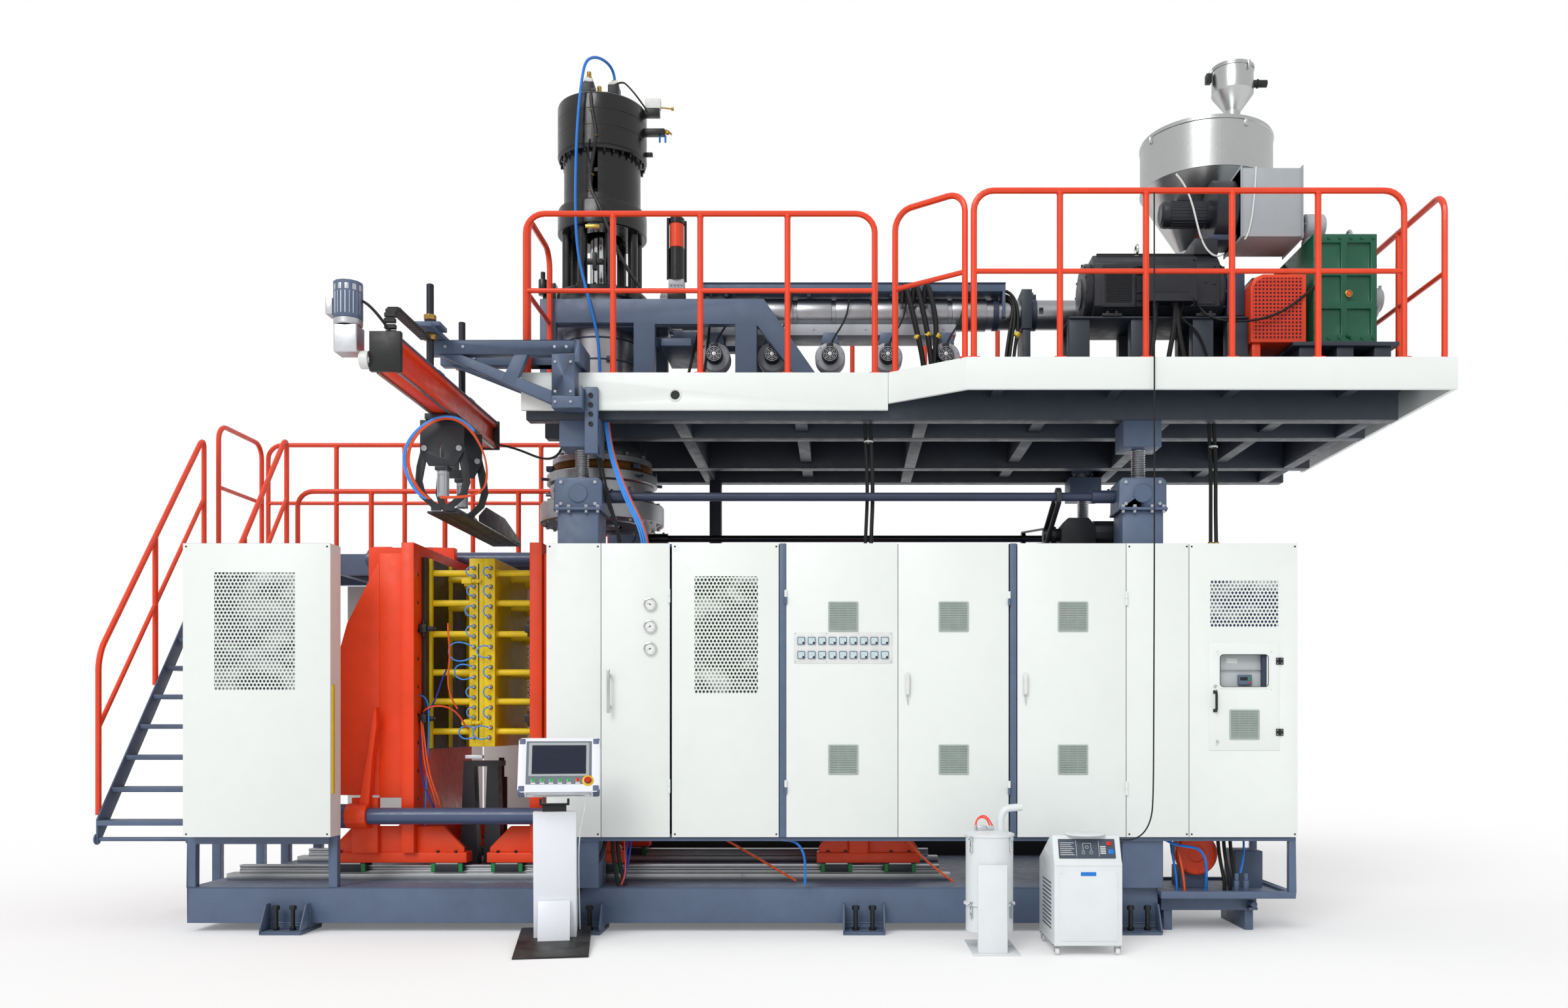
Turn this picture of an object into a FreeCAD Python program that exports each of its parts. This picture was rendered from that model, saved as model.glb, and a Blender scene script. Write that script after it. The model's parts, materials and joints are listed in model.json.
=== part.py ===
"""Large accumulator-head extrusion blow moulding machine, as a parametric document in millimetres.

X runs along the machine, Y from the operator's side to the back, Z up from the floor. Inside this
file places are measured from the machine line: x = 0 on the line, y = 0 at the cabinet fronts. The
sheet's middle_x and middle_y move that line so that the origin is under the middle of the machine.
"""

import FreeCAD, Part
import Sketcher
import math
import os
import re

Vector = FreeCAD.Vector
Rotation = FreeCAD.Rotation

sizes = {
    # whole machine
    "middle_x": 666.5,
    "middle_y": -904.5,
    "fit": 0.5,
    "gap": 4,
    "bolt_r": 14,
    # floor frame
    "beam_left": -4560,
    "beam_len": 6770,
    "beam_front": 120,
    "beam_rear": 2300,
    "beam_wide": 200,
    "beam_low": 60,
    "beam_high": 310,
    "plate_thick": 12,
    "post_wide": 60,
    "foot_wide": 290,
    "foot_out": 150,
    "foot_high": 200,
    # rails and carriages
    "rail_left": -4400,
    "rail_len": 5120,
    "rail_front": 590,
    "rail_rear": 1790,
    "rail_wide": 65,
    "rail_high": 60,
    "step_high": 47,
    "block_len": 230,
    "shoe_len": 1000,
    "shoe_thick": 75,
    # clamp
    "part_line": -2652,
    "mould_front": 700,
    "mould_deep": 980,
    "mould_low": 1280,
    "mould_high": 1398,
    "mould_thick": 109,
    "mould_thin": 82,
    "daylight": 443,
    "daylight_right": 395,
    "platen_thick": 92,
    "platen_front": 470,
    "platen_deep": 1440,
    "platen_top": 2764,
    "rib_out": 560,
    "tie_r": 60,
    "tie_low_y": 405,
    "tie_low_z": 785,
    "tie_high_y": 1950,
    "tie_high_z": 2830,
    "tail_x": -90,
    "clamp_cylinder_r": 150,
    "clamp_rod_r": 60,
    "clamp_stroke": 420,
    # cabinets and guards
    "panel_low": 670,
    "panel_high": 2690,
    "sheet_thick": 3,
    "cabinet_deep": 305,
    "guard_left": -4525,
    "guard_wide": 1014,
    "guard_deep": 420,
    "front_start": -2025,
    "gauge_door_left": -1648,
    "gauge_door_wide": 475,
    "window_panel_left": -1162,
    "window_panel_wide": 738,
    "first_post": -424,
    "door_one_left": -375,
    "door_one_wide": 769,
    "door_two_wide": 763,
    "second_post": 1161,
    "door_three_left": 1210,
    "door_three_wide": 750,
    "plain_panel_wide": 432,
    "end_panel_wide": 744,
    "inset_left": 2530,
    "inset_wide": 486,
    "inset_low": 1266,
    "inset_high": 739,
    "vent_wide": 205,
    "vent_high": 210,
    # lifting jacks
    "jack_left": -1820,
    "jack_right": 2090,
    "jack_front": 200,
    "jack_rear": 2230,
    "column_wide": 284,
    "column_high": 2925,
    "gearbox_wide": 330,
    "gearbox_high": 220,
    "screw_r": 50,
    "lift_shaft_r": 30,
    # platform
    "deck_left": -2200,
    "deck_step": 324,
    "deck_slant": 831,
    "deck_right": 4061,
    "deck_front": -374,
    "deck_rear": 2500,
    "deck_top": 3865,
    "deck_thick": 20,
    "fascia_high": 259,
    "fascia_thick": 30,
    "frame_low": 3554,
    "rail_post_high": 1130,
    "rail_tube_r": 21,
    # accumulator head
    "head_x": -1863,
    "head_y": 1190,
    "die_r": 476,
    "die_low": 2990,
    "barrel_r": 298,
    "head_frame_top": 4640,
    "cylinder_low": 4700,
    "cylinder_top": 6366,
    "drum_r": 342,
    "core_r": 45,
    # extruder
    "screw_axis_z": 4640,
    "extruder_r": 112,
    "extruder_end": 3110,
    "hopper_x": 2850,
    "hopper_r": 500,
    "hopper_top": 5965,
    "drum_high": 370,
    "throat_x": 2727,
    "receiver_x": 3060,
    "bench_top": 4357,
    "motor_left": 1811,
    "motor_len": 902,
    "motor_wide": 470,
    "gearbox_left": 3360,
    "gearbox_len": 455,
    # stairs and walkway
    "stair_left": -5344,
    "stair_right": -4690,
    "stair_foot_y": 375,
    "stair_foot_z": 764,
    "walk_z": 2890,
    "walk_front": 2050,
    "walk_rear": 2930,
    "walk_right": -2060,
    "treads": 9,
    # take-out robot
    "robot_x": -2740,
    "beam_start": -1060,
    "beam_end": 1090,
    "beam_z": 3580,
    "grip_y": 0,
    # operator's pendant
    "pendant_x": -1985,
    "pendant_y": -560,
    # material loader and filter
    "loader_x": 1545,
    "loader_y": -800,
    "filter_x": 955,
    "filter_y": -560,
}

doc = FreeCAD.newDocument("BlowMouldingMachine")
sheet = doc.addObject("Spreadsheet::Sheet", "Sizes")
for row, (name, number) in enumerate(sizes.items(), start=1):
    sheet.set(f"A{row}", name)
    sheet.set(f"B{row}", str(number))
    sheet.setAlias(f"B{row}", name)
doc.recompute()


# ---------------------------------------------------------------- helpers

def bound(text):
    """The expression with every sheet name written in full."""
    return re.sub(r"[a-z][a-z_]*", lambda m: "Sizes." + m[0] if m[0] in sizes else m[0], str(text))


def place(obj, at, turn=None):
    """Binds the place of an object, given from the machine line."""
    obj.Placement = FreeCAD.Placement(Vector(), turn or Rotation())
    obj.setExpression("Placement.Base.x", bound(f"middle_x + {at[0]}"))
    obj.setExpression("Placement.Base.y", bound(f"middle_y + {at[1]}"))
    obj.setExpression("Placement.Base.z", bound(at[2]))
    return obj


def made(kind, **fields):
    obj = doc.addObject("Part::" + kind, kind)
    for name, text in fields.items():
        obj.setExpression(name, bound(text))
    return obj


def box(at, size, turn=None):
    """A block from its low corner."""
    return place(made("Box", Length=size[0], Width=size[1], Height=size[2]), at, turn)


turns = {
    "x": Rotation(Vector(0, 1, 0), 90),
    "y": Rotation(Vector(1, 0, 0), -90),
    "z": Rotation(),
}


def rod(axis, at, radius, length, sides=12):
    """A round bar from the middle of its low end. Small ones are drawn with a few flat sides."""
    if sides:
        bar = made("Prism", Circumradius=radius, Height=length)
        bar.Polygon = sides
    else:
        bar = made("Cylinder", Radius=radius, Height=length)
    return place(bar, at, turns[axis])


def ring(axis, at, outer, inner, length, sides=12):
    return cut(rod(axis, at, outer, length, sides), rod(axis, at, inner, length, sides))


def shaped(shape, at=(0, 0, 0)):
    """A shape worked out by Part's own functions, put at its place."""
    feature = doc.addObject("Part::Feature", "Shaped")
    feature.Shape = shape
    return place(feature, at)


def fuse(*pieces):
    joined = doc.addObject("Part::MultiFuse", "Fused")
    joined.Shapes = list(pieces)
    joined.Refine = True
    return joined


def cut(base, *tools):
    trimmed = doc.addObject("Part::Cut", "Trimmed")
    trimmed.Base = base
    trimmed.Tool = tools[0] if len(tools) == 1 else group(*tools)
    return trimmed


def group(*pieces):
    held = doc.addObject("Part::Compound", "Group")
    held.Links = list(pieces)
    return held


nodes = {}


def node(label, *pieces):
    """Names a sub-part, made of one object or of several that stay separate solids."""
    piece = pieces[0] if len(pieces) == 1 else group(*pieces)
    piece.Label = label
    nodes[label] = piece
    return piece


def size(name):
    return float(sheet.get(name))


class Body:
    """A PartDesign body drawn from sketches whose corners are bound to the sheet."""

    def __init__(self, at, turn=None):
        self.body = doc.addObject("PartDesign::Body", "Body")
        place(self.body, at, turn)

    def plane(self, role):
        return [f for f in self.body.Origin.OriginFeatures if f.Role == role + "_Plane"][0]

    def sketch(self, role, outlines=(), circles=()):
        drawing = self.body.newObject("Sketcher::SketchObject", "Sketch")
        drawing.AttachmentSupport = [(self.plane(role), "")]
        drawing.MapMode = "FlatFace"
        for corners in outlines:
            self.draw_outline(drawing, corners)
        for centre, radius in circles:
            self.draw_circle(drawing, centre, radius)
        return drawing

    def pin(self, drawing, kind, edge, point, text):
        if kind == "Radius":
            index = drawing.addConstraint(Sketcher.Constraint("Radius", edge, 1.0))
        else:
            index = drawing.addConstraint(Sketcher.Constraint(kind, -1, 1, edge, point, 1.0))
        drawing.setExpression(f"Constraints[{index}]", bound(text))

    def draw_outline(self, drawing, corners):
        first = drawing.GeometryCount
        count = len(corners)
        guess = [Vector(100 * math.cos(6.28 * i / count), 100 * math.sin(6.28 * i / count), 0)
                 for i in range(count)]
        for i in range(count):
            drawing.addGeometry(Part.LineSegment(guess[i], guess[(i + 1) % count]))
        for i, (across, up) in enumerate(corners):
            edge = first + i
            drawing.addConstraint(
                Sketcher.Constraint("Coincident", edge, 2, first + (i + 1) % count, 1))
            self.pin(drawing, "DistanceX", edge, 1, across)
            self.pin(drawing, "DistanceY", edge, 1, up)

    def draw_circle(self, drawing, centre, radius):
        edge = drawing.addGeometry(Part.Circle(Vector(1, 1, 0), Vector(0, 0, 1), 10))
        self.pin(drawing, "DistanceX", edge, 3, centre[0])
        self.pin(drawing, "DistanceY", edge, 3, centre[1])
        self.pin(drawing, "Radius", edge, 0, radius)

    def feature(self, kind, drawing, **fields):
        made_feature = self.body.newObject("PartDesign::" + kind, kind)
        made_feature.Profile = drawing
        drawing.Visibility = False
        for name, text in fields.items():
            made_feature.setExpression(name, bound(text))
        return made_feature

    def pad(self, role, outlines, length, circles=()):
        """Adds a plate. It grows along +X, +Y or +Z from its plane."""
        pad = self.feature("Pad", self.sketch(role, outlines, circles), Length=length)
        pad.Reversed = role == "XZ"
        return pad

    def pocket(self, role, outlines, length, circles=()):
        """Cuts a pocket of a given depth, the same way as a pad would grow."""
        pocket = self.feature("Pocket", self.sketch(role, outlines, circles), Length=length)
        pocket.Reversed = role != "XZ"
        return pocket

    def turned(self, profile):
        """Revolves a half section, drawn as radius and height, about the body's Z axis."""
        drawing = self.sketch("XZ", [profile])
        spun = self.feature("Revolution", drawing)
        spun.ReferenceAxis = (drawing, ["V_Axis"])
        spun.Angle = 360
        return spun

    def row(self, feature, role, length, count):
        """Repeats a feature in a straight row."""
        pattern = self.body.newObject("PartDesign::LinearPattern", "Row")
        pattern.Originals = [feature]
        pattern.Direction = ([f for f in self.body.Origin.OriginFeatures
                              if f.Role == role + "_Axis"][0], [""])
        pattern.setExpression("Length", bound(length))
        pattern.setExpression("Occurrences", bound(count))
        self.body.Tip = pattern
        return pattern

    def around(self, feature, count):
        """Repeats a feature round the body's Z axis."""
        pattern = self.body.newObject("PartDesign::PolarPattern", "Round")
        pattern.Originals = [feature]
        pattern.Axis = ([f for f in self.body.Origin.OriginFeatures if f.Role == "Z_Axis"][0], [""])
        pattern.Angle = 360
        pattern.setExpression("Occurrences", bound(count))
        self.body.Tip = pattern
        return pattern


def rounded(x, y, radius, sides=12):
    """A many-sided outline that stands for a circle."""
    turn = 2 * math.pi / sides
    return [(f"{x} + ({radius}) * {math.cos(turn * i):.5f}", f"{y} + ({radius}) * {math.sin(turn * i):.5f}")
            for i in range(sides)]


def rectangle(x, y, wide, high):
    return [(x, y), (f"{x} + {wide}", y), (f"{x} + {wide}", f"{y} + {high}"), (x, f"{y} + {high}")]


def ring_of(middle, across, up, radius, sides=8):
    turn = 2 * math.pi / sides
    return [middle + across * (radius * math.cos(turn * (i + 0.5))) + up * (radius * math.sin(turn * (i + 0.5)))
            for i in range(sides)]


def bar_between(start, end, radius, start_cut=None, end_cut=None, sides=8):
    """A straight flat-sided tube piece. Its ends are square, or lie in the planes across the given directions."""
    ahead = (end - start).normalize()
    across = ahead.cross(Vector(0, 0, 1))
    across = across.normalize() if across.Length > 0.01 else Vector(1, 0, 0)
    up = across.cross(ahead)
    outlines = []
    for middle, face in ((start, start_cut or ahead), (end, end_cut or ahead)):
        corners = []
        for corner in ring_of(middle, across, up, radius, sides):
            shift = (middle - corner).dot(face) / ahead.dot(face)
            corners.append(corner + ahead * shift)
        outlines.append(corners)
    first, last = outlines
    faces = [Part.Face(Part.makePolygon(first + first[:1])), Part.Face(Part.makePolygon(last + last[:1]))]
    for i in range(sides):
        j = (i + 1) % sides
        faces.append(Part.Face(Part.makePolygon([first[i], first[j], last[j], last[i], first[i]])))
    solid = Part.Solid(Part.Shell(faces))
    if solid.Volume < 0:
        solid.reverse()
    return solid


def bent_tube(places, radius, sides=8):
    """A tube through the places in straight pieces that meet in mitres."""
    pieces = []
    directions = [(b - a).normalize() for a, b in zip(places, places[1:])]
    for i, (a, b) in enumerate(zip(places, places[1:])):
        before = directions[i] + directions[i - 1] if i else None
        after = directions[i] + directions[i + 1] if i + 1 < len(directions) else None
        pieces.append(bar_between(a, b, radius, before, after, sides))
    return pieces


def tube_path(points, radius, bend):
    """A round tube through hand-picked points, straight runs joined by tangent arcs."""
    places = [Vector(*p) for p in points]
    edges = []
    start = places[0]
    for before, corner, after in zip(places, places[1:], places[2:]):
        into = (corner - before).normalize()
        out = (after - corner).normalize()
        half = into.getAngle(out) / 2
        run = min((corner - before).Length, (after - corner).Length)
        reach = 0.45 * run if bend is None else min(bend * math.tan(half), 0.45 * run)
        arc_start = corner - into * reach
        arc_end = corner + out * reach
        arc_radius = reach / math.tan(half)
        if bend is None:
            radii.append(arc_radius / radius / 2)
        inward = (out - into).normalize()
        middle = corner + inward * (arc_radius / math.cos(half) - arc_radius)
        edges.append(Part.LineSegment(start, arc_start).toShape())
        edges.append(Part.Arc(arc_start, middle, arc_end).toShape())
        start = arc_end
    edges.append(Part.LineSegment(start, places[-1]).toShape())
    wire = Part.Wire(edges)
    ahead = (places[1] - places[0]).normalize()
    across = ahead.cross(Vector(0.1, 1, 0)).normalize()
    corners = ring_of(places[0], across, ahead.cross(across), radius * math.sqrt(math.pi / 8 / math.sin(math.pi / 4) * 2))
    section = Part.makePolygon(corners + corners[:1])
    solid = wire.makePipeShell([section], True, False)
    wanted = math.pi * radius * radius * wire.Length
    if abs(solid.Volume - wanted) > 0.02 * wanted:
        raise RuntimeError(f"tube volume {solid.Volume} is not {wanted}")
    return solid


radii = []


# ---------------------------------------------------------------- floor frame

def floor_frame():
    """Two long beams on cross beams, with deck plates in front of the rails and posts for the guards."""
    deep = "beam_rear - beam_front"
    low = "beam_high - plate_thick - beam_low"
    pieces = [
        box(("beam_left", "beam_front", "beam_low"), ("beam_len", "beam_wide", low)),
        box(("beam_left", "beam_rear - beam_wide", "beam_low"), ("beam_len", "beam_wide", low)),
        box(("beam_left", "beam_front", "beam_high - plate_thick"), ("beam_len", deep, "plate_thick")),
    ]
    for i in range(7):
        at = f"beam_left + {i} * (beam_len - beam_wide) / 6"
        pieces.append(box((at, "beam_front + beam_wide", "beam_low"), ("beam_wide", f"{deep} - 2 * beam_wide", low)))
    for x in ("beam_left", "guard_left + guard_wide - post_wide"):
        pieces.append(box((x, "beam_front", "beam_high"), ("post_wide", "post_wide", "panel_low - beam_high")))
    sill = "panel_low - post_wide"
    inner = "guard_left + guard_wide - beam_left - 2 * post_wide"
    pieces.append(box(("beam_left + post_wide", "beam_front", sill), (inner, "post_wide", "post_wide")))
    for x in (-3990, -1940, 15, 1915):
        pieces += foot(x, True) + foot(x, False)
    return node("floor_frame", *pieces)


def foot(x, front):
    """A foot bracket: a base plate under the beam, two gussets and two levelling bolts."""
    near = "beam_front - foot_out" if front else "beam_rear - beam_wide"
    outer = "beam_front - foot_out" if front else "beam_rear"
    pieces = [box((x, near, 0), ("foot_wide", "foot_out + beam_wide", "plate_thick * 2")),
              box((x, "beam_front" if front else "beam_rear - beam_wide", "plate_thick * 2"),
                  ("foot_wide", "beam_wide", "beam_low - plate_thick * 2"))]
    base = "plate_thick * 2"
    slope = [(0, base), ("foot_out", base), ("foot_out", "foot_high"), ("foot_out * 0.6", "foot_high"),
             (0, "plate_thick * 4")]
    if not front:
        slope = [(f"foot_out - ({a})", b) for a, b in slope]
    for side in (0, 1):
        gusset = Body((f"{x} + {side} * (foot_wide - plate_thick)", outer, 0))
        gusset.pad("YZ", [slope], "plate_thick")
        pieces.append(gusset.body)
        bolt = place(made("Prism", Circumradius="bolt_r", Height="foot_high * 0.7"),
                     (f"{x} + foot_wide * {0.3 + 0.4 * side}", f"{outer} + foot_out / 2", base))
        head = place(made("Prism", Circumradius="bolt_r * 1.7", Height="bolt_r * 2"),
                     (f"{x} + foot_wide * {0.3 + 0.4 * side}", f"{outer} + foot_out / 2", f"{base} + foot_high * 0.7"))
        pieces += [bolt, head]
    return pieces


def guide_rails():
    """Two profiled guide rails, each on a raised steel step."""
    pieces = []
    for y in ("rail_front", "rail_rear"):
        rail = Body(("rail_left", f"{y} - rail_wide / 2", "beam_high + step_high"))
        waist = "rail_wide * 0.16"
        rail.pad("YZ", [[(0, 0), ("rail_wide", 0), ("rail_wide", "rail_high * 0.35"),
                         (f"rail_wide - {waist}", "rail_high * 0.5"), (f"rail_wide - {waist}", "rail_high * 0.65"),
                         ("rail_wide", "rail_high * 0.8"), ("rail_wide", "rail_high"), (0, "rail_high"),
                         (0, "rail_high * 0.8"), (waist, "rail_high * 0.65"), (waist, "rail_high * 0.5"),
                         (0, "rail_high * 0.35")]], "rail_len")
        pieces.append(rail.body)
        pieces.append(box(("rail_left - 80", f"{y} - rail_wide", "beam_high"),
                          ("rail_len + 160", "rail_wide * 2", "step_high")))
    return node("guide_rails", *pieces)


# ---------------------------------------------------------------- clamp

rail_top = "beam_high + step_high + rail_high"
shoe_low = f"{rail_top} + 20"
shoe_top = f"{shoe_low} + shoe_thick"


def carriage(x, y):
    """A bearing block that straddles the rail with a running clearance."""
    block = box((x, f"{y} - rail_wide * 1.1", "beam_high + step_high + 12"),
                ("block_len", "rail_wide * 2.2", f"rail_high + 8"))
    slot = box((f"{x} - 1", f"{y} - rail_wide / 2 - fit", "beam_high + step_high"),
               ("block_len + 2", "rail_wide + 2 * fit", "rail_high + fit"))
    return cut(block, slot)


def shoes(middle, long, plate_x, thick):
    """The front and rear shoes of a plate: each on two bearing blocks, with a sloped web to the plate."""
    pieces = []
    for y in ("rail_front", "rail_rear"):
        pieces.append(box((f"{middle} - {long} / 2", f"{y} - 75", shoe_low), (long, 150, "shoe_thick")))
        for end in (f"{middle} - {long} / 2 + 30", f"{middle} + {long} / 2 - 30 - block_len"):
            pieces.append(carriage(end, y))
        web = Body((middle, f"{y} - 65", shoe_top))
        half = f"{long} * 0.48"
        web.pad("XZ", [[(f"-{half}", 0), (half, 0), (half, 35), (f"{long} * 0.33", 190),
                        (f"-{long} * 0.33", 190), (f"-{half}", 35)]], 40)
        pieces.append(cut(web.body, box((plate_x, f"{y} - 70", f"{shoe_top} - 1"), (thick, 50, 200))))
    return pieces


def platen(face, side, top, long, middle):
    """A platen plate on its shoes, with three tall ribs behind it. side is +1 where ribs point to +X."""
    plate_x = face if side > 0 else f"{face} - platen_thick"
    spine_x = f"{face} + platen_thick" if side > 0 else f"{face} - platen_thick - 170"
    pieces = [
        box((plate_x, "platen_front", shoe_top), ("platen_thick", "platen_deep", f"{top} - ({shoe_top})")),
        box((spine_x, "platen_front + 30", f"{shoe_top} + 400"),
            (170, "platen_deep - 60", f"{top} - 75 - ({shoe_top} + 400)")),
    ]
    start = f"{face} + {side} * (platen_thick + 170)"
    profile = [(0, f"{top} - 124"), (0.42, f"{top} - 584"), (0.57, f"{top} - 903"), (0.8, f"{top} - 1350"),
               (0.8, 930), (0, 930)]
    for y in ("platen_front + 30", "platen_front + platen_deep / 2 - 30", "platen_front + platen_deep - 240"):
        rib = Body((start, y, 0))
        rib.pad("XZ", [[(f"{side} * rib_out * {out}", z) for out, z in profile]], 60)
        pieces.append(rib.body)
    return pieces + shoes(middle, long, plate_x, "platen_thick")


def boss(x, y, z, length, edge):
    """A tie bar boss with a flat arm that reaches to the edge of the plate or box it is welded to."""
    shell = rod("x", (x, y, z), "tie_r * 1.5", length)
    front = y == "tie_low_y"
    arm = box((x, y if front else edge, f"{z} - tie_r * 1.5"),
              (length, f"{edge} - {y}" if front else f"{y} - ({edge})", "tie_r * 3"))
    bore = rod("x", (f"{x} - 1", y, z), "tie_r + fit", f"{length} + 2")
    beyond = box((f"{x} - 1", "platen_front", f"{z} - tie_r * 2"), (f"{length} + 2", 200, "tie_r * 4"))
    return cut(fuse(shell, arm), bore, beyond) if front else cut(fuse(shell, arm), bore)


left_face = "part_line - daylight"
right_face = "part_line + daylight_right"
left_back = f"{left_face} - platen_thick - 170"


def left_platen():
    """The moving platen on the left, with the two bosses that the tie bars are anchored in."""
    pieces = platen(left_face, -1, "platen_top", "shoe_len", "part_line - daylight - platen_thick - 40")
    low_x = f"{left_back} - 190"
    pieces.append(box((low_x, "platen_front", 512), (190, 55, 400)))
    pieces.append(boss(low_x, "tie_low_y", "tie_low_z", 150, "platen_front"))
    high_x = f"{left_back} - 538"
    shoulder_y = "platen_front + platen_deep - 176"
    pieces.append(box((high_x, shoulder_y, 2600), (523, 80, 300)))
    pieces.append(box((f"{left_back} - 15", shoulder_y, "platen_top - 74"), (185, 80, "2900 + 74 - platen_top")))
    pieces.append(boss(high_x, "tie_high_y", "tie_high_z", 160, f"{shoulder_y} + 80"))
    return node("left_platen", *pieces)


def right_platen():
    pieces = platen(right_face, 1, "platen_top", "shoe_len", "part_line + daylight_right + platen_thick + 85")
    return node("right_platen", *pieces)


tail_face = "tail_x + 150"
tail_thick = "platen_thick * 1.5"


def tail_platen():
    """The plate that the two tie bars pull on, with the clamp cylinder let through it."""
    middle = ("rail_front / 2 + rail_rear / 2", "mould_low + mould_high / 2")
    top = "tie_high_z - tie_r * 1.5"
    plate = box((tail_face, "platen_front", shoe_top), (tail_thick, "platen_deep", f"{top} - ({shoe_top})"))
    bore = rod("x", (f"{tail_face} - 1", *middle), "clamp_rod_r * 1.3", f"{tail_thick} + 2", 24)
    low = boss(tail_face, "tie_low_y", "tie_low_z", tail_thick, "platen_front")
    high = boss(tail_face, "tie_high_y", "tie_high_z", tail_thick, "platen_front + platen_deep - 120")
    outlines = [(0, 60, 1.3), (60, 520, 1), (520, 600, 1.2)]
    pieces = [cut(plate, bore), low, high]
    for start, end, wide in outlines:
        at = f"{tail_face} - {end}"
        pieces.append(ring("x", (at, *middle), f"clamp_cylinder_r * {wide}", "clamp_rod_r + fit", end - start, 16))
    back = f"{tail_face} + {tail_thick}"
    pieces.append(ring("x", (back, *middle), "clamp_cylinder_r", "clamp_rod_r + fit", 230, 16))
    pieces.append(rod("x", (f"{back} + 230", *middle), "clamp_cylinder_r * 1.1", 20, 16))
    return node("tail_platen", *pieces, *shoes("tail_x + 290", 752, tail_face, tail_thick))


def clamp_rod():
    """The piston rod from the right platen into the clamp cylinder."""
    start = f"{right_face} + platen_thick + 170 + rib_out * 0.8"
    middle = ("rail_front / 2 + rail_rear / 2", "mould_low + mould_high / 2")
    flange = rod("x", (start, *middle), "clamp_rod_r * 1.8", 40, 16)
    bar = rod("x", (f"{start} + 40", *middle), "clamp_rod_r", f"{tail_face} - 600 - ({start})", 16)
    return node("clamp_rod", flange, bar)


def tie_bars():
    """The two tie bars with a nut at each end."""
    pieces = []
    for y, z, start in (("tie_low_y", "tie_low_z", f"{left_back} - 190"), ("tie_high_y", "tie_high_z", f"{left_back} - 538")):
        end = f"{tail_face} + {tail_thick}"
        pieces.append(rod("x", (f"{start} - 90", y, z), "tie_r", f"{end} + 90 - ({start} - 90)"))
        pieces.append(ring("x", (f"{start} - 68", y, z), "tie_r * 1.45", "tie_r", 68))
        pieces.append(ring("x", (end, y, z), "tie_r * 1.45", "tie_r", 68))
    return node("tie_bars", *pieces)


def mould(name, side):
    """A mould half with its cavity, its back plate and the round spacers that carry it on the platen."""
    thick = "mould_thin" if side > 0 else "mould_thick"
    open_wide = "daylight_right" if side > 0 else "daylight"
    inner = f"part_line + {side} * fit / 2"
    block = box((inner if side > 0 else f"{inner} - {thick}", "mould_front", "mould_low"),
                (thick, "mould_deep", "mould_high"))
    depth = f"{thick} * 0.4"
    cavity = box((inner if side > 0 else f"{inner} - {depth}",
                  "mould_front + mould_deep * 0.12", "mould_low + mould_high * 0.1"),
                 (depth, "mould_deep * 0.76", "mould_high * 0.8"))
    pieces = [cut(block, cavity)]
    face = left_face if side < 0 else right_face
    plate_x = face if side < 0 else f"{face} - 34"
    pieces.append(box((plate_x, "mould_front - 60", "mould_low - 20"), (34, "mould_deep + 120", "mould_high + 20")))
    start = f"{face} + 34" if side < 0 else f"{inner} + {thick}"
    for share in (0.08, 0.24, 0.395, 0.6, 0.765, 0.925):
        for column in range(3):
            at = (start, f"mould_front + 60 + {column} * (mould_deep - 120) / 2", f"mould_low + mould_high * {share}")
            pieces.append(rod("x", at, 23, f"{open_wide} - 34 - {thick} - fit / 2", 8))
    return node(name, *pieces)


def blow_unit():
    """The stand under the mould that carries the blow pin and the parison spreader."""
    middle = "part_line - 94"
    pieces = [box((f"{middle} - 220", 880, "beam_high"), (440, 620, 25))]
    for x in (f"{middle} - 160", f"{middle} + 20"):
        upright = Body((x, 940, "beam_high + 25"))
        upright.pad("XZ", [[(0, 0), (140, 0), (110, 790), (30, 790)]], 110)
        pieces.append(upright.body)
    pieces.append(box((f"{middle} - 130", 940, "beam_high + 815"), (270, 200, 40)))
    pieces.append(rod("z", ("part_line", 1190, "beam_high + 25"), 45, 700))
    pieces.append(rod("z", ("part_line", 1190, "beam_high + 725"), 22, 150))
    return node("blow_unit", *pieces)


# ---------------------------------------------------------------- cabinets and guards

end_left = "door_three_left + door_three_wide + 4 + plain_panel_wide"
shell_low = "panel_low"
door_two_left = "door_one_left + door_one_wide"
handle_two = f"{door_two_left} + 64"
handle_three = "door_three_left + gap + 54"
band = "panel_high - panel_low"


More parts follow.
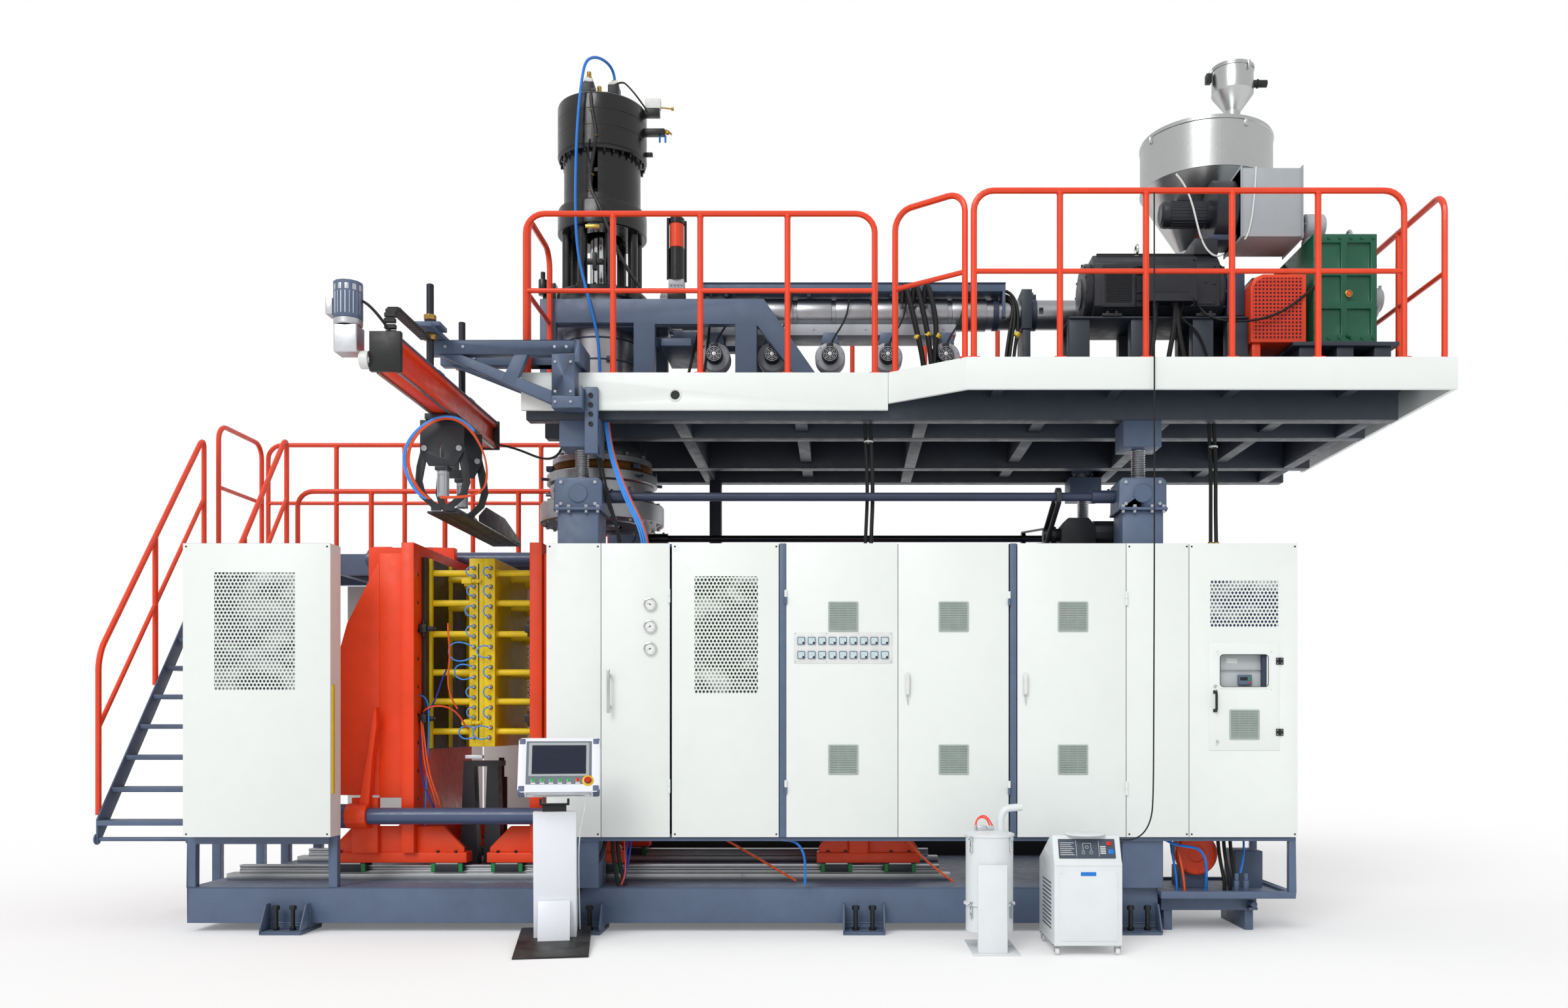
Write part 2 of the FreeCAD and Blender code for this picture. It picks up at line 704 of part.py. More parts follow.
def cabinet_shell():
    """The carcasses behind the doors, open to the front, and the grey posts between them."""
    wall = 20
    inner = "sheet_thick + 21 + 6"
    back = "cabinet_deep"
    pieces = []
    bays = [("gauge_door_left", "gauge_door_wide + 10 + window_panel_wide"),
            ("door_one_left - 25", "door_one_wide + door_two_wide + 50"),
            ("door_three_left - 25", "door_three_wide - 40 + 25")]
    for left, wide in bays:
        pieces += [
            box((left, inner, shell_low), (wide, f"{back} - ({inner})", wall)),
            box((left, inner, f"panel_high - {wall}"), (wide, f"{back} - ({inner})", wall)),
            box((left, f"{back} - {wall}", f"panel_low + {wall}"), (wide, wall, f"{band} - {2 * wall}")),
            box((left, inner, f"panel_low + {wall}"), (wall, f"{back} - {wall} - ({inner})", f"{band} - {2 * wall}")),
            box((f"{left} + {wide} - {wall}", inner, f"panel_low + {wall}"),
                (wall, f"{back} - {wall} - ({inner})", f"{band} - {2 * wall}")),
        ]
    for post, door in (("first_post", "door_one_left"), ("second_post", "door_three_left")):
        pieces.append(box((f"{post} + 2", 0, "panel_low"), (f"{door} - {post} - 4", "sheet_thick + 20", band)))
    end_wide = "end_panel_wide"
    deep = 900
    pieces += [
        box((end_left, inner, shell_low), (end_wide, f"{deep} - ({inner})", wall)),
        box((end_left, inner, f"panel_high - {wall}"), (end_wide, f"{deep} - ({inner})", wall)),
        box((end_left, f"{deep} - {wall}", f"panel_low + {wall}"), (end_wide, wall, f"{band} - {2 * wall}")),
        box((end_left, inner, f"panel_low + {wall}"), (wall, f"{deep} - {wall} - ({inner})", f"{band} - {2 * wall}")),
        box((f"{end_left} + {end_wide} - {wall}", inner, f"panel_low + {wall}"),
            (wall, f"{deep} - {wall} - ({inner})", f"{band} - {2 * wall}")),
    ]
    pieces.append(box(("front_start", "post_wide / 2", "panel_low - 30"),
                      (f"{end_left} + {end_wide} - front_start", 25, 30)))
    return node("cabinet_shell", *pieces)


def front_panels():
    """The fixed sheets of the front, with a doorway in the last one."""
    first = box(("front_start", 0, "panel_low"), ("gauge_door_left - front_start - gap", "sheet_thick", band))
    window = box(("window_panel_left", 0, "panel_low"), ("window_panel_wide - gap", "sheet_thick", band))
    plain = box(("door_three_left + door_three_wide + gap", 0, "panel_low"), ("plain_panel_wide - gap", "sheet_thick", band))
    end = box((end_left, 0, "panel_low"), ("end_panel_wide", "sheet_thick", band))
    doorway = box(("inset_left + 25", -1, "inset_low + 25"), ("inset_wide - 50", "sheet_thick + 2", "inset_high - 50"))
    return node("front_panels", first, window, plain, cut(end, doorway))


def guards():
    """The left guard with its returns, and the sheets that guard the back."""
    pieces = [box(("guard_left", 0, "panel_low"), ("guard_wide", "sheet_thick", band))]
    for x in ("guard_left", "guard_left + guard_wide - sheet_thick"):
        pieces.append(box((x, "sheet_thick", "panel_low"), ("sheet_thick", "beam_front + post_wide - sheet_thick", band)))
    pieces.append(box(("guard_left + sheet_thick", "sheet_thick", "panel_high - sheet_thick"),
                      ("guard_wide - 2 * sheet_thick", "beam_front + post_wide - sheet_thick", "sheet_thick")))
    back = "walk_rear - 100"
    for i in range(2):
        left = f"guard_left + 30 + {i} * 1240"
        pieces.append(box((left, back, "panel_low"), (1230, "sheet_thick", "walk_z - 190 - panel_low")))
    return node("guards", *pieces)


def door_leaf(left, wide, low, high, vents=(), window=None, front=0):
    """A sheet-metal door leaf stiffened by a shallow pan, with vents let into it."""
    leaf = Body((left, front, low))
    leaf.pad("XZ", [rectangle("0", "0", wide, high)], "sheet_thick")
    rim = 42
    leaf.pad("XZ", [rectangle(str(rim), str(rim), f"{wide} - {2 * rim}", f"{high} - {2 * rim}")], "sheet_thick + 18")
    if window:
        leaf.pocket("XZ", [rectangle(*window)], 100)
        cutter = leaf.body.Tip
        cutter.Type = "ThroughAll"
        cutter.Midplane = True
    solid = leaf.body
    parts = [solid]
    for x, z in vents:
        frame = box((f"{left} + {x}", front - 8, f"{low} + {z}"), ("vent_wide", 8, "vent_high"))
        slots = []
        for i in range(8):
            slots.append(box((f"{left} + {x} + 14", front - 9, f"{low} + {z} + 14 + {i} * (vent_high - 28) / 8"),
                             ("vent_wide - 28", 6, "(vent_high - 28) / 14")))
        parts.append(cut(frame, *slots))
    return parts


def doors():
    high = "panel_high - panel_low"
    gauge = door_leaf("gauge_door_left", "gauge_door_wide - gap", "panel_low", high)
    grip_x = "gauge_door_left + 70"
    for z in (885, 1135):
        gauge.append(box((f"{grip_x} - 8", -40, f"panel_low + {z}"), (16, 40, 16)))
    gauge.append(rod("z", (grip_x, -51, "panel_low + 850"), 11, 335))
    gauge += [rod("y", ("gauge_door_left + 325", -22, f"panel_low + {z}"), 45, 22) for z in (1295, 1445, 1598)]
    node("gauge_door", *gauge)
    one = door_leaf("door_one_left", "door_one_wide - gap", "panel_low", high, ((288, 430), (288, 1413)))
    one.append(box(("door_one_left + 50", -4, "panel_low + 1195"), ("door_one_wide - 100", 4, 215)))
    for i in range(18):
        meter_x = f"door_one_left + 72 + {i % 9} * 72"
        one.append(box((meter_x, -12, f"panel_low + {1222 + 98 * (i // 9)}"), (48, 8, 50)))
    node("door_one", *one)
    vents = ((278, 430), (278, 1413))
    node("door_two", *door_leaf(door_two_left, "door_two_wide - gap", "panel_low", high, vents),
         handle_base(handle_two))
    node("door_three", *door_leaf("door_three_left + gap", "door_three_wide - gap", "panel_low", high, vents),
         handle_base(handle_three))
    swing_handle("handle_two", handle_two)
    swing_handle("handle_three", handle_three)
    pane = ("65", "inset_high - 300", "inset_wide - 150", "222")
    inset = door_leaf("inset_left", "inset_wide", "inset_low", "inset_high", ((140, 75),), pane, -3.5)
    inset.append(rod("z", ("inset_left + 32", -39, "inset_low + 260"), 9, 150))
    inset += [box(("inset_left + 24", -30, f"inset_low + {z}"), (16, 26.5, 14)) for z in (262, 394)]
    node("inset_door", *inset)


def handle_base(x):
    return box((f"{x} - 20", -8, "panel_low + 965"), (40, 8, 170))


def swing_handle(label, x):
    """A swing handle that lies along its base on the door and turns on its neck."""
    grip = box((f"{x} - 12", -34, "panel_low + 980"), (24, 18, 140))
    neck = rod("y", (x, -16, "panel_low + 1105"), 11, 7.6)
    return node(label, grip, neck)


# ---------------------------------------------------------------- lifting jacks

jack_places = [(x, y) for x in ("jack_left", "jack_right") for y in ("jack_front", "jack_rear")]
gearbox_low = "column_high + 10"
gearbox_top = "column_high + 10 + gearbox_high"
shaft_z = "column_high + 10 + gearbox_high / 2"


def jacks():
    """Four hollow columns, each with a worm gearbox that its screw rises through."""
    pieces = []
    half = "column_wide / 2"
    for x, y in jack_places:
        outer = box((f"{x} - {half}", f"{y} - {half}", "beam_high"), ("column_wide", "column_wide", "column_high - beam_high"))
        bore = box((f"{x} - {half} + 12", f"{y} - {half} + 12", "beam_high - 1"),
                   ("column_wide - 24", "column_wide - 24", "column_high - beam_high + 2"))
        pieces.append(cut(outer, bore))
        flange = box((f"{x} - gearbox_wide / 2", f"{y} - {half}", "column_high"), ("gearbox_wide", "column_wide", 10))
        case = Body((f"{x} - gearbox_wide / 2", f"{y} - {half}", gearbox_low))
        edge = "gearbox_wide * 0.08"
        case.pad("XZ", [[(0, 0), ("gearbox_wide", 0), ("gearbox_wide", f"gearbox_high - {edge}"),
                         (f"gearbox_wide - {edge}", "gearbox_high"), (edge, "gearbox_high"),
                         (0, f"gearbox_high - {edge}")]], "column_wide")
        hole = rod("z", (x, y, "column_high - 1"), "screw_r + fit", "gearbox_high + 20")
        pieces.append(cut(fuse(flange, case.body), hole))
        pieces += [box((f"{x} - gearbox_wide / 2", f"{y} - {half} - 36", "column_high"), ("gearbox_wide", 36, 20)),
                   box((f"{x} - gearbox_wide / 2", f"{y} + {half}", "column_high"), ("gearbox_wide", 36, 20))]
    return node("jacks", *pieces)


def belt_loop(at_one, at_two, radius, thick, wide):
    """A closed chain seen along X, over two equal wheels."""
    (y1, z1), (y2, z2) = at_one, at_two
    along = Vector(0, y2 - y1, z2 - z1)
    side = Vector(0, -(z2 - z1), y2 - y1).normalize()
    a = Vector(0, y1, z1)
    b = a + along
    ahead = Vector(along).normalize()

    def stadium(r):
        edges = [Part.LineSegment(a + side * r, b + side * r).toShape(),
                 Part.Arc(b + side * r, b + ahead * r, b - side * r).toShape(),
                 Part.LineSegment(b - side * r, a - side * r).toShape(),
                 Part.Arc(a - side * r, a - ahead * r, a + side * r).toShape()]
        return Part.Face(Part.Wire(edges))

    face = stadium(radius + thick).cut(stadium(radius))
    return face.Faces[0].extrude(Vector(wide, 0, 0))


lift_motor_y = 700
lift_motor_z = 2850


def lift_drive():
    """The gear motor on its shelf behind the right column, and the two chains to the lift shafts."""
    shelf = box(("jack_right - 560", "jack_front + column_wide / 2", "panel_high + 12"),
                ("560 + column_wide / 2", 560, 20))
    casing = Body(("jack_right - 470", lift_motor_y - 110, "panel_high + 32"))
    casing.pad("XZ", [[(0, 0), (250, 0), (250, 180), (200, 240), (50, 240), (0, 180)]], 220)
    motor = rod("x", ("jack_right - 220", lift_motor_y, lift_motor_z + 10), 95, 300)
    hub = rod("x", ("jack_right - 590", lift_motor_y, lift_motor_z), 48, 120)
    pieces = [shelf, casing.body, motor, hub]
    jack_y = size("jack_front")
    rear_y = size("jack_rear")
    height = size("column_high") + 10 + size("gearbox_high") / 2
    for i, far in enumerate((jack_y, rear_y)):
        loop = belt_loop((lift_motor_y, lift_motor_z), (far, height), 49, 14, 34)
        pieces.append(shaped(loop, (f"jack_right - 580 + {i} * 48", "0", "0")))
    return node("lift_drive", *pieces)


def lift_shaft(label, y):
    start = "jack_left + gearbox_wide / 2 + 3"
    end = "jack_right - gearbox_wide / 2 - 3"
    pieces = [rod("x", (f"{start} + 160", y, shaft_z), "lift_shaft_r", f"{end} - ({start}) - 320"),
              rod("x", (start, y, shaft_z), "lift_shaft_r * 1.5", 160),
              rod("x", (f"{end} - 160", y, shaft_z), "lift_shaft_r * 1.5", 160)]
    at = "jack_right - 580" if y == "jack_front" else "jack_right - 532"
    pieces.append(ring("x", (at, y, shaft_z), 48.5, "lift_shaft_r", 34))
    return node(label, *pieces)


def lift_screws():
    """The four lifting screws with their flanges and the feet that carry the platform."""
    pieces = []
    for x, y in jack_places:
        pieces.append(rod("z", (x, y, "beam_high + 1500"), "screw_r", "frame_low - 224 - beam_high - 1500"))
        pieces.append(rod("z", (x, y, "frame_low - 224"), "screw_r * 1.9", 40))
        pieces.append(box((f"{x} - 133", f"{y} - 133", "frame_low - 184"), (266, 266, 184)))
    return node("lift_screws", *pieces)


# ---------------------------------------------------------------- platform

deck_under = "deck_top - deck_thick"


def platform_frame():
    """The deck on its grid of beams, the extruder's bench and the gearbox's plinth."""
    deck = Body((0, 0, deck_under))
    outline = [("deck_left", 30), ("deck_step + 2", 30), ("deck_slant + 8", "deck_front + 30"),
               ("deck_right - 30", "deck_front + 30"), ("deck_right - 30", "deck_rear"), ("deck_left", "deck_rear")]
    deck.pad("XY", [outline], "deck_thick")
    opening = rod("z", ("head_x", "head_y", f"{deck_under} - 1"), "barrel_r + 40", "deck_thick + 2", 20)
    pieces = [cut(deck.body, opening)]
    high = f"{deck_under} - frame_low"
    for y in (60, 620, 1720, "deck_rear - 160"):
        pieces.append(box(("deck_left + 20", y, "frame_low"), ("deck_right - deck_left - 220", 120, high)))
    spans = [(180, 440), (740, 980), (1840, "deck_rear - 2000")]
    for i, x in enumerate((-1180, -330, 520, 1370, 2220, 3070, 3640)):
        for y, long in spans:
            pieces.append(box((x, y, f"frame_low + {40 if i % 2 else 0}"), (90, long, f"{high} - {40 if i % 2 else 0}")))
    for i in range(4):
        pieces.append(box((f"deck_slant + 200 + {i} * 800", "deck_front + 60", "frame_low + 150"), (70, "-deck_front", f"{high} - 150")))
    pieces.append(box(("motor_left - 180", 330, "bench_top - 14"), (1279, 520, 14)))
    for x in (-180, 263, 704, 951):
        for y in (345, 735):
            pieces.append(box((f"motor_left + {x}", y, "deck_top"), (148, 100, "bench_top - 14 - deck_top")))
    plinth = "screw_axis_z - 478 - deck_top"
    pieces.append(box(("gearbox_left - 150", 280, f"deck_top + {plinth} - 30"), ("gearbox_len + 300", 1180, 30)))
    for x in ("gearbox_left - 100", "gearbox_left + gearbox_len / 2 - 60", "gearbox_left + gearbox_len - 20"):
        pieces.append(box((x, 300, "deck_top"), (120, 1140, f"{plinth} - 30")))
    pieces.append(box(("extruder_end - 1710", "head_y - 150", "deck_top"), (60, 300, "screw_axis_z - deck_top - extruder_r - 40")))
    pieces.append(cut(box(("extruder_end - 1720", "head_y - 160", "screw_axis_z - extruder_r - 40"), (80, 320, "2 * extruder_r + 80")),
                      rod("x", ("extruder_end - 1730", "head_y", "screw_axis_z"), "extruder_r", 100, 20)))
    pieces.append(box((-1140, "deck_rear - 225", "panel_high - 500"), (100, 100, "frame_low - panel_high + 500")))
    return node("platform_frame", *pieces)


def platform_fascia():
    """The pale edge plates: a plain one on the left, a slanted and a deeper-set one on the right."""
    left = Body((0, 0, "deck_top - fascia_high"))
    left.pad("XY", [rectangle("deck_left", 0, "deck_step - deck_left", "fascia_thick")], "fascia_high")
    port = rod("y", (-1140, -1, "deck_top - fascia_high * 0.6"), 32, "fascia_thick + 2")
    right = Body((0, 0, "deck_top - fascia_high * 0.82"))
    run = [("deck_step + 2", 0), ("deck_slant", "deck_front"), ("deck_right", "deck_front"), ("deck_right", "deck_rear - 100"),
           ("deck_right - fascia_thick", "deck_rear - 100"), ("deck_right - fascia_thick", "deck_front + fascia_thick"),
           ("deck_slant + 8", "deck_front + fascia_thick"), ("deck_step + 2", "fascia_thick")]
    right.pad("XY", [run], "fascia_high * 0.82")
    return node("platform_fascia", cut(left.body, port), right.body)


def railing(start, end, posts, tall=None, mid=True):
    """A handrail from one place to another: a hoop with cut corners, posts and a middle tube."""
    r = size("rail_tube_r")
    high = (tall or size("rail_post_high")) - r
    a = Vector(*start)
    b = Vector(*end)
    ahead = (b - a).normalize()
    long = (b - a).Length
    up = Vector(0, 0, 1)
    bend = 120
    inner = 0.29 * bend
    hoop = [a, a + up * (high - bend), a + up * (high - inner) + ahead * inner, a + up * high + ahead * bend]
    mirror = [b, b + up * (high - bend), b + up * (high - inner) - ahead * inner, b + up * high - ahead * bend]
    solids = bent_tube(hoop + mirror[::-1], r, 6)
    for along in posts:
        solids.append(bar_between(a + ahead * along, a + ahead * along + up * (high - r), r, sides=6))
    if mid:
        knots = [0.0] + list(posts) + [long]
        for p, q in zip(knots, knots[1:]):
            level = up * (high * 0.52)
            solids.append(bar_between(a + ahead * (p + r) + level, a + ahead * (q - r) + level, r * 0.8, sides=6))
    return solids


def tube_group(solids):
    return shaped(Part.Compound(solids))


def platform_rails():
    """The handrails round the deck: two on the front, one on the slant, and the sides and back."""
    top = size("deck_top")
    left = size("deck_left") + 22
    step = size("deck_step")
    front = size("deck_front") + 40
    right = size("deck_right") - 55
    rear = size("deck_rear") - 60
    long = step - 90 - left
    solids = railing((left, 45, top), (left + long, 45, top), [long * k / 4 for k in (1, 2, 3)])
    solids += railing((left, 112, top), (left, 760, top), [])
    solids += railing((step + 50, 20, top), (size("deck_slant") - 10, front + 10, top), [])
    start = size("deck_slant") + 48
    long = right - 282 - start
    solids += railing((start, front, top), (start + long, front, top), [long * k / 5 for k in (1, 2, 3, 4)])
    solids += railing((right, front + 30, top), (right, rear - 60, top), [(rear - front) * k / 4 for k in (1, 2, 3)])
    long = right - 70 - (left + 1000)
    solids += railing((left + 1000, rear, top), (right - 70, rear, top), [long * k / 8 for k in range(1, 8)])
    return node("platform_rails", tube_group(solids))


def head_frame():
    """Two welded side frames with windows and raking legs, and the plate that carries the head."""
    deck = "deck_top"
    top = "head_frame_top"
    outline = [("head_x - 398", deck), ("head_x - 398", top), ("head_x + 1283", top), ("head_x + 1823", deck),
               ("head_x + 1673", deck), ("head_x + 1233", f"{top} - 200"), ("head_x + 1228", deck), ("head_x + 1069", deck),
               ("head_x + 1069", f"{top} - 190"), ("head_x + 465", f"{top} - 190"), ("head_x + 465", deck),
               ("head_x + 306", deck), ("head_x + 306", f"{top} - 180"), ("head_x - 281", f"{top} - 180"),
               ("head_x - 281", deck)]
    pieces = []
    for y in ("head_y - 390", "head_y + 310"):
        side = Body((0, y, 0))
        side.pad("XZ", [outline], 80)
        pieces.append(side.body)
    plate = box(("head_x - 398", "head_y - 310", f"{top} - 190"), ("barrel_r * 2 + 200", 620, 60))
    pieces.append(cut(plate, rod("z", ("head_x", "head_y", f"{top} - 200"), "barrel_r + fit", 100, 20)))
    pieces.append(box(("head_x + 500", "head_y - 310", f"{top} - 330"), (230, 620, 60)))
    pieces.append(box(("head_x + 560", "head_y - 390", top), (130, 90, 70)))
    pieces.append(box(("head_x + 575", "head_y - 380", f"{top} + 70"), (100, 70, 80)))
    pieces.append(rod("z", ("head_x + 625", "head_y - 345", f"{top} + 150"), 58, 240))
    pieces.append(rod("z", ("head_x + 625", "head_y - 345", f"{top} + 390"), 46, 230))
    return node("head_frame", *pieces)


def stack(at, levels, bore=None, sides=20):
    """Round pieces on one upright axis, each given as its radius and its low and high levels."""
    x, y = at
    pieces = []
    for radius, low, high in levels:
        long = f"{high} - ({low})"
        if bore:
            pieces.append(ring("z", (x, y, low), radius, bore, long, sides))
        else:
            pieces.append(rod("z", (x, y, low), radius, long, sides))
    return pieces


def accumulator_head():
    """The head's barrel, clamp rings and die round one axis, and the melt entry on its right."""
    base = "die_low"
    levels = [("die_r", base, f"{base} + 150"), ("die_r * 0.84", f"{base} + 150", f"{base} + 300"),
              ("die_r * 0.89", f"{base} + 300", f"{base} + 380"), ("die_r * 0.8", f"{base} + 380", f"{base} + 500"),
              ("die_r * 0.7", f"{base} + 500", f"{base} + 580"), ("barrel_r", f"{base} + 580", "cylinder_low")]
    rings = stack(("head_x", "head_y"), levels, "barrel_r * 0.5")
    entry = box(("head_x + barrel_r * 0.8", "head_y - 130", "screw_axis_z - 130"),
                ("barrel_r * 0.2 + 170", 260, "cylinder_low - screw_axis_z + 130"))
    hollow = rod("z", ("head_x", "head_y", "screw_axis_z - 140"), "barrel_r", 400, 20)
    return node("accumulator_head", *rings, cut(entry, hollow))


def push_cylinder():
    """The hydraulic cylinder that pushes the melt out: flange, tie columns, slotted body and drum."""
    tall = "(cylinder_top - cylinder_low)"
    bore = "drum_r * 0.45"
    levels = [("drum_r * 1.02", "cylinder_low", "cylinder_low + 70")]
    for radius, low, high in ((1, 0.32, 0.44), (0.86, 0.44, 0.75), (1, 0.75, 1)):
        levels.append((f"drum_r * {radius}", f"cylinder_low + {tall} * {low}", f"cylinder_low + {tall} * {high}"))
    pieces = stack(("head_x", "head_y"), levels, bore)
    slots = [box(("head_x - 18", "head_y - drum_r - 5", f"cylinder_low + {tall} * {low}"),
                 (36, "drum_r - drum_r * 0.45 + 30", f"{tall} * 0.11")) for low in (0.47, 0.6)]
    pieces[2] = cut(pieces[2], *slots)
    for i in range(8):
        turn = math.pi / 4 * (i + 0.5)
        at = (f"head_x + drum_r * 0.8 * {math.cos(turn):.5f}", f"head_y + drum_r * 0.8 * {math.sin(turn):.5f}")
        pieces.append(rod("z", (*at, "cylinder_low + 70"), 38, f"{tall} * 0.32 - 70", 8))
    pieces.append(ring("z", ("head_x", "head_y", "cylinder_top"), "drum_r * 0.5", 47, 14, 20))
    pieces.append(box(("head_x - 150", "head_y - 60", "cylinder_top + 14"), (90, 120, 120)))
    pieces.append(box(("head_x + 60", "head_y - 50", "cylinder_top + 14"), (70, 100, 90)))
    pieces.append(rod("z", ("head_x - 105", "head_y", "cylinder_top + 134"), 30, 50))
    pieces.append(box(("head_x + drum_r", "head_y - 60", "cylinder_top - 330"), (150, 60, 50)))
    pieces.append(box(("head_x + drum_r", "head_y - 60", "cylinder_top - 190"), (110, 60, 60)))
    pieces.append(box(("head_x + drum_r + 10", "head_y - 50", "cylinder_top - 130"), (120, 50, 80)))
    pieces.append(rod("x", ("head_x + drum_r + 150", "head_y - 30", "cylinder_top - 305"), 20, 120))
    bracket = Body(("head_x - drum_r * 1.05", "head_y - 45", "head_frame_top"))
    bracket.pad("XZ", [[(0, 0), (-110, 0), (-95, 160), (-30, 240), (0, 240)]], 90)
    pieces.append(bracket.body)
    return node("push_cylinder", *pieces)


def ram_and_core():
    """The push-out ram's tube and piston, and the rod inside it that opens the die."""
    at = ("head_x", "head_y")
    base = "die_low"
    levels = [("barrel_r * 0.5 - fit", f"{base} + 640", f"{base} + 940"), (95, f"{base} + 940", "cylinder_top - 760")]
    node("ram", *stack(at, levels, "core_r + fit"))
    levels = [("barrel_r * 0.5 - 18", f"{base} - 12", f"{base} + 60"), (80, f"{base} + 60", f"{base} + 200"),
              ("core_r", f"{base} + 200", "cylinder_top + 60")]
    node("die_core", *stack(at, levels))


def extruder():
    """The extruder's barrel with its flanges, the wiring channel above and the cooling blowers below."""
    start = "head_x + barrel_r + 170"
    flange = "extruder_r * 1.5"
    at = ("head_y", "screw_axis_z")
    pieces = [rod("x", (start, *at), flange, 60, 20), rod("x", ("extruder_end - 40", *at), flange, 40, 20),
              rod("x", (f"{start} + 60", *at), "extruder_r", f"extruder_end - 40 - ({start} + 60)", 20)]
    feed = cut(box(("throat_x - 130", "head_y - 150", "screw_axis_z - 140"), (260, 300, 400)),
               rod("x", ("throat_x - 140", "head_y", "screw_axis_z"), "extruder_r", 280, 20))
    channel_start = "head_x + 760"
    pieces.append(feed)
    pieces.append(box((channel_start, "head_y - 160", "screw_axis_z + extruder_r + 22"), (2370, 320, 66)))
    for i in range(4):
        pieces.append(box((f"{channel_start} + 200 + {i} * 640", "head_y - 120", "screw_axis_z + extruder_r"), (30, 240, 22)))
    pieces.append(box((channel_start, "head_y - 140", "screw_axis_z - extruder_r - 86"), (1990, 280, 86)))
    for i in range(5):
        x = f"{channel_start} + 140 + {i} * 440"
        z = "screw_axis_z - 385"
        pieces.append(rod("y", (x, "head_y - 220", z), 115, 130))
        pieces.append(rod("y", (x, "head_y - 300", z), 62, 80))
        pieces.append(box((f"{x} - 60", "head_y - 90", f"{z} - 20"), (120, 160, f"385 - extruder_r - 86 + 20")))
    return node("extruder", *pieces)


def funnel(levels, sides):
    """A many-sided funnel through level rings, each given as x, radius and z."""
    rings = []
    for x, radius, z in levels:
        turn = 2 * math.pi / sides
        rings.append([Vector(x + radius * math.cos(turn * i), 0 + radius * math.sin(turn * i), z)
                      for i in range(sides)])
    faces = [Part.Face(Part.makePolygon(edge + edge[:1])) for edge in (rings[0], rings[-1])]
    for low_ring, high_ring in zip(rings, rings[1:]):
        for i in range(sides):
            j = (i + 1) % sides
            quad = [low_ring[i], low_ring[j], high_ring[j], high_ring[i], low_ring[i]]
            faces.append(Part.Face(Part.makePolygon(quad)))
    solid = Part.Solid(Part.Shell(faces))
    if solid.Volume < 0:
        solid.reverse()
    return solid


def hopper():
    """The stainless hopper on its throat over the feed block, and the vacuum receiver on top."""
    rim = size("hopper_top")
    wide = size("hopper_r")
    x = size("hopper_x")
    throat = size("throat_x")
    feed = size("screw_axis_z") + 260
    body = funnel([(throat, 97, feed), (throat, 97, 5119), (x, wide, rim - size("drum_high"))], 40)
    drum = rod("z", ("hopper_x", "head_y", "hopper_top - drum_high"), "hopper_r", "drum_high", 40)
    can_x = size("receiver_x")
    can = funnel([(can_x, 60, 6226), (can_x, 158, 6359), (can_x, 158, 6548)], 24)
    pieces = [
        shaped(body, (0, "head_y", 0)),
        drum,
        rod("z", ("hopper_x", "head_y", "hopper_top"), "hopper_r + 8", 14, 40),
        rod("z", ("receiver_x", "head_y", "hopper_top + 14"), 60, "6226 - hopper_top - 14", 16),
        shaped(can, (0, "head_y", 0)),
        rod("z", ("receiver_x", "head_y", 6548), 166, 14, 24),
        rod("z", ("receiver_x - 50", "head_y", 6562), 24, 60),
        rod("x", ("receiver_x + 158", "head_y", 6450), 28, 110),
    ]
    return node("hopper", *pieces)


def main_motor():
    """The main drive motor on the bench, with its terminal box, lifting eyes and forced-air blower."""
    wide = "motor_wide"
    low = "bench_top"
    frame = Body(("motor_left", "345", low))
    edge = f"{wide} * 0.17"
    frame.pad("YZ", [[(edge, 20), (f"{wide} - {edge}", 20), (wide, edge), (wide, f"{wide} - {edge}"),
                      (f"{wide} - {edge}", wide), (edge, wide), (0, f"{wide} - {edge}"), (0, edge)]], "motor_len")
    pieces = [frame.body]
    for x in ("motor_left - 70", "motor_left + motor_len"):
        pieces.append(rod("x", (x, f"345 + {wide} / 2", f"{low} + {wide} / 2"), f"{wide} * 0.46", 70))
    for i in (0.06, 0.8):
        pieces.append(box((f"motor_left + motor_len * {i}", 320, low), (140, f"{wide} + 50", 20)))
    pieces.append(box(("motor_left + motor_len * 0.377", 205, f"{low} + 82"), (349, 140, 289)))
    pieces.append(box(("motor_left + motor_len + 70", 420, f"{low} + 33"), (129, 320, 320)))
    pieces.append(ring("x", ("motor_left + 240", "345 + motor_wide / 2", f"{low} + {wide} + 34"), 34, 20, 20))
    blower_z = f"{low} + {wide} + 345"
    pieces.append(box(("motor_left + motor_len - 170", 400, f"{low} + {wide}"), (170, 320, 115)))
    pieces.append(rod("x", ("motor_left + motor_len - 20", "560", blower_z), 230, 160))
    pieces.append(rod("x", ("motor_left + motor_len - 380", "560", blower_z), 98, 360))
    pieces.append(box(("motor_left + motor_len + 140", 330, f"{blower_z} - 245"), (445, 400, 490)))
    return node("main_motor", *pieces)


def belt_guard():
    """The box over the belt between the motor and the gearbox, on two legs."""
    low = "screw_axis_z - 478"
    left = "motor_left + motor_len + 202"
    guard = Body((left, 300, 0))
    guard.pad("XZ", [[(0, low), (395, low), (395, 4647), (90, 4647), (26, 4621), (0, 4557)]], 560)
    legs = [box((f"{left} + 17", y, "deck_top"), (60, 60, f"{low} - deck_top")) for y in (320, 780)]
    return node("belt_guard", guard.body, *legs)


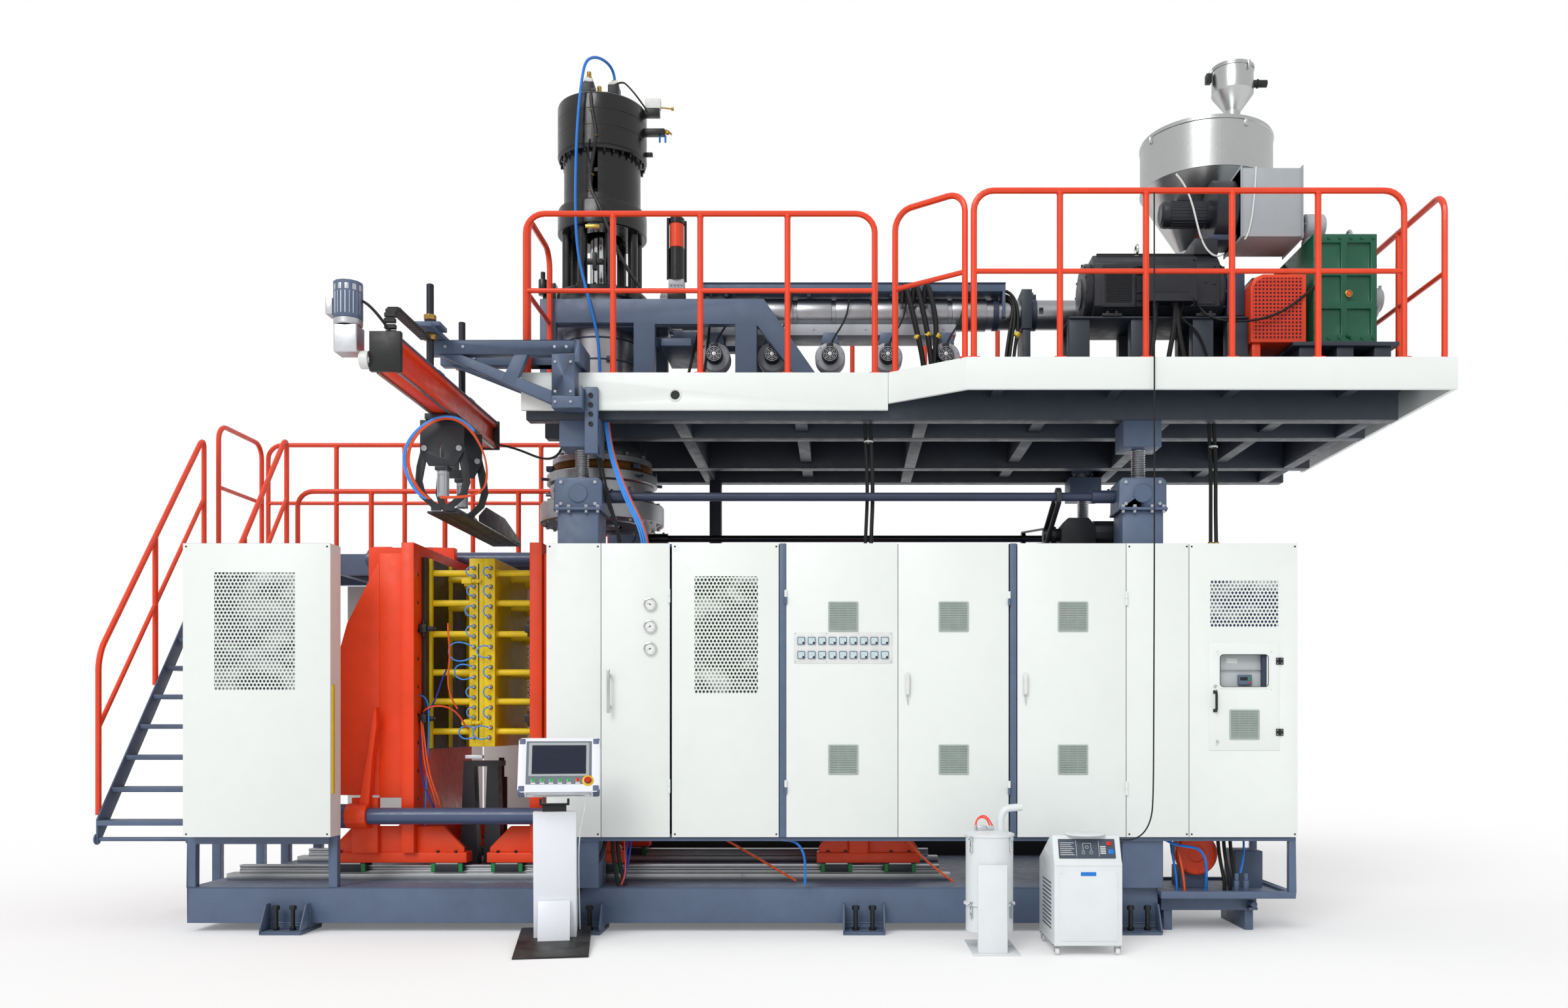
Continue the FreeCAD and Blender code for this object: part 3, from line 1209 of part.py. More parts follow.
def gearbox():
    """The ribbed reduction gearbox, with pockets between its ribs, an oil pump and a fan."""
    low = "screw_axis_z - 478"
    high = 773
    case = Body(("gearbox_left", 300, low))
    case.pad("XZ", [rectangle("0", "0", "gearbox_len", high)], 1150)
    nose = Body(("gearbox_left", 880, low))
    reach = "(gearbox_left - extruder_end)"
    nose.pad("XZ", [[(0, 200), (0, high), (f"-{reach} * 0.36", f"{high} - 90"), (f"-{reach}", f"{high} - 110"),
                     (f"-{reach}", 200)]], 570)
    cells = [rectangle(f"30 + {i} * (gearbox_len - 30) / 2", f"60 + {j} * 235", "(gearbox_len - 120) / 2", "180")
             for i in range(2) for j in range(3)]
    case.pocket("XZ", cells, 24)
    pieces = [case.body, nose.body]
    pieces.append(rod("z", ("gearbox_left + 90", 520, f"{low} + {high}"), 90, 40))
    pieces.append(rod("x", ("gearbox_left + 0", 520, f"{low} + {high} + 130"), 90, 150))
    pieces.append(ring("x", ("gearbox_left + 340", 520, f"{low} + {high} + 58"), 58, 36, 24))
    pieces.append(rod("x", ("gearbox_left + gearbox_len", 560, f"{low} + 380"), 120, 40))
    pieces.append(rod("x", ("gearbox_left + gearbox_len + 40", 560, f"{low} + 380"), 90, 90))
    return node("gearbox", *pieces)


# ---------------------------------------------------------------- take-out robot

def robot_arm():
    """The welded arm in front of the platform's left end, with the two rods that hang the beam."""
    x = "robot_x"
    end = "jack_left - 140"
    front = -130
    reach = f"{end} + 156 - (robot_x - 60)"
    pieces = [
        box((f"{x} - 60", front, 3955), (reach, 95, 95)),
        box((f"{x} - 60", 140, 3955), (reach, 95, 95)),
        box((f"{end} + 156", front, 3900), (34, 365, 150)),
        box((end, front, 3670), (156, 130, 285)),
        box((end, 140, "deck_top"), (156, 95, "3955 - deck_top")),
        box((end, front, 3590), (190, 130, 80)),
        box((f"{end} + 206", f"{front} + 85", 3300), (90, 45, 454)),
        box((f"{end} + 190", f"{front}", 3590), (16, 130, 150)),
        box(("jack_left + 133", 0, 3300), (23, 200, 254)),
    ]
    braces = [(front + 10, [(0, 3955), (f"{end} - robot_x - 10", 3620), (f"{end} - robot_x - 10", 3710), (150, 3955)]),
              (150, [(0, 3955), ("deck_left - robot_x + 10", 3738), ("deck_left - robot_x + 10", 3812), (150, 3955)])]
    for y, profile in braces:
        brace = Body((f"{x} + 10", y, 0))
        brace.pad("XZ", [profile], 75 if y < 0 else 30)
        pieces.append(brace.body)
    pieces.append(box((f"{x} - 60", -420, 4050), (120, 1020, 30)))
    pieces.append(box((f"{x} - 90", -340, 4080), (180, 160, 30)))
    for y in (-260, 450):
        pieces.append(rod("z", (x, y, "beam_z + 215"), 24, "4050 - beam_z - 215"))
        pieces.append(rod("z", (x, y, 4110 if y < 0 else 4080), 24, 270))
        pieces.append(box((f"{x} - 80", f"{y} - 60", "beam_z + 200"), (160, 120, 15)))
    return node("robot_arm", *pieces)


def robot_beam():
    """The traverse beam with its guide, end plates, geared motor, belt wheel and cable chain."""
    x = "robot_x"
    section = Body((f"{x} - 80", "beam_start", "beam_z"))
    section.pad("XZ", [[(0, 0), (160, 0), (160, 30), (125, 40), (125, 150), (160, 160), (160, 190), (0, 190),
                        (0, 160), (35, 150), (35, 40), (0, 30)]], "beam_end - beam_start")
    pieces = [section.body]
    pieces.append(box((f"{x} - 90", "beam_start + 20", "beam_z + 190"), (180, "beam_end - beam_start - 40", 10)))
    pieces.append(box((f"{x} - 95", "beam_start - 40", "beam_z - 10"), (190, 40, 240)))
    pieces.append(box((f"{x} - 95", "beam_end", "beam_z - 10"), (190, 25, 220)))
    pieces.append(rod("x", (f"{x} - 150", "beam_start - 20", "beam_z + 60"), 54, 55))
    pieces.append(box((f"{x} - 290", "beam_start - 90", "beam_z + 90"), (140, 130, 170)))
    pieces.append(rod("z", (f"{x} - 225", "beam_start - 25", "beam_z + 260"), 76, 40))
    pieces.append(rod("z", (f"{x} - 225", "beam_start - 25", "beam_z + 300"), 86, 220))
    pieces.append(box((f"{x} - 345", "beam_start - 75", "beam_z + 320"), (34, 110, 110)))
    arc_low = Vector(0, size("beam_start") + 40, size("beam_z") + 201)
    loop_r = 100
    outer = [Vector(0, arc_low.y + 60, arc_low.z), Vector(0, arc_low.y - 40, arc_low.z + loop_r + 5),
             Vector(0, arc_low.y + 60, arc_low.z + 2 * loop_r + 10)]
    inner = [Vector(0, arc_low.y + 60, arc_low.z + 25), Vector(0, arc_low.y - 15, arc_low.z + loop_r + 5),
             Vector(0, arc_low.y + 60, arc_low.z + 2 * loop_r - 15)]
    run = Vector(0, 560, 0)
    edges = [Part.Arc(*outer).toShape(), Part.LineSegment(outer[2], outer[2] + run).toShape(),
             Part.LineSegment(outer[2] + run, inner[2] + run).toShape(), Part.LineSegment(inner[2] + run, inner[2]).toShape(),
             Part.Arc(*reversed(inner)).toShape(), Part.LineSegment(inner[0], outer[0]).toShape()]
    solid = Part.Face(Part.Wire(Part.__sortEdges__(edges))).extrude(Vector(70, 0, 0))
    pieces.append(shaped(solid, (f"{x} - 20", "0", "0")))
    return node("robot_beam", *pieces)


grip_z = "beam_z - 240"


def gripper():
    """The gripper's carriage with its hanging plates and cylinders, and the two pivoting jaws."""
    x = "robot_x"
    pieces = [box((f"{x} - 110", "grip_y - 40", "beam_z - 45"), (220, 560, 40))]
    for y in ("grip_y - 15", "grip_y + 425"):
        hanger = Body((x, y, 0))
        hanger.pad("XZ", [rounded(-120, grip_z, 12, 8), rounded(120, grip_z, 12, 8), [(-150, "beam_z - 45"), (150, "beam_z - 45"), (150, f"{grip_z} - 20"), (90, f"{grip_z} - 120"),
                           (-90, f"{grip_z} - 120"), (-150, f"{grip_z} - 20")]], 14,
                   )
        slot = box((f"{x} - 15", f"{y} - 1", f"{grip_z} - 60"), (30, 16, 90))
        pieces.append(cut(hanger.body, slot))
        for side in (-120, 120):
            pieces.append(rod("y", (f"{x} + {side}", f"{y} - 8", grip_z), 11.5, 8))
        pieces.append(box((f"{x} - 38", f"{y} - 10", f"{grip_z} - 330"), (76, 80, 180)))
        pieces.append(box((f"{x} - 45", f"{y} - 12", f"{grip_z} - 150"), (90, 84, 30)))
    node("gripper_carriage", *pieces)
    for label, side in (("jaw_left", -1), ("jaw_right", 1)):
        parts = []
        for y in ("grip_y + 1", "grip_y + 441"):
            jaw = Body((f"{x} + {side} * 120", y, grip_z))
            outline = [(-25, 20), (25, 20), (60, -120), (70, -230), (40, -330), (-40, -400), (-40, -425), (-110, -425),
                       (-112, -395), (-60, -360), (0, -300), (20, -220), (0, -120)]
            jaw.pad("XZ", [[(f"{side} * ({a})", b) for a, b in outline]], 14)
            parts.append(jaw.body)
        blade_x = "2" if side > 0 else "-112"
        parts.append(box((f"{x} + {blade_x}", "grip_y + 20", f"{grip_z} - 440"), (110, 1650, 15)))
        flange = Body((f"{x} + {side} * 112", "grip_y + 20", f"{grip_z} - 440"))
        flange.pad("YZ", [[(460, 15), (1650, 15), (1560, 60), (1150, 150), (640, 150), (460, 60)]], 8)
        parts.append(flange.body)
        node(label, *parts)


# ---------------------------------------------------------------- stairs and walkway

def stairs():
    """The steep stair with its treads, and the walkway that it climbs to."""
    rise = "(walk_z - stair_foot_z)"
    run = "(walk_front - stair_foot_y)"
    pieces = []
    for x in ("stair_left", "stair_right - plate_thick"):
        stringer = Body((x, "stair_foot_y", "stair_foot_z"))
        stringer.pad("YZ", [[(0, 0), (0, -170), (30, -180), (run, f"{rise} - 192"), (run, rise)]], "plate_thick")
        pieces.append(stringer.body)
    inner = "stair_right - stair_left - 2 * plate_thick"
    for i in range(int(size("treads"))):
        share = f"{i} / treads"
        z = f"stair_foot_z - 45 + {rise} * {share} * 0.975"
        y = f"stair_foot_y - 13 + {run} * {share}"
        pieces.append(box(("stair_left + plate_thick", y, z), (inner, 195, 36)))
    pieces.append(rod("x", ("stair_left + plate_thick", "stair_foot_y + 25", "stair_foot_z - 144"), 16, inner))
    for x in ("stair_left - 12", "stair_right"):
        pieces.append(rod("x", (x, "stair_foot_y + 25", "stair_foot_z - 144"), 42, 12))
    left = "stair_left"
    wide = "walk_right - stair_left"
    pieces.append(box((left, "walk_front", "walk_z - 6"), (wide, "walk_rear - walk_front", 6)))
    for y in ("walk_front", "walk_rear - 70"):
        pieces.append(box((left, y, "walk_z - 176"), (wide, 70, 170)))
    for i in range(4):
        x = f"{left} + {i} * ({wide} - 70) / 3"
        pieces.append(box((x, "walk_front + 70", "walk_z - 176"), (70, "walk_rear - walk_front - 140", 170)))
    for i in range(3):
        x = f"{left} + {i} * ({wide} - 70) / 2"
        pieces.append(box((x, "walk_rear - 70", 12), (70, 70, "walk_z - 188")))
        pieces.append(box((f"{x} - 50", "walk_rear - 120", 0), (170, 170, 12)))
    for i in range(2):
        pieces.append(box((f"beam_left + {i} * 2000", "beam_rear - 70", "beam_high"),
                          (70, 70, "walk_z - 176 - beam_high")))
    for x in ("stair_left", "stair_right - 70"):
        pieces.append(box((x, "walk_front", 12), (70, 70, "walk_z - 188")))
        pieces.append(box((f"{x} - 50", "walk_front - 50", 0), (170, 170, 12)))
    return node("stairs", *pieces)


def sloped_rail(x):
    """One side's handrail up the stair: end posts, a middle post and two sloped tubes."""
    r = size("rail_tube_r")
    foot_y = size("stair_foot_y")
    foot_z = size("stair_foot_z")
    slope = (size("walk_z") - foot_z) / (size("walk_front") - foot_y)
    near = foot_y + 68
    far = size("walk_front") - 91
    middle = (near + far) / 2

    def spot(y, up):
        return Vector(x, y, foot_z + (y - foot_y) * slope + up)

    tall = 1100
    solids = bent_tube([spot(near, -60), spot(near, tall - 60), spot(near + 40, tall), spot(far - 54, tall),
                        spot(far, tall - 90), spot(far, -60)], r, 6)
    for p in (middle,):
        solids.append(bar_between(spot(p, -60), spot(p, tall - r / math.cos(math.atan(slope)) * 1.02), r,
                                  None, Vector(0, -slope, 1), 6))
    for p, q in ((near, middle), (middle, far)):
        level = tall * 0.52
        upright = Vector(0, 1, 0)
        solids.append(bar_between(spot(p + r, level), spot(q - r, level), r * 0.8, upright, upright, 6))
    return solids


def access_rails():
    """The handrails of the stair and of the walkway behind the machine."""
    z = size("walk_z")
    left = size("stair_left") + 40
    right = size("walk_right") - 60
    front = size("walk_front") + 35
    rear = size("walk_rear") - 43
    r = size("rail_tube_r")
    solids = sloped_rail(size("stair_left") - r) + sloped_rail(size("stair_right") + r)
    solids += railing((left, front, z), (left, rear, z), [])
    long = right - left - 60
    solids += railing((left + 60, rear, z), (right, rear, z), [long * k / 5 for k in (1, 2, 3, 4)])
    start = size("stair_right") + 60
    long = right - start
    solids += railing((start, front, z), (right, front, z), [long * k / 4 for k in (1, 2, 3)], 560, False)
    return node("access_rails", tube_group(solids))


# ---------------------------------------------------------------- hydraulic bay

def hydraulic_bay():
    """The open tray under the end cabinet, with its tank, motor, hose fittings and drain valve."""
    left = "beam_left + beam_len"
    wide = f"{end_left} + end_panel_wide - ({left})"
    pieces = [
        box((left, "beam_front - 90", 242), (wide, 48, 48)),
        box((left, 850, 242), (wide, 48, 48)),
        box((f"{left} + {wide} - 48", "beam_front - 90", 290), (48, 48, "panel_low - 320")),
        box((f"{left} + {wide} - 48", 850, 290), (48, 48, "panel_low - 290")),
        box((f"{left} + {wide} - 48", "beam_front - 42", 242), (48, "850 - beam_front + 42", 48)),
        box((left, "beam_front - 42", 262), (f"{wide} - 48", "850 - beam_front + 42", 10)),
        box((f"{left} + 40", 190, 140), (f"{wide} - 260", 600, 122)),
        box((f"{left} + {wide} - 300", 420, 272), (200, 260, 260)),
    ]
    for x in (f"{left} + 60", f"{left} + {wide} - 300"):
        pieces.append(box((x, 200, 0), (60, 560, 140)))
    pieces.append(rod("y", (f"{left} + 330", 330, 520), 150, 30))
    pieces.append(rod("y", (f"{left} + 330", 360, 520), 105, 300))
    pieces.append(box((f"{left} + 230", 400, 272), (200, 240, 143)))
    for x in (f"{left} + 560", f"{left} + 625"):
        pieces.append(rod("z", (x, 160, 272), 20, 80))
        pieces.append(rod("z", (x, 160, 352), 15, 50))
    pieces.append(rod("y", (f"{left} + {wide} - 260", 110, 190), 22, 80))
    pieces.append(box((f"{left} + {wide} - 290", 130, 148), (60, 60, 20)))
    return node("hydraulic_bay", *pieces)


# ---------------------------------------------------------------- operator's pendant

lean = Rotation(Vector(0, 0, 1), 10)
corner = (-2022, -930)


def stand_spot(across, back, z):
    """A place on the pendant's stand, from the front left corner of its base along its own axes."""
    turn = math.radians(10)
    x = corner[0] + across * math.cos(turn) - back * math.sin(turn)
    y = corner[1] + across * math.sin(turn) + back * math.cos(turn)
    return (round(x, 1), round(y, 1), z)


def pendant():
    """The free-standing operator's stand: sloped base, leaning column, bracket, and tilting screen box."""
    base = Body(stand_spot(0, 0, 0), lean)
    base.pad("YZ", [[(0, 0), (825, 0), (825, 67), (745, 67), (0, 12)]], 463)
    column = Body(stand_spot(100, 0, 0), lean)
    column.pad("YZ", [[(488, 48.1), (745, 67.1), (810, 67.1), (521, 878), (421, 878)]], 275)
    plate = Body(stand_spot(130, 0, 0), lean)
    plate.pad("YZ", [[(393, 41.1), (430, 43.8), (463, 270), (463, 296), (447, 296)]], 205)
    neck = box(stand_spot(160, 425, 878), (150, 80, 40), lean)
    cheeks = [box(stand_spot(at, 435, 918), (14, 60, 42), lean) for at in (140, 316)]
    bar = box(stand_spot(140, 435, 918), (190, 60, 12), lean)
    node("pendant_stand", base.body, column.body, plate.body, neck, fuse(bar, *cheeks))
    tilt = lean.multiply(Rotation(Vector(1, 0, 0), -24))
    head = Body(("pendant_x - 70", "pendant_y - 110", 1015), tilt)
    head.pad("XZ", [[(14, 0), (500, 0), (514, 14), (514, 360), (500, 374), (14, 374), (0, 360), (0, 14)]], 100)
    head.pocket("XZ", [rectangle("72", "118", "370", "222")], 6)
    parts = [head.body]
    for i in range(6):
        button = made("Prism", Circumradius=11, Height=14)
        button.Polygon = 12
        parts.append(on_face(button, head_place(tilt), 96 + 56 * i, 72))
    node("pendant_head", *parts)
    stop = made("Prism", Circumradius=19, Height=20)
    stop.Polygon = 24
    node("stop_button", on_face(stop, head_place(tilt), 440, 76, 5))


def head_place(tilt):
    origin = Vector(size("middle_x") + size("pendant_x") - 70, size("middle_y") + size("pendant_y") - 110, 1015)
    return FreeCAD.Placement(origin, tilt)


def on_face(piece, face, across, up, clear=0):
    """Sets a round piece on the front face of the tilted screen box."""
    spot = FreeCAD.Placement(Vector(across, -clear, up), Rotation(Vector(1, 0, 0), 90))
    piece.Placement = face.multiply(spot)
    return piece


# ---------------------------------------------------------------- material loader

def loader():
    """The loader box with its sloped control face and lid, and the filter canister on its stand."""
    x, y = "loader_x", "loader_y"
    body = Body((f"{x} - 212", y, 0))
    body.pad("YZ", [[(0, 62), (600, 62), (600, 560), (150, 745), (90, 745), (25, 600), (0, 575)]], 425)
    lid = rod("z", (x, f"{y} + 120", 745), 28, 14)
    node_parts = [body.body, lid]
    for i in range(4):
        fx = f"{x} - 190 + {(i % 2) * 380}"
        fy = f"{y} + {40 + (i // 2) * 500}"
        node_parts.append(box((f"{fx} - 26", f"{fy} - 24", 56), (52, 48, 6)))
        for side in (-20, 14):
            node_parts.append(box((f"{fx} + {side}", f"{fy} - 12", 20), (6, 24, 36)))
        wheel = rod("x", (f"{fx} - 13.5", f"{fy}", 24), 24, 27, 24)
        node(f"caster_wheel_{i + 1}", wheel)
    fx, fy = "filter_x", "filter_y"
    can = stack((fx, fy), [(152, 119, 745), (120, 745, 766)])
    stand = Body((f"{fx} - 92", f"{fy} - 192", 0))
    stand.pad("YZ", [[(0, 8), (60, 8), (60, 90), (36, 116), (36, 560), (16, 560), (16, 300)]], 185)
    base = box((f"{fx} - 130", f"{fy} - 240", 0), (300, 560, 8))
    leg = box((f"{fx} - 60", f"{fy} - 80", 8), (120, 160, 111))
    top = [rod("z", (f"{fx} + 70", fy, 766), 24, 44)]
    bends = [Vector(0, 0, 0), Vector(0, 0, 30), Vector(30, 0, 75), Vector(90, 0, 95), Vector(140, 0, 105)]
    elbow = shaped(Part.Compound(bent_tube(bends, 24)), (f"{fx} + 70", fy, 810))
    for side in (-40, 0):
        top.append(rod("z", (f"{fx} + {side}", f"{fy} - 20", 766), 10, 40))
    brace = box((f"{fx} - 20", f"{fy} - 156", 500), (40, 3, 40))
    node_parts += [*can, stand.body, base, leg, brace, *top, elbow]
    node("loader", *node_parts)


# ---------------------------------------------------------------- hoses and cables

def cord(points, radius):
    return shaped(tube_path(points, radius, None))


cords = {
    "loader_cable": (5, [(2055, -400, 4935), (2058, -400, 3000), (2052, -400, 1500), (2050, -398, 950),
                         (2035, -400, 820), (1985, -412, 730), (1905, -440, 690), (1815, -470, 695),
                         (1762, -480, 700)]),
    "pendant_cable": (4, [stand_spot(442.7, 307.1, 992.6), stand_spot(440, 312, 945), stand_spot(425, 345, 860),
                          stand_spot(402, 410, 760), stand_spot(390, 470, 640), stand_spot(388, 530, 500),
                          stand_spot(388, 595, 330), stand_spot(390, 650, 180), stand_spot(392, 690, 68)]),
    "head_hose": (11, [(-1768, 1190, 6471), (-1769, 1186, 6532), (-1790, 1130, 6590), (-1840, 1040, 6600),
                       (-1890, 940, 6560), (-1930, 856, 6470), (-1948, 818, 6320), (-1975, 808, 6050),
                       (-1992, 806, 5700), (-1996, 804, 5300), (-1978, 798, 5000), (-1930, 788, 4780),
                       (-1870, 773, 4560), (-1815, 763, 4330), (-1802, 758, 4100), (-1800, 758, 3867)]),
    "platen_hose": (6, [(-3094, 585, 1660), (-3060, 583, 1656), (-3024, 578, 1600), (-3018, 570, 1440),
                        (-3022, 560, 1230), (-3030, 552, 1030), (-3035, 547, 860), (-3038, 545, 704)]),
    "cabinet_cable_left": (14, [(200, 262, 3843), (206, 265, 3600), (222, 272, 3300), (226, 274, 3020),
                                (216, 270, 2820), (214, 268, 2692)]),
    "cabinet_cable_right": (14, [(2630, 250, 3843), (2636, 252, 3600), (2654, 258, 3300), (2650, 250, 3000),
                                 (2642, 215, 2820), (2640, 200, 2692)]),
}


def hoses():
    for label, (radius, points) in cords.items():
        node(label, cord(points, radius))


floor_frame()
guide_rails()
left_platen()
right_platen()
tail_platen()
clamp_rod()
tie_bars()
mould("mould_left", -1)
mould("mould_right", 1)
blow_unit()
cabinet_shell()
front_panels()
guards()
doors()
jacks()
lift_drive()
lift_shaft("lift_shaft_front", "jack_front")
lift_shaft("lift_shaft_rear", "jack_rear")
lift_screws()
platform_frame()
platform_fascia()
platform_rails()
head_frame()
accumulator_head()
push_cylinder()
ram_and_core()
extruder()
hopper()
main_motor()
belt_guard()
gearbox()
robot_arm()
robot_beam()
gripper()
stairs()
access_rails()
hydraulic_bay()
pendant()
loader()
hoses()

doc.recompute()

for item in doc.Objects:
    if "Invalid" in item.State or "Error" in item.State:
        raise RuntimeError(f"{item.Name} ({item.Label}) failed: {item.State}")

low = Vector(1e9, 1e9, 1e9)
high = Vector(-1e9, -1e9, -1e9)
os.makedirs("parts", exist_ok=True)
for label, piece in nodes.items():
    solid = piece.Shape
    if solid.isNull() or not solid.isValid():
        raise RuntimeError(f"{label} has no valid shape")
    solid.exportStep(f"parts/{label}.step")
    extent = solid.BoundBox
    low = Vector(min(low.x, extent.XMin), min(low.y, extent.YMin), min(low.z, extent.ZMin))
    high = Vector(max(high.x, extent.XMax), max(high.y, extent.YMax), max(high.z, extent.ZMax))

print(f"{len(nodes)} sub-parts, from {low} to {high}")
print(f"cord radii in diameters: {sorted(round(r, 1) for r in radii)}")
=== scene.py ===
import json
import math

import bmesh
import bpy
from mathutils import Matrix, Vector

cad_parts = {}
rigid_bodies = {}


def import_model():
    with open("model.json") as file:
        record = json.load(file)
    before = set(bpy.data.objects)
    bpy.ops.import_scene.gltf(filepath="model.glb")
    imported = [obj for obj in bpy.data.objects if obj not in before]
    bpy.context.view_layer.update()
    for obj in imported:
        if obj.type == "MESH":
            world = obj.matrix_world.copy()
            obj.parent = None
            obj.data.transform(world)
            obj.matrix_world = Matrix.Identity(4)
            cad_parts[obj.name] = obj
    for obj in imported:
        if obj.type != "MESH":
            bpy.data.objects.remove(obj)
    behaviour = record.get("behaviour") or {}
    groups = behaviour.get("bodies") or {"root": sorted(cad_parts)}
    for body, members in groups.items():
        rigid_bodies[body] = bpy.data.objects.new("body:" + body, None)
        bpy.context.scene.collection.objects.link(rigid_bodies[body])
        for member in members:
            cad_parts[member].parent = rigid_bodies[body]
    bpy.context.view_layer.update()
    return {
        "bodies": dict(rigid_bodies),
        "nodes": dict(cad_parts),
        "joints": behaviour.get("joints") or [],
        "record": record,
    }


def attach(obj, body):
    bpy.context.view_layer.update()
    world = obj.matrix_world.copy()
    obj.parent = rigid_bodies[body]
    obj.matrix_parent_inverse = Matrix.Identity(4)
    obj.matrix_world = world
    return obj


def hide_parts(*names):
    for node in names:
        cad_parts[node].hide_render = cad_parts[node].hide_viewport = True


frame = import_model()
nodes = frame["nodes"]
scene = bpy.context.scene

# the machine is drawn in millimetres from this point of the frame, which lies on the cabinets' fronts
line = {"x": 0.6665, "y": -0.9045}
toTop = (0, 0, 1)
toFront = (0, -1, 0)
toRight = (1, 0, 0)


def at(x, y, z):
    # millimetres from the line to metres in the frame
    return Vector((x / 1000 + line["x"], y / 1000 + line["y"], z / 1000))


# camera, floor and light

view = {
    "height": 1453, "distance": 8700, "lens": 29.05, "shiftRight": -0.0363, "shiftUp": 0.1398,
    "sensor": 36, "far": 200, "sky": 0.74, "sun": 1.25, "sunWide": 28, "sunTilt": 52, "sunTurn": -24,
    "floorTone": 0.86, "floorGlow": 0.16, "floorHalf": 60,
}


def setCamera():
    lens = bpy.data.cameras.new("camera")
    lens.lens = view["lens"]
    lens.sensor_width = view["sensor"]
    lens.shift_x = view["shiftRight"]
    lens.shift_y = view["shiftUp"]
    lens.clip_end = view["far"]
    camera = bpy.data.objects.new("camera", lens)
    camera.location = at(0, -view["distance"], view["height"])
    camera.rotation_euler = (math.radians(90), 0, 0)
    scene.collection.objects.link(camera)
    scene.camera = camera


def byRay(tree, kind, other, seen):
    # one shader for camera rays and rays of a second kind, another for all others
    path = tree.nodes.new("ShaderNodeLightPath")
    both = tree.nodes.new("ShaderNodeMath")
    both.operation = "MAXIMUM"
    tree.links.new(path.outputs["Is Camera Ray"], both.inputs[0])
    tree.links.new(path.outputs[kind], both.inputs[1])
    mix = tree.nodes.new("ShaderNodeMixShader")
    tree.links.new(both.outputs[0], mix.inputs[0])
    tree.links.new(other.outputs[0], mix.inputs[1])
    tree.links.new(seen.outputs[0], mix.inputs[2])
    return mix


def setLight():
    world = bpy.data.worlds.new("sky")
    scene.world = world
    world.use_nodes = True
    tree = world.node_tree
    tree.nodes.clear()
    out = tree.nodes.new("ShaderNodeOutputWorld")
    seen = tree.nodes.new("ShaderNodeBackground")
    seen.inputs["Color"].default_value = (1, 1, 1, 1)
    lit = tree.nodes.new("ShaderNodeBackground")
    lit.inputs["Color"].default_value = (1, 1, 1, 1)
    lit.inputs["Strength"].default_value = view["sky"]
    mix = byRay(tree, "Is Transmission Ray", lit, seen)
    tree.links.new(mix.outputs[0], out.inputs[0])
    sun = bpy.data.lights.new("sun", "SUN")
    sun.energy = view["sun"]
    sun.angle = math.radians(view["sunWide"])
    lamp = bpy.data.objects.new("sun", sun)
    lamp.rotation_euler = (math.radians(view["sunTilt"]), 0, math.radians(view["sunTurn"]))
    scene.collection.objects.link(lamp)
    scene.view_settings.view_transform = "Standard"


def setFloor():
    mesh = bpy.data.meshes.new("floor")
    shape = bmesh.new()
    bmesh.ops.create_grid(shape, x_segments=1, y_segments=1, size=view["floorHalf"])
    shape.to_mesh(mesh)
    shape.free()
    floor = bpy.data.objects.new("floor", mesh)
    floor.location.z = -0.001
    scene.collection.objects.link(floor)
    cover = bpy.data.materials.new("floor")
    cover.use_nodes = True
    tree = cover.node_tree
    surface = tree.nodes["Principled BSDF"]
    tone = view["floorTone"]
    surface.inputs["Base Color"].default_value = (tone, tone, tone, 1)
    surface.inputs["Roughness"].default_value = 0.9
    surface.inputs["Specular IOR Level"].default_value = 0.1
    glow = tree.nodes.new("ShaderNodeEmission")
    glow.inputs["Strength"].default_value = view["floorGlow"]
    black = tree.nodes.new("ShaderNodeEmission")
    black.inputs["Strength"].default_value = 0
    mix = byRay(tree, "Is Glossy Ray", black, glow)
    add = tree.nodes.new("ShaderNodeAddShader")
    tree.links.new(surface.outputs[0], add.inputs[0])
    tree.links.new(mix.outputs[0], add.inputs[1])
    tree.links.new(add.outputs[0], tree.nodes["Material Output"].inputs[0])
    mesh.materials.append(cover)


setCamera()
setLight()
setFloor()
print("camera, light and floor set")


# materials

class Signal:
    # one output socket that can be used in Python sums
    def __init__(self, maker, socket):
        self.maker = maker
        self.socket = socket

    def sum(self, operation, first, second):
        return self.maker.node("Math", {"operation": operation}, {0: first, 1: second})

    def __add__(self, other):
        return self.sum("ADD", self, other)

    __radd__ = __add__

    def __sub__(self, other):
        return self.sum("SUBTRACT", self, other)

    def __rsub__(self, other):
        return self.sum("SUBTRACT", other, self)

    def __mul__(self, other):
        return self.sum("MULTIPLY", self, other)

    __rmul__ = __mul__

    def __truediv__(self, other):
        return self.sum("DIVIDE", self, other)

    def apply(self, operation, second=0.0):
        return self.sum(operation, self, second)

    def part(self, index):
        return Signal(self.maker, self.socket.node.outputs[index])


def rgb(red, green, blue):
    # screen colours 0 to 255 to linear
    def linear(v):
        v = v / 255
        return v / 12.92 if v <= 0.04045 else ((v + 0.055) / 1.055) ** 2.4
    return (linear(red), linear(green), linear(blue), 1)


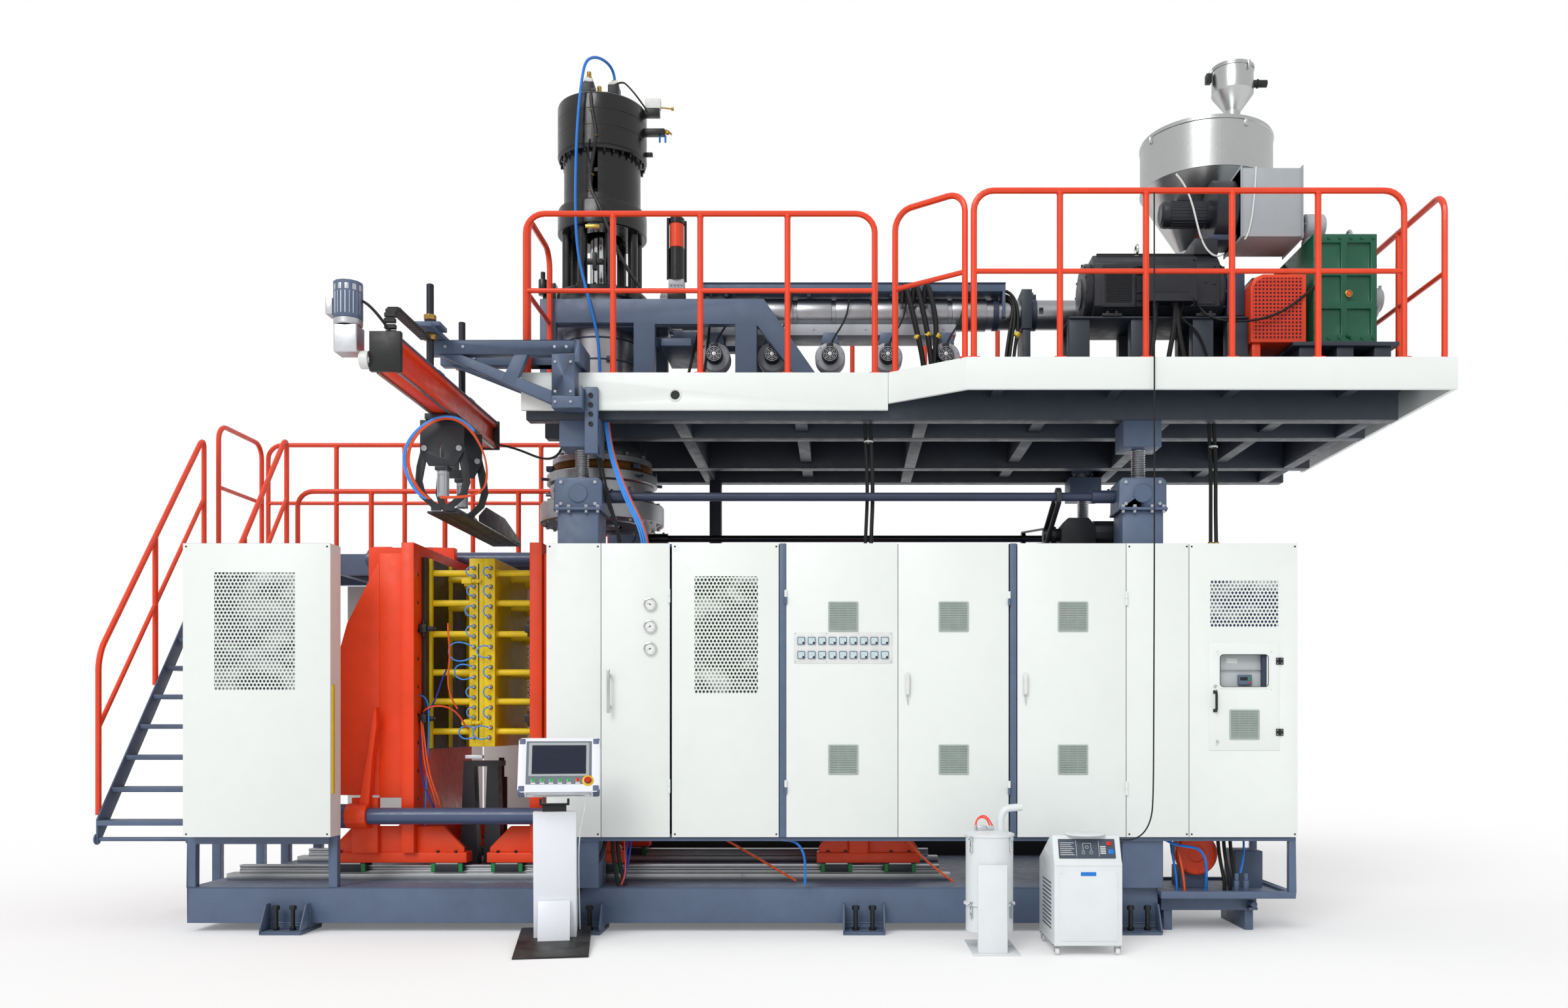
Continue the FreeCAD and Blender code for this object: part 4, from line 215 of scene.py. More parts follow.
class Finish:
    def __init__(self, name, **constants):
        self.material = bpy.data.materials.new(name)
        self.material.use_nodes = True
        self.tree = self.material.node_tree
        self.surface = self.tree.nodes["Principled BSDF"]
        for key, value in constants.items():
            self.surface.inputs[socketNames[key]].default_value = value
        self.place = self.node("TexCoord", out="Object")

    def node(self, kind, settings=None, values=None, out=0):
        made = self.tree.nodes.new("ShaderNode" + kind)
        for key, value in (settings or {}).items():
            if key == "stops":
                self.setStops(made.color_ramp, value)
            else:
                setattr(made, key, value)
        for key, value in (values or {}).items():
            self.feed(made.inputs[key], value)
        return Signal(self, made.outputs[out])

    def setStops(self, ramp, stops):
        while len(ramp.elements) < len(stops):
            ramp.elements.new(0.5)
        for element, (position, colour) in zip(ramp.elements, stops):
            element.position = position
            element.color = colour if len(colour) == 4 else (*colour, 1)

    def feed(self, socket, value):
        if isinstance(value, Signal):
            self.tree.links.new(value.socket, socket)
        else:
            socket.default_value = value

    def give(self, name, value):
        self.feed(self.surface.inputs[name], value)

    def noise(self, scale, detail=3, rough=0.5, stretch=None):
        place = self.place
        if stretch:
            place = self.node("Mapping", {}, {"Vector": place, "Scale": stretch}, "Vector")
        return self.node("TexNoise", {},
                         {"Vector": place, "Scale": scale, "Detail": detail, "Roughness": rough}, "Fac")

    def ramp(self, value, low, high, start=0.0, end=1.0):
        return self.node("MapRange", {"clamp": True},
                         {"Value": value, "From Min": low, "From Max": high, "To Min": start,
                          "To Max": end})

    def blend(self, share, first, second, mode="MIX"):
        made = self.tree.nodes.new("ShaderNodeMix")
        made.data_type = "RGBA"
        made.blend_type = mode
        colours = [s for s in made.inputs if s.type == "RGBA"]
        self.feed(made.inputs[0], share)
        self.feed(colours[0], first)
        self.feed(colours[1], second)
        return Signal(self, [s for s in made.outputs if s.type == "RGBA"][0])

    def toned(self, colour, tone):
        shade = self.node("CombineColor", {}, {0: tone, 1: tone, 2: tone}, "Color")
        return self.blend(1.0, colour, shade, "MULTIPLY")

    def bump(self, height, strength, distance):
        normal = self.node("Bump", {}, {"Height": height, "Strength": strength, "Distance": distance},
                           "Normal")
        self.give("Normal", normal)

    def upward(self):
        # 1 on faces that look straight up
        normal = self.node("NewGeometry", out="Normal")
        return self.node("SeparateXYZ", {}, {"Vector": normal}, "Z")


socketNames = {"metallic": "Metallic", "coat": "Coat Weight", "specular": "Specular IOR Level"}
finish = {}


def paint(name, colour, rough=0.42, spread=0.1, dust=0.25, peel=0.12, coat=0.0, worn=None, scuffs=0.0):
    made = Finish(name, coat=coat, specular=0.45)
    cloud = made.noise(1.7, 4, 0.55)
    patch = made.noise(9, 3, 0.6)
    tone = made.ramp(cloud * 0.65 + patch * 0.35, 0.32, 0.68, 1 - spread, 1 + spread * 0.7)
    base = made.toned(rgb(*colour), tone)
    dusty = made.ramp(made.upward(), 0.75, 1.0) * made.ramp(made.noise(5, 5, 0.7), 0.38, 0.7) * dust
    base = made.blend(dusty, base, rgb(150, 146, 138))
    if scuffs:
        streak = made.noise(3, 6, 0.75, (1, 1, 6))
        base = made.blend(made.ramp(streak, 0.66, 0.74) * scuffs, base, rgb(*worn))
    made.give("Base Color", base)
    made.give("Roughness",
              made.ramp(made.noise(14, 3, 0.6), 0.3, 0.7, rough - 0.07, rough + 0.1) + dusty * 0.5)
    made.bump(made.noise(420, 2, 0.5) + cloud * 0.6, peel, 0.0006)
    finish[name] = made.material


def metal(name, colour, rough=0.3, lines=(1, 1, 60), spread=0.12, marks=0.25, tint=None, grain=0.15):
    made = Finish(name, metallic=1.0)
    brushed = made.noise(18, 5, 0.7, lines)
    cloud = made.noise(3, 4, 0.6)
    tone = made.ramp(brushed * 0.5 + cloud * 0.5, 0.33, 0.67, 1 - spread, 1 + spread * 0.5)
    base = made.toned(rgb(*colour), tone)
    if tint:
        base = made.blend(made.ramp(made.noise(6, 4, 0.6), 0.42, 0.66) * 0.7, base, rgb(*tint))
    stain = made.ramp(made.noise(11, 6, 0.75), 0.6, 0.72)
    base = made.blend(stain * marks, base, (0.1, 0.09, 0.08, 1))
    made.give("Base Color", base)
    made.give("Roughness", made.ramp(brushed, 0.3, 0.7, rough - 0.06, rough + 0.09) + stain * 0.15)
    made.bump(brushed, grain, 0.0004)
    finish[name] = made.material


def plastic(name, colour, rough=0.45, grain=0.1, spread=0.06):
    made = Finish(name, specular=0.4)
    tone = made.ramp(made.noise(12, 4, 0.6), 0.3, 0.7, 1 - spread, 1 + spread)
    made.give("Base Color", made.toned(rgb(*colour), tone))
    made.give("Roughness", made.ramp(made.noise(40, 3, 0.6), 0.3, 0.7, rough - 0.05, rough + 0.08))
    made.bump(made.noise(900, 2, 0.5), grain, 0.0003)
    finish[name] = made.material


paint("slate", (88, 104, 130), 0.42, 0.16, 0.2, 0.14, scuffs=0.2, worn=(128, 146, 170))
paint("slateDark", (50, 60, 84), 0.46, 0.2, 0.25, 0.16)
paint("pale", (236, 241, 238), 0.36, 0.025, 0.1, 0.05)
paint("orange", (236, 66, 24), 0.36, 0.1, 0.12, 0.1, 0.15)
paint("orangeDeep", (244, 68, 14), 0.4, 0.12, 0.2, 0.14, scuffs=0.3, worn=(90, 30, 22))
paint("yellow", (234, 196, 18), 0.38, 0.14, 0.12, 0.12, scuffs=0.25, worn=(120, 96, 30))
paint("green", (96, 160, 120), 0.4, 0.12, 0.2, 0.14)
paint("charcoal", (44, 47, 52), 0.42, 0.2, 0.25, 0.14)
paint("lightGrey", (190, 196, 198), 0.42, 0.06, 0.15, 0.1)
paint("black", (26, 27, 29), 0.4, 0.25, 0.2, 0.12)
metal("steel", (178, 180, 182), 0.34, (1, 1, 40))
metal("turned", (170, 172, 176), 0.3, (2, 2, 90), 0.16, 0.35)
metal("stainless", (196, 198, 198), 0.27, (60, 60, 1), 0.06, 0.12)
metal("blued", (64, 66, 72), 0.33, (40, 1, 1), 0.14, 0.3)
metal("chrome", (214, 215, 217), 0.12, (1, 1, 30), 0.05, 0.08, grain=0.05)
metal("brass", (184, 150, 78), 0.3, (1, 1, 30), 0.1, 0.3)
plastic("rubber", (24, 24, 25), 0.6, 0.3)
plastic("tyre", (40, 38, 36), 0.55, 0.25)
plastic("blackPlastic", (28, 29, 31), 0.4, 0.15)
plastic("bluePlastic", (24, 120, 214), 0.3, 0.03)
plastic("blueDeep", (38, 52, 150), 0.3, 0.03)
plastic("orangePlastic", (232, 88, 36), 0.32, 0.03)
plastic("whitePlastic", (226, 228, 226), 0.38, 0.08)
plastic("redPlastic", (206, 26, 22), 0.3, 0.05)
plastic("greenPlastic", (28, 140, 70), 0.3, 0.05)
plastic("yellowPlastic", (226, 190, 30), 0.3, 0.05)
print("finishes made")

nodeLooks = {
    "orange": ("access_rails", "belt_guard", "platform_rails"),
    "turned": ("accumulator_head", "die_core", "extruder", "push_cylinder"),
    "charcoal": ("blow_unit", "gripper_carriage", "jaw_left", "jaw_right", "lift_drive", "main_motor"),
    "slate": ("cabinet_shell", "floor_frame", "head_frame", "hydraulic_bay", "jacks", "loader",
              "pendant_head", "pendant_stand", "robot_arm", "stairs"),
    "chrome": ("clamp_rod", "ram"),
    "pale": ("door_one", "door_two", "door_three", "front_panels", "gauge_door", "guards", "inset_door",
             "platform_fascia"),
    "green": ("gearbox",),
    "steel": ("guide_rails", "lift_screws"),
    "blackPlastic": ("handle_two", "handle_three"),
    "stainless": ("hopper",),
    "orangeDeep": ("left_platen", "right_platen", "robot_beam", "tail_platen"),
    "slateDark": ("lift_shaft_front", "platform_frame"),
    "blued": ("lift_shaft_rear", "tie_bars"),
    "rubber": ("loader_cable", "cabinet_cable_left", "cabinet_cable_right"),
    "yellow": ("mould_left", "mould_right"),
    "whitePlastic": ("pendant_cable",),
    "redPlastic": ("stop_button",),
    "bluePlastic": ("head_hose", "platen_hose"),
    "tyre": ("caster_wheel_1", "caster_wheel_2", "caster_wheel_3", "caster_wheel_4"),
}
for look, names in nodeLooks.items():
    for name in names:
        mesh = nodes[name].data
        mesh.materials.clear()
        mesh.materials.append(finish[look])
print("CAD nodes finished")


# free cables and hoses, on the same routes as their CAD tubes

cordSet = [
    {"name": "loader_cable", "body": "base", "radius": 5, "look": "rubber", "slot": "black_rubber",
     "long": 4.455, "stiff": "medium",
     "points": [(2055, -400, 4935), (2058, -400, 3000), (2052, -400, 1500), (2050, -398, 950),
                (2035, -400, 820), (1985, -412, 730), (1905, -440, 690), (1815, -470, 695),
                (1762, -480, 700)]},
    {"name": "pendant_cable", "body": "base", "radius": 4, "look": "whitePlastic", "slot": "pale_plastic",
     "long": 1.008, "stiff": "medium",
     "points": [(-1639.4, -550.7, 992.6), (-1642.9, -546.3, 945), (-1663.4, -516.4, 860),
                (-1697.3, -456.4, 760), (-1719.5, -399.4, 640), (-1731.9, -340.7, 500),
                (-1743.2, -276.7, 330), (-1750.8, -222.2, 180), (-1755.8, -182.4, 68)]},
    {"name": "head_hose", "body": "platform", "radius": 11, "look": "bluePlastic", "slot": "blue_hose",
     "long": 3.06, "stiff": "stiff",
     "points": [(-1768, 1190, 6471), (-1769, 1186, 6512), (-1790, 1130, 6560), (-1840, 1040, 6568),
                (-1890, 940, 6530), (-1930, 856, 6450), (-1948, 818, 6310), (-1975, 808, 6050),
                (-1992, 806, 5700), (-1996, 804, 5300), (-1978, 798, 5000), (-1930, 788, 4780),
                (-1870, 773, 4560), (-1815, 763, 4330), (-1802, 758, 4100), (-1800, 758, 3867)]},
    {"name": "platen_hose", "body": "clamp_left", "radius": 6, "look": "bluePlastic", "slot": "blue_hose",
     "long": 0.992, "stiff": "stiff",
     "points": [(-3094, 585, 1660), (-3060, 583, 1656), (-3024, 578, 1600), (-3018, 570, 1440),
                (-3022, 560, 1230), (-3030, 552, 1030), (-3035, 547, 860), (-3038, 545, 704)]},
    {"name": "cabinet_cable_left", "body": "platform", "radius": 14, "look": "rubber",
     "slot": "black_rubber", "long": 1.152, "stiff": "stiff",
     "points": [(200, 262, 3843), (206, 265, 3600), (222, 272, 3300), (226, 274, 3020), (216, 270, 2820),
                (214, 268, 2692)]},
    {"name": "cabinet_cable_right", "body": "platform", "radius": 14, "look": "rubber",
     "slot": "black_rubber", "long": 1.155, "stiff": "stiff",
     "points": [(2630, 250, 3843), (2636, 252, 3600), (2654, 258, 3300), (2650, 250, 3000),
                (2642, 215, 2820), (2640, 200, 2692)]},
]


def route(name, count, radius, rings, steps, order=0):
    # a curve of one spline with a round section, and its points: smooth with an order, cornered without
    curve = bpy.data.curves.new(name, "CURVE")
    curve.dimensions = "3D"
    curve.resolution_u = steps
    curve.bevel_depth = radius
    curve.bevel_resolution = rings
    curve.use_fill_caps = True
    spline = curve.splines.new("NURBS" if order else "BEZIER")
    points = spline.points if order else spline.bezier_points
    points.add(count - 1)
    if order:
        spline.order_u = order
        spline.use_endpoint_u = True
    return curve, points


def makeCords():
    for row in cordSet:
        name = row["name"] + "_run"
        curve, points = route(name, len(row["points"]), row["radius"] / 1000, 3, 10, 3)
        for point, place in zip(points, row["points"]):
            point.co = (*at(*place), 1)
        cord = bpy.data.objects.new(name, curve)
        scene.collection.objects.link(cord)
        curve.materials.append(finish[row["look"]])
        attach(cord, row["body"])
        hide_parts(row["name"])
        tuple(at(*row["points"][0]))


makeCords()
print("cords made")


# making shapes

# the two directions across an axis and the one along it, as x, y and z
turnTo = {"x": lambda u, v, w: (w, u, v), "y": lambda u, v, w: (u, w, v), "z": lambda u, v, w: (u, v, w)}


class Shape:
    # one mesh, made in machine millimetres with mesh operators, then placed in the frame
    def __init__(self):
        self.mesh = bmesh.new()

    def bevelled(self, made, width, segments=2, angle=30):
        if width <= 0:
            return
        faces = {face for vertex in made for face in vertex.link_faces}
        edges = {edge for face in faces for edge in face.edges}
        sharp = [edge for edge in edges if len(edge.link_faces) == 2
                 and edge.calc_face_angle(0) > math.radians(angle)]
        bmesh.ops.bevel(self.mesh, geom=sharp, offset=width, segments=segments, profile=0.5, affect="EDGES",
                        material=-1, clamp_overlap=True)

    def box(self, low, size, bevel=1.5, segments=2, turn=None):
        corner = Vector(low)
        made = bmesh.ops.create_cube(self.mesh, size=1)["verts"]
        bmesh.ops.scale(self.mesh, vec=Vector(size), verts=made)
        bmesh.ops.translate(self.mesh, vec=corner + Vector(size) / 2, verts=made)
        if turn:
            bmesh.ops.rotate(self.mesh, cent=corner + Vector(size) / 2, matrix=turn, verts=made)
        self.bevelled(made, bevel, segments)
        return self

    def rod(self, start, end, radius, radiusEnd=None, sides=32, bevel=0.0, segments=2, caps=True):
        a = Vector(start)
        b = Vector(end)
        made = bmesh.ops.create_cone(self.mesh, cap_ends=caps, segments=sides, radius1=radius,
                                     radius2=radius if radiusEnd is None else radiusEnd,
                                     depth=(b - a).length)["verts"]
        turn = Vector(toTop).rotation_difference(b - a).to_matrix()
        bmesh.ops.rotate(self.mesh, cent=(0, 0, 0), matrix=turn, verts=made)
        bmesh.ops.translate(self.mesh, vec=(a + b) / 2, verts=made)
        self.bevelled(made, bevel, segments, 50)
        return self

    def lathe(self, base, axis, profile, sides=48, turn=360.0, start=None):
        # profile is radius and height pairs along the axis from base
        a = Vector(base)
        way = Vector(axis).normalized()
        side = Vector(start) if start else (Vector(toTop).cross(way) if abs(way.z) < 0.9
                                            else Vector(toRight))
        side.normalize()
        points = [self.mesh.verts.new(a + side * radius + way * height) for radius, height in profile]
        edges = [self.mesh.edges.new(pair) for pair in zip(points, points[1:])]
        full = turn >= 360
        bmesh.ops.spin(self.mesh, geom=points + edges, cent=a, axis=way, dvec=(0, 0, 0),
                       angle=math.radians(turn), steps=sides, use_merge=full, use_duplicate=False)
        return self

    def ring(self, centre, axis, radius, tube, sides=32, round=10):
        profile = []
        for i in range(round + 1):
            angle = math.tau * i / round
            profile.append((radius + tube * math.cos(angle), tube * math.sin(angle)))
        return self.lathe(centre, axis, profile, sides)

    def plate(self, outline, thick, plane="XZ", at=0.0, bevel=1.0, segments=2, holes=()):
        # an outline in a plane, pushed out by thick along the plane's third axis
        order = {"XZ": turnTo["y"], "XY": turnTo["z"], "YZ": turnTo["x"]}[plane]
        loops = [[self.mesh.verts.new(order(u, v, at)) for u, v in points] for points in (outline, *holes)]
        if holes:
            edges = [self.mesh.edges.new((loop[i - 1], loop[i])) for loop in loops
                     for i in range(len(loop))]
            faces = [f for f in bmesh.ops.triangle_fill(self.mesh, edges=edges, use_beauty=True)["geom"]
                     if isinstance(f, bmesh.types.BMFace)]
        else:
            faces = [self.mesh.faces.new(loops[0])]
        out = bmesh.ops.extrude_face_region(self.mesh, geom=faces)["geom"]
        moved = [v for v in out if isinstance(v, bmesh.types.BMVert)]
        bmesh.ops.translate(self.mesh, vec=Vector(order(0, 0, thick)), verts=moved)
        self.bevelled(moved + [v for loop in loops for v in loop], bevel, segments)
        return self

    def tube(self, points, radius, sides=12, rounded=0.0):
        # a pipe through its points, with corners turned by a bend
        path = [Vector(p) for p in points]
        stops = []
        for i, p in enumerate(path):
            if rounded and 0 < i < len(path) - 1:
                before = path[i - 1] - p
                after = path[i + 1] - p
                cut = min(rounded, before.length * 0.49, after.length * 0.49)
                stops.append((p + before.normalized() * cut, p, 1))
                stops.append((p + after.normalized() * cut, p, 0))
            else:
                stops.append((p, None, None))
        curve, knots = route("route", len(stops), radius, max(1, (sides - 4) // 4), 6)
        for point, (place, corner, first) in zip(knots, stops):
            point.co = place
            point.handle_left_type = point.handle_right_type = "FREE"
            point.handle_left = place
            point.handle_right = place
            if corner:
                pull = place + (corner - place) * 0.55
                if first:
                    point.handle_right = pull
                else:
                    point.handle_left = pull
        for i, point in enumerate(knots):
            stop = stops[i]
            if not stop[1]:
                near = stops[min(i + 1, len(stops) - 1)][0]
                back = stops[max(i - 1, 0)][0]
                point.handle_right = stop[0].lerp(near, 0.33)
                point.handle_left = stop[0].lerp(back, 0.33)
            elif stop[2]:
                point.handle_left = stop[0].lerp(stops[i - 1][0], 0.33)
            else:
                point.handle_right = stop[0].lerp(stops[min(i + 1, len(stops) - 1)][0], 0.33)
        return self.curved(curve)

    def hoses(self, routes, radius, sides=12):
        for points in routes:
            self.hose(points, radius, sides)
        return self

    def hose(self, points, radius, sides=12):
        # a hose drawn as one smooth spline between its fittings
        curve, knots = route("route", len(points), radius, max(1, (sides - 4) // 4), 5, min(4, len(points)))
        for point, place in zip(knots, points):
            point.co = (*place, 1)
        return self.curved(curve)

    def curved(self, curve):
        holder = bpy.data.objects.new("route", curve)
        scene.collection.objects.link(holder)
        bpy.context.view_layer.update()
        mesh = bpy.data.meshes.new_from_object(holder.evaluated_get(bpy.context.evaluated_depsgraph_get()))
        self.mesh.from_mesh(mesh)
        bpy.data.objects.remove(holder)
        bpy.data.curves.remove(curve)
        bpy.data.meshes.remove(mesh)
        return self

    def join(self, other):
        mesh = bpy.data.meshes.new("joined")
        other.mesh.to_mesh(mesh)
        other.mesh.free()
        self.mesh.from_mesh(mesh)
        bpy.data.meshes.remove(mesh)
        return self

    def studs(self, centre, axis, long, circle, count, radius, start=0.0, sides=6):
        # rods of one length around a circle that faces along an axis
        x, y, z = centre
        for c, s in around(count, start):
            near = turnTo[axis](circle * c, circle * s, 0)
            far = turnTo[axis](circle * c, circle * s, long)
            self.rod((x + near[0], y + near[1], z + near[2]), (x + far[0], y + far[1], z + far[2]), radius,
                     sides=sides)
        return self

    def pins(self, places, start, end, radius, sides=6):
        # rods from one depth to another, at places across and up the front
        for x, z in places:
            self.rod((x, start, z), (x, end, z), radius, sides=sides)
        return self

    def moved(self, shift, turn=None):
        if turn:
            bmesh.ops.rotate(self.mesh, cent=(0, 0, 0), matrix=turn, verts=self.mesh.verts)
        bmesh.ops.translate(self.mesh, vec=shift, verts=self.mesh.verts)
        return self

    def finish(self, name, body, look, slot, replaces=(), normals=True):
        bmesh.ops.remove_doubles(self.mesh, verts=self.mesh.verts, dist=0.0005)
        if normals:
            bmesh.ops.recalc_face_normals(self.mesh, faces=self.mesh.faces)
        bmesh.ops.scale(self.mesh, vec=(0.001, 0.001, 0.001), verts=self.mesh.verts)
        bmesh.ops.translate(self.mesh, vec=at(0, 0, 0), verts=self.mesh.verts)
        return placed(self.mesh, name, body, look, slot, replaces, 32)


def placed(shape, name, body, look, slot, replaces, smooth):
    # the finished mesh as a piece that rides on a body and stands for CAD nodes
    mesh = bpy.data.meshes.new(name)
    shape.to_mesh(mesh)
    shape.free()
    for face in mesh.polygons:
        face.use_smooth = True
    mesh.set_sharp_from_angle(angle=math.radians(smooth))
    piece = bpy.data.objects.new(name, mesh)
    scene.collection.objects.link(piece)
    mesh.materials.append(finish[look])
    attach(piece, body)
    if replaces:
        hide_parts(*replaces)
    return piece


def turned(angle, axis):
    return Matrix.Rotation(math.radians(angle), 3, axis)


def around(count, start=0.0):
    # evenly spaced directions in a circle, as cosine and sine
    return [(math.cos(math.tau * i / count + start), math.sin(math.tau * i / count + start))
            for i in range(count)]


def rounded(left, low, wide, high, radius, steps=6):
    # the outline of a rectangle with round corners
    points = []
    for cx, cy, first in ((left + wide - radius, low + high - radius, 0),
                          (left + radius, low + high - radius, 90), (left + radius, low + radius, 180),
                          (left + wide - radius, low + radius, 270)):
        for i in range(steps + 1):
            angle = math.radians(first + 90 * i / steps)
            points.append((cx + radius * math.cos(angle), cy + radius * math.sin(angle)))
    return points


def islands(mesh):
    # the separate solids of a mesh, as sets of its vertices
    left = set(mesh.verts)
    while left:
        group = {left.pop()}
        fresh = list(group)
        while fresh:
            for link in fresh.pop().link_edges:
                other = [vertex for vertex in link.verts if vertex in left]
                left.difference_update(other)
                group.update(other)
                fresh += other
        yield group


def edged(name, body, look, slot, width=3.0, pick=None, label=None, segments=2, replaces=True):
    # a bevelled copy of a CAD node, or of the separate solids of it that pick accepts
    mesh = bmesh.new()
    mesh.from_mesh(nodes[name].data)
    bmesh.ops.remove_doubles(mesh, verts=mesh.verts, dist=1e-5)
    if pick:
        drop = []
        shift = at(0, 0, 0)
        for group in islands(mesh):
            low = [(min(v.co[i] for v in group) - shift[i]) * 1000 for i in range(3)]
            high = [(max(v.co[i] for v in group) - shift[i]) * 1000 for i in range(3)]
            if not pick(low, high):
                drop += list(group)
        bmesh.ops.delete(mesh, geom=drop, context="VERTS")
    bmesh.ops.dissolve_limit(mesh, angle_limit=math.radians(2), verts=mesh.verts, edges=mesh.edges)
    sharp = [edge for edge in mesh.edges if len(edge.link_faces) == 2
             and edge.calc_face_angle(0) > math.radians(25)]
    if sharp:
        bmesh.ops.bevel(mesh, geom=sharp, offset=width / 1000, segments=segments, profile=0.5,
                        affect="EDGES", material=-1, clamp_overlap=True)
    bmesh.ops.recalc_face_normals(mesh, faces=mesh.faces)
    return placed(mesh, label or name + "_edged", body, look, slot, (name,) if replaces else (), 35)


# cabinet fronts

# each window's stops colour the inside of its holes as painted shade, near black with lighter lit patches
windowSet = {
    "guard_window": {"look": "piercedGuard", "low": (-4310, 1680), "size": (556, 811),
                     "paintedShadeStops": ((0.46, (0.02, 0.02, 0.04)), (0.8, (0.62, 0.64, 0.68)))},
    "panel_window": {"look": "piercedPanel", "low": (-1007, 1658), "size": (436, 806),
                     "paintedShadeStops": ((0.5, (0.015, 0.015, 0.02)), (0.72, (0.55, 0.57, 0.57)))},
    "end_window": {"look": "piercedEnd", "low": (2539, 2114), "size": (468, 324),
                   "paintedShadeStops": ((0.5, (0.015, 0.015, 0.07)), (0.78, (0.55, 0.58, 0.62)))},
    "rear_windows": {"look": "piercedRear", "low": (-4315, 1570), "size": (870, 900),
                     "paintedShadeStops": ((0.4, (0.02, 0.02, 0.03)), (0.6, (0.55, 0.56, 0.56)))},
}
holeSet = {"across": 25.5, "up": 24.8, "halfAcross": 0.42, "halfUp": 0.5}


def pierced(look, low, paintedShadeStops):
    # pale paint with staggered diamond holes, their insides painted shade: near black, with lighter patches
    # for lit parts seen through them
    made = Finish(look, specular=0.4)
    corner = at(low[0], 0, low[1])
    place = made.node("SeparateXYZ", {}, {"Vector": made.place}, "X")
    u = (place - corner.x) * (1000 / holeSet["across"])
    v = (place.part(2) - corner.z) * (1000 / holeSet["up"])
    row = v.apply("FLOOR")
    odd = row.apply("MODULO", 2.0)
    across = (u + odd * 0.5).apply("FRACT")
    up = v.apply("FRACT")
    left = (across - 0.5).apply("ABSOLUTE")
    rise = (up - 0.5).apply("ABSOLUTE")
    edge = left / holeSet["halfAcross"] + rise / holeSet["halfUp"]
    open = made.ramp(edge, 1.04, 0.94)
    # the painted shade and lit patches seen through the holes
    behind = made.node("ValToRGB", {"stops": paintedShadeStops}, {"Fac": made.noise(3.2, 3, 0.6, (1, 1, 2))}, "Color")
    made.give("Base Color", made.blend(open, rgb(232, 239, 232), behind))
    made.give("Roughness", open * 0.4 + 0.36)
    made.bump(1.0 - open, 0.6, 0.002)
    finish[look] = made.material


for row in windowSet.values():
    pierced(row["look"], row["low"], row["paintedShadeStops"])
plastic("ventGrey", (168, 181, 174), 0.45, 0.08)
plastic("meterRim", (92, 112, 138), 0.35, 0.05)
plastic("meterFace", (206, 226, 230), 0.25, 0.02)
plastic("dialWhite", (236, 238, 236), 0.3, 0.02)
plastic("gasket", (30, 31, 33), 0.5, 0.1)


def makeSheets():
    edged("front_panels", "base", "pale", "pale_paint", 1.2)
    edged("guards", "base", "pale", "pale_paint", 1.2)
    edged("gauge_door", "gauge_door", "pale", "pale_paint", 1.2,
          pick=lambda low, high: high[1] > 1 and low[1] > -2)
    for name in ("door_one", "door_two", "door_three", "inset_door"):
        edged(name, name, "pale", "pale_paint", 1.2,
              pick=lambda low, high: high[1] > 1 and low[1] > -6 and high[2] - low[2] > 300)
    for name in ("guard_window", "panel_window", "end_window"):
        row = windowSet[name]
        sheet = Shape().plate(rounded(*row["low"], *row["size"], 4, 2), -0.6, "XZ", -0.1, 0)
        sheet.finish(name, "base", row["look"], "pale_paint")
    row = windowSet["rear_windows"]
    left, low = row["low"]
    rear = Shape()
    for shift in (0, 1240):
        for face in (2829.8, 2833.8):
            rear.plate(rounded(left + shift, low, *row["size"], 4, 2), -0.6, "XZ", face, 0)
    rear.finish("rear_windows", "base", row["look"], "pale_paint")
    screws = Shape()
    for x in (-4503, -3533, -2003, -1671, -1142, -444, 1983, 2379, 2412, 3122):
        for z in (690, 2668):
            screws.lathe((x, 0, z), toFront, [(0, 3.2), (3, 3), (6, 2), (7, 0)], 10)
    screws.finish("panel_screws", "base", "black", "black_steel")


def vent(shape, dark, x, z, front):
    # a square louvre: frame, slanted slats and a black plate behind them, painted shade
    size = 206
    shape.plate(rounded(x, z, size, size, 7, 3), -7, "XZ", front, 1.2, 1,
                [rounded(x + 11, z + 11, size - 22, size - 22, 3, 2)])
    pitch = (size - 24) / 15
    for i in range(15):
        shape.box((x + 10, front - 7, z + 13 + i * pitch), (size - 20, 2.2, pitch * 0.86), 0,
                  turn=turned(24, "X"))
    for side in (x + size * 0.34, x + size * 0.66):
        shape.box((side - 2, front - 4, z + 8), (4, 3, size - 16), 0)
    # black plate behind the slats: painted shade inside the louvre
    dark.box((x + 9, front - 1.2, z + 9), (size - 18, 1, size - 18), 0)


def makeVents():
    for body, spots in (("door_one", ((-87, 1100), (-87, 2083))), ("door_two", ((672, 1100), (672, 2083))),
                        ("door_three", ((1492, 1100), (1492, 2083))), ("inset_door", ((2670, 1341),))):
        slats = Shape()
        dark = Shape()
        for x, z in spots:
            vent(slats, dark, x, z, -3.5 if body == "inset_door" else 0)
        slats.finish(body + "_vents", body, "ventGrey", "pale_paint", normals=False)
        dark.finish(body + "_vent_backs", body, "black", "black_steel")


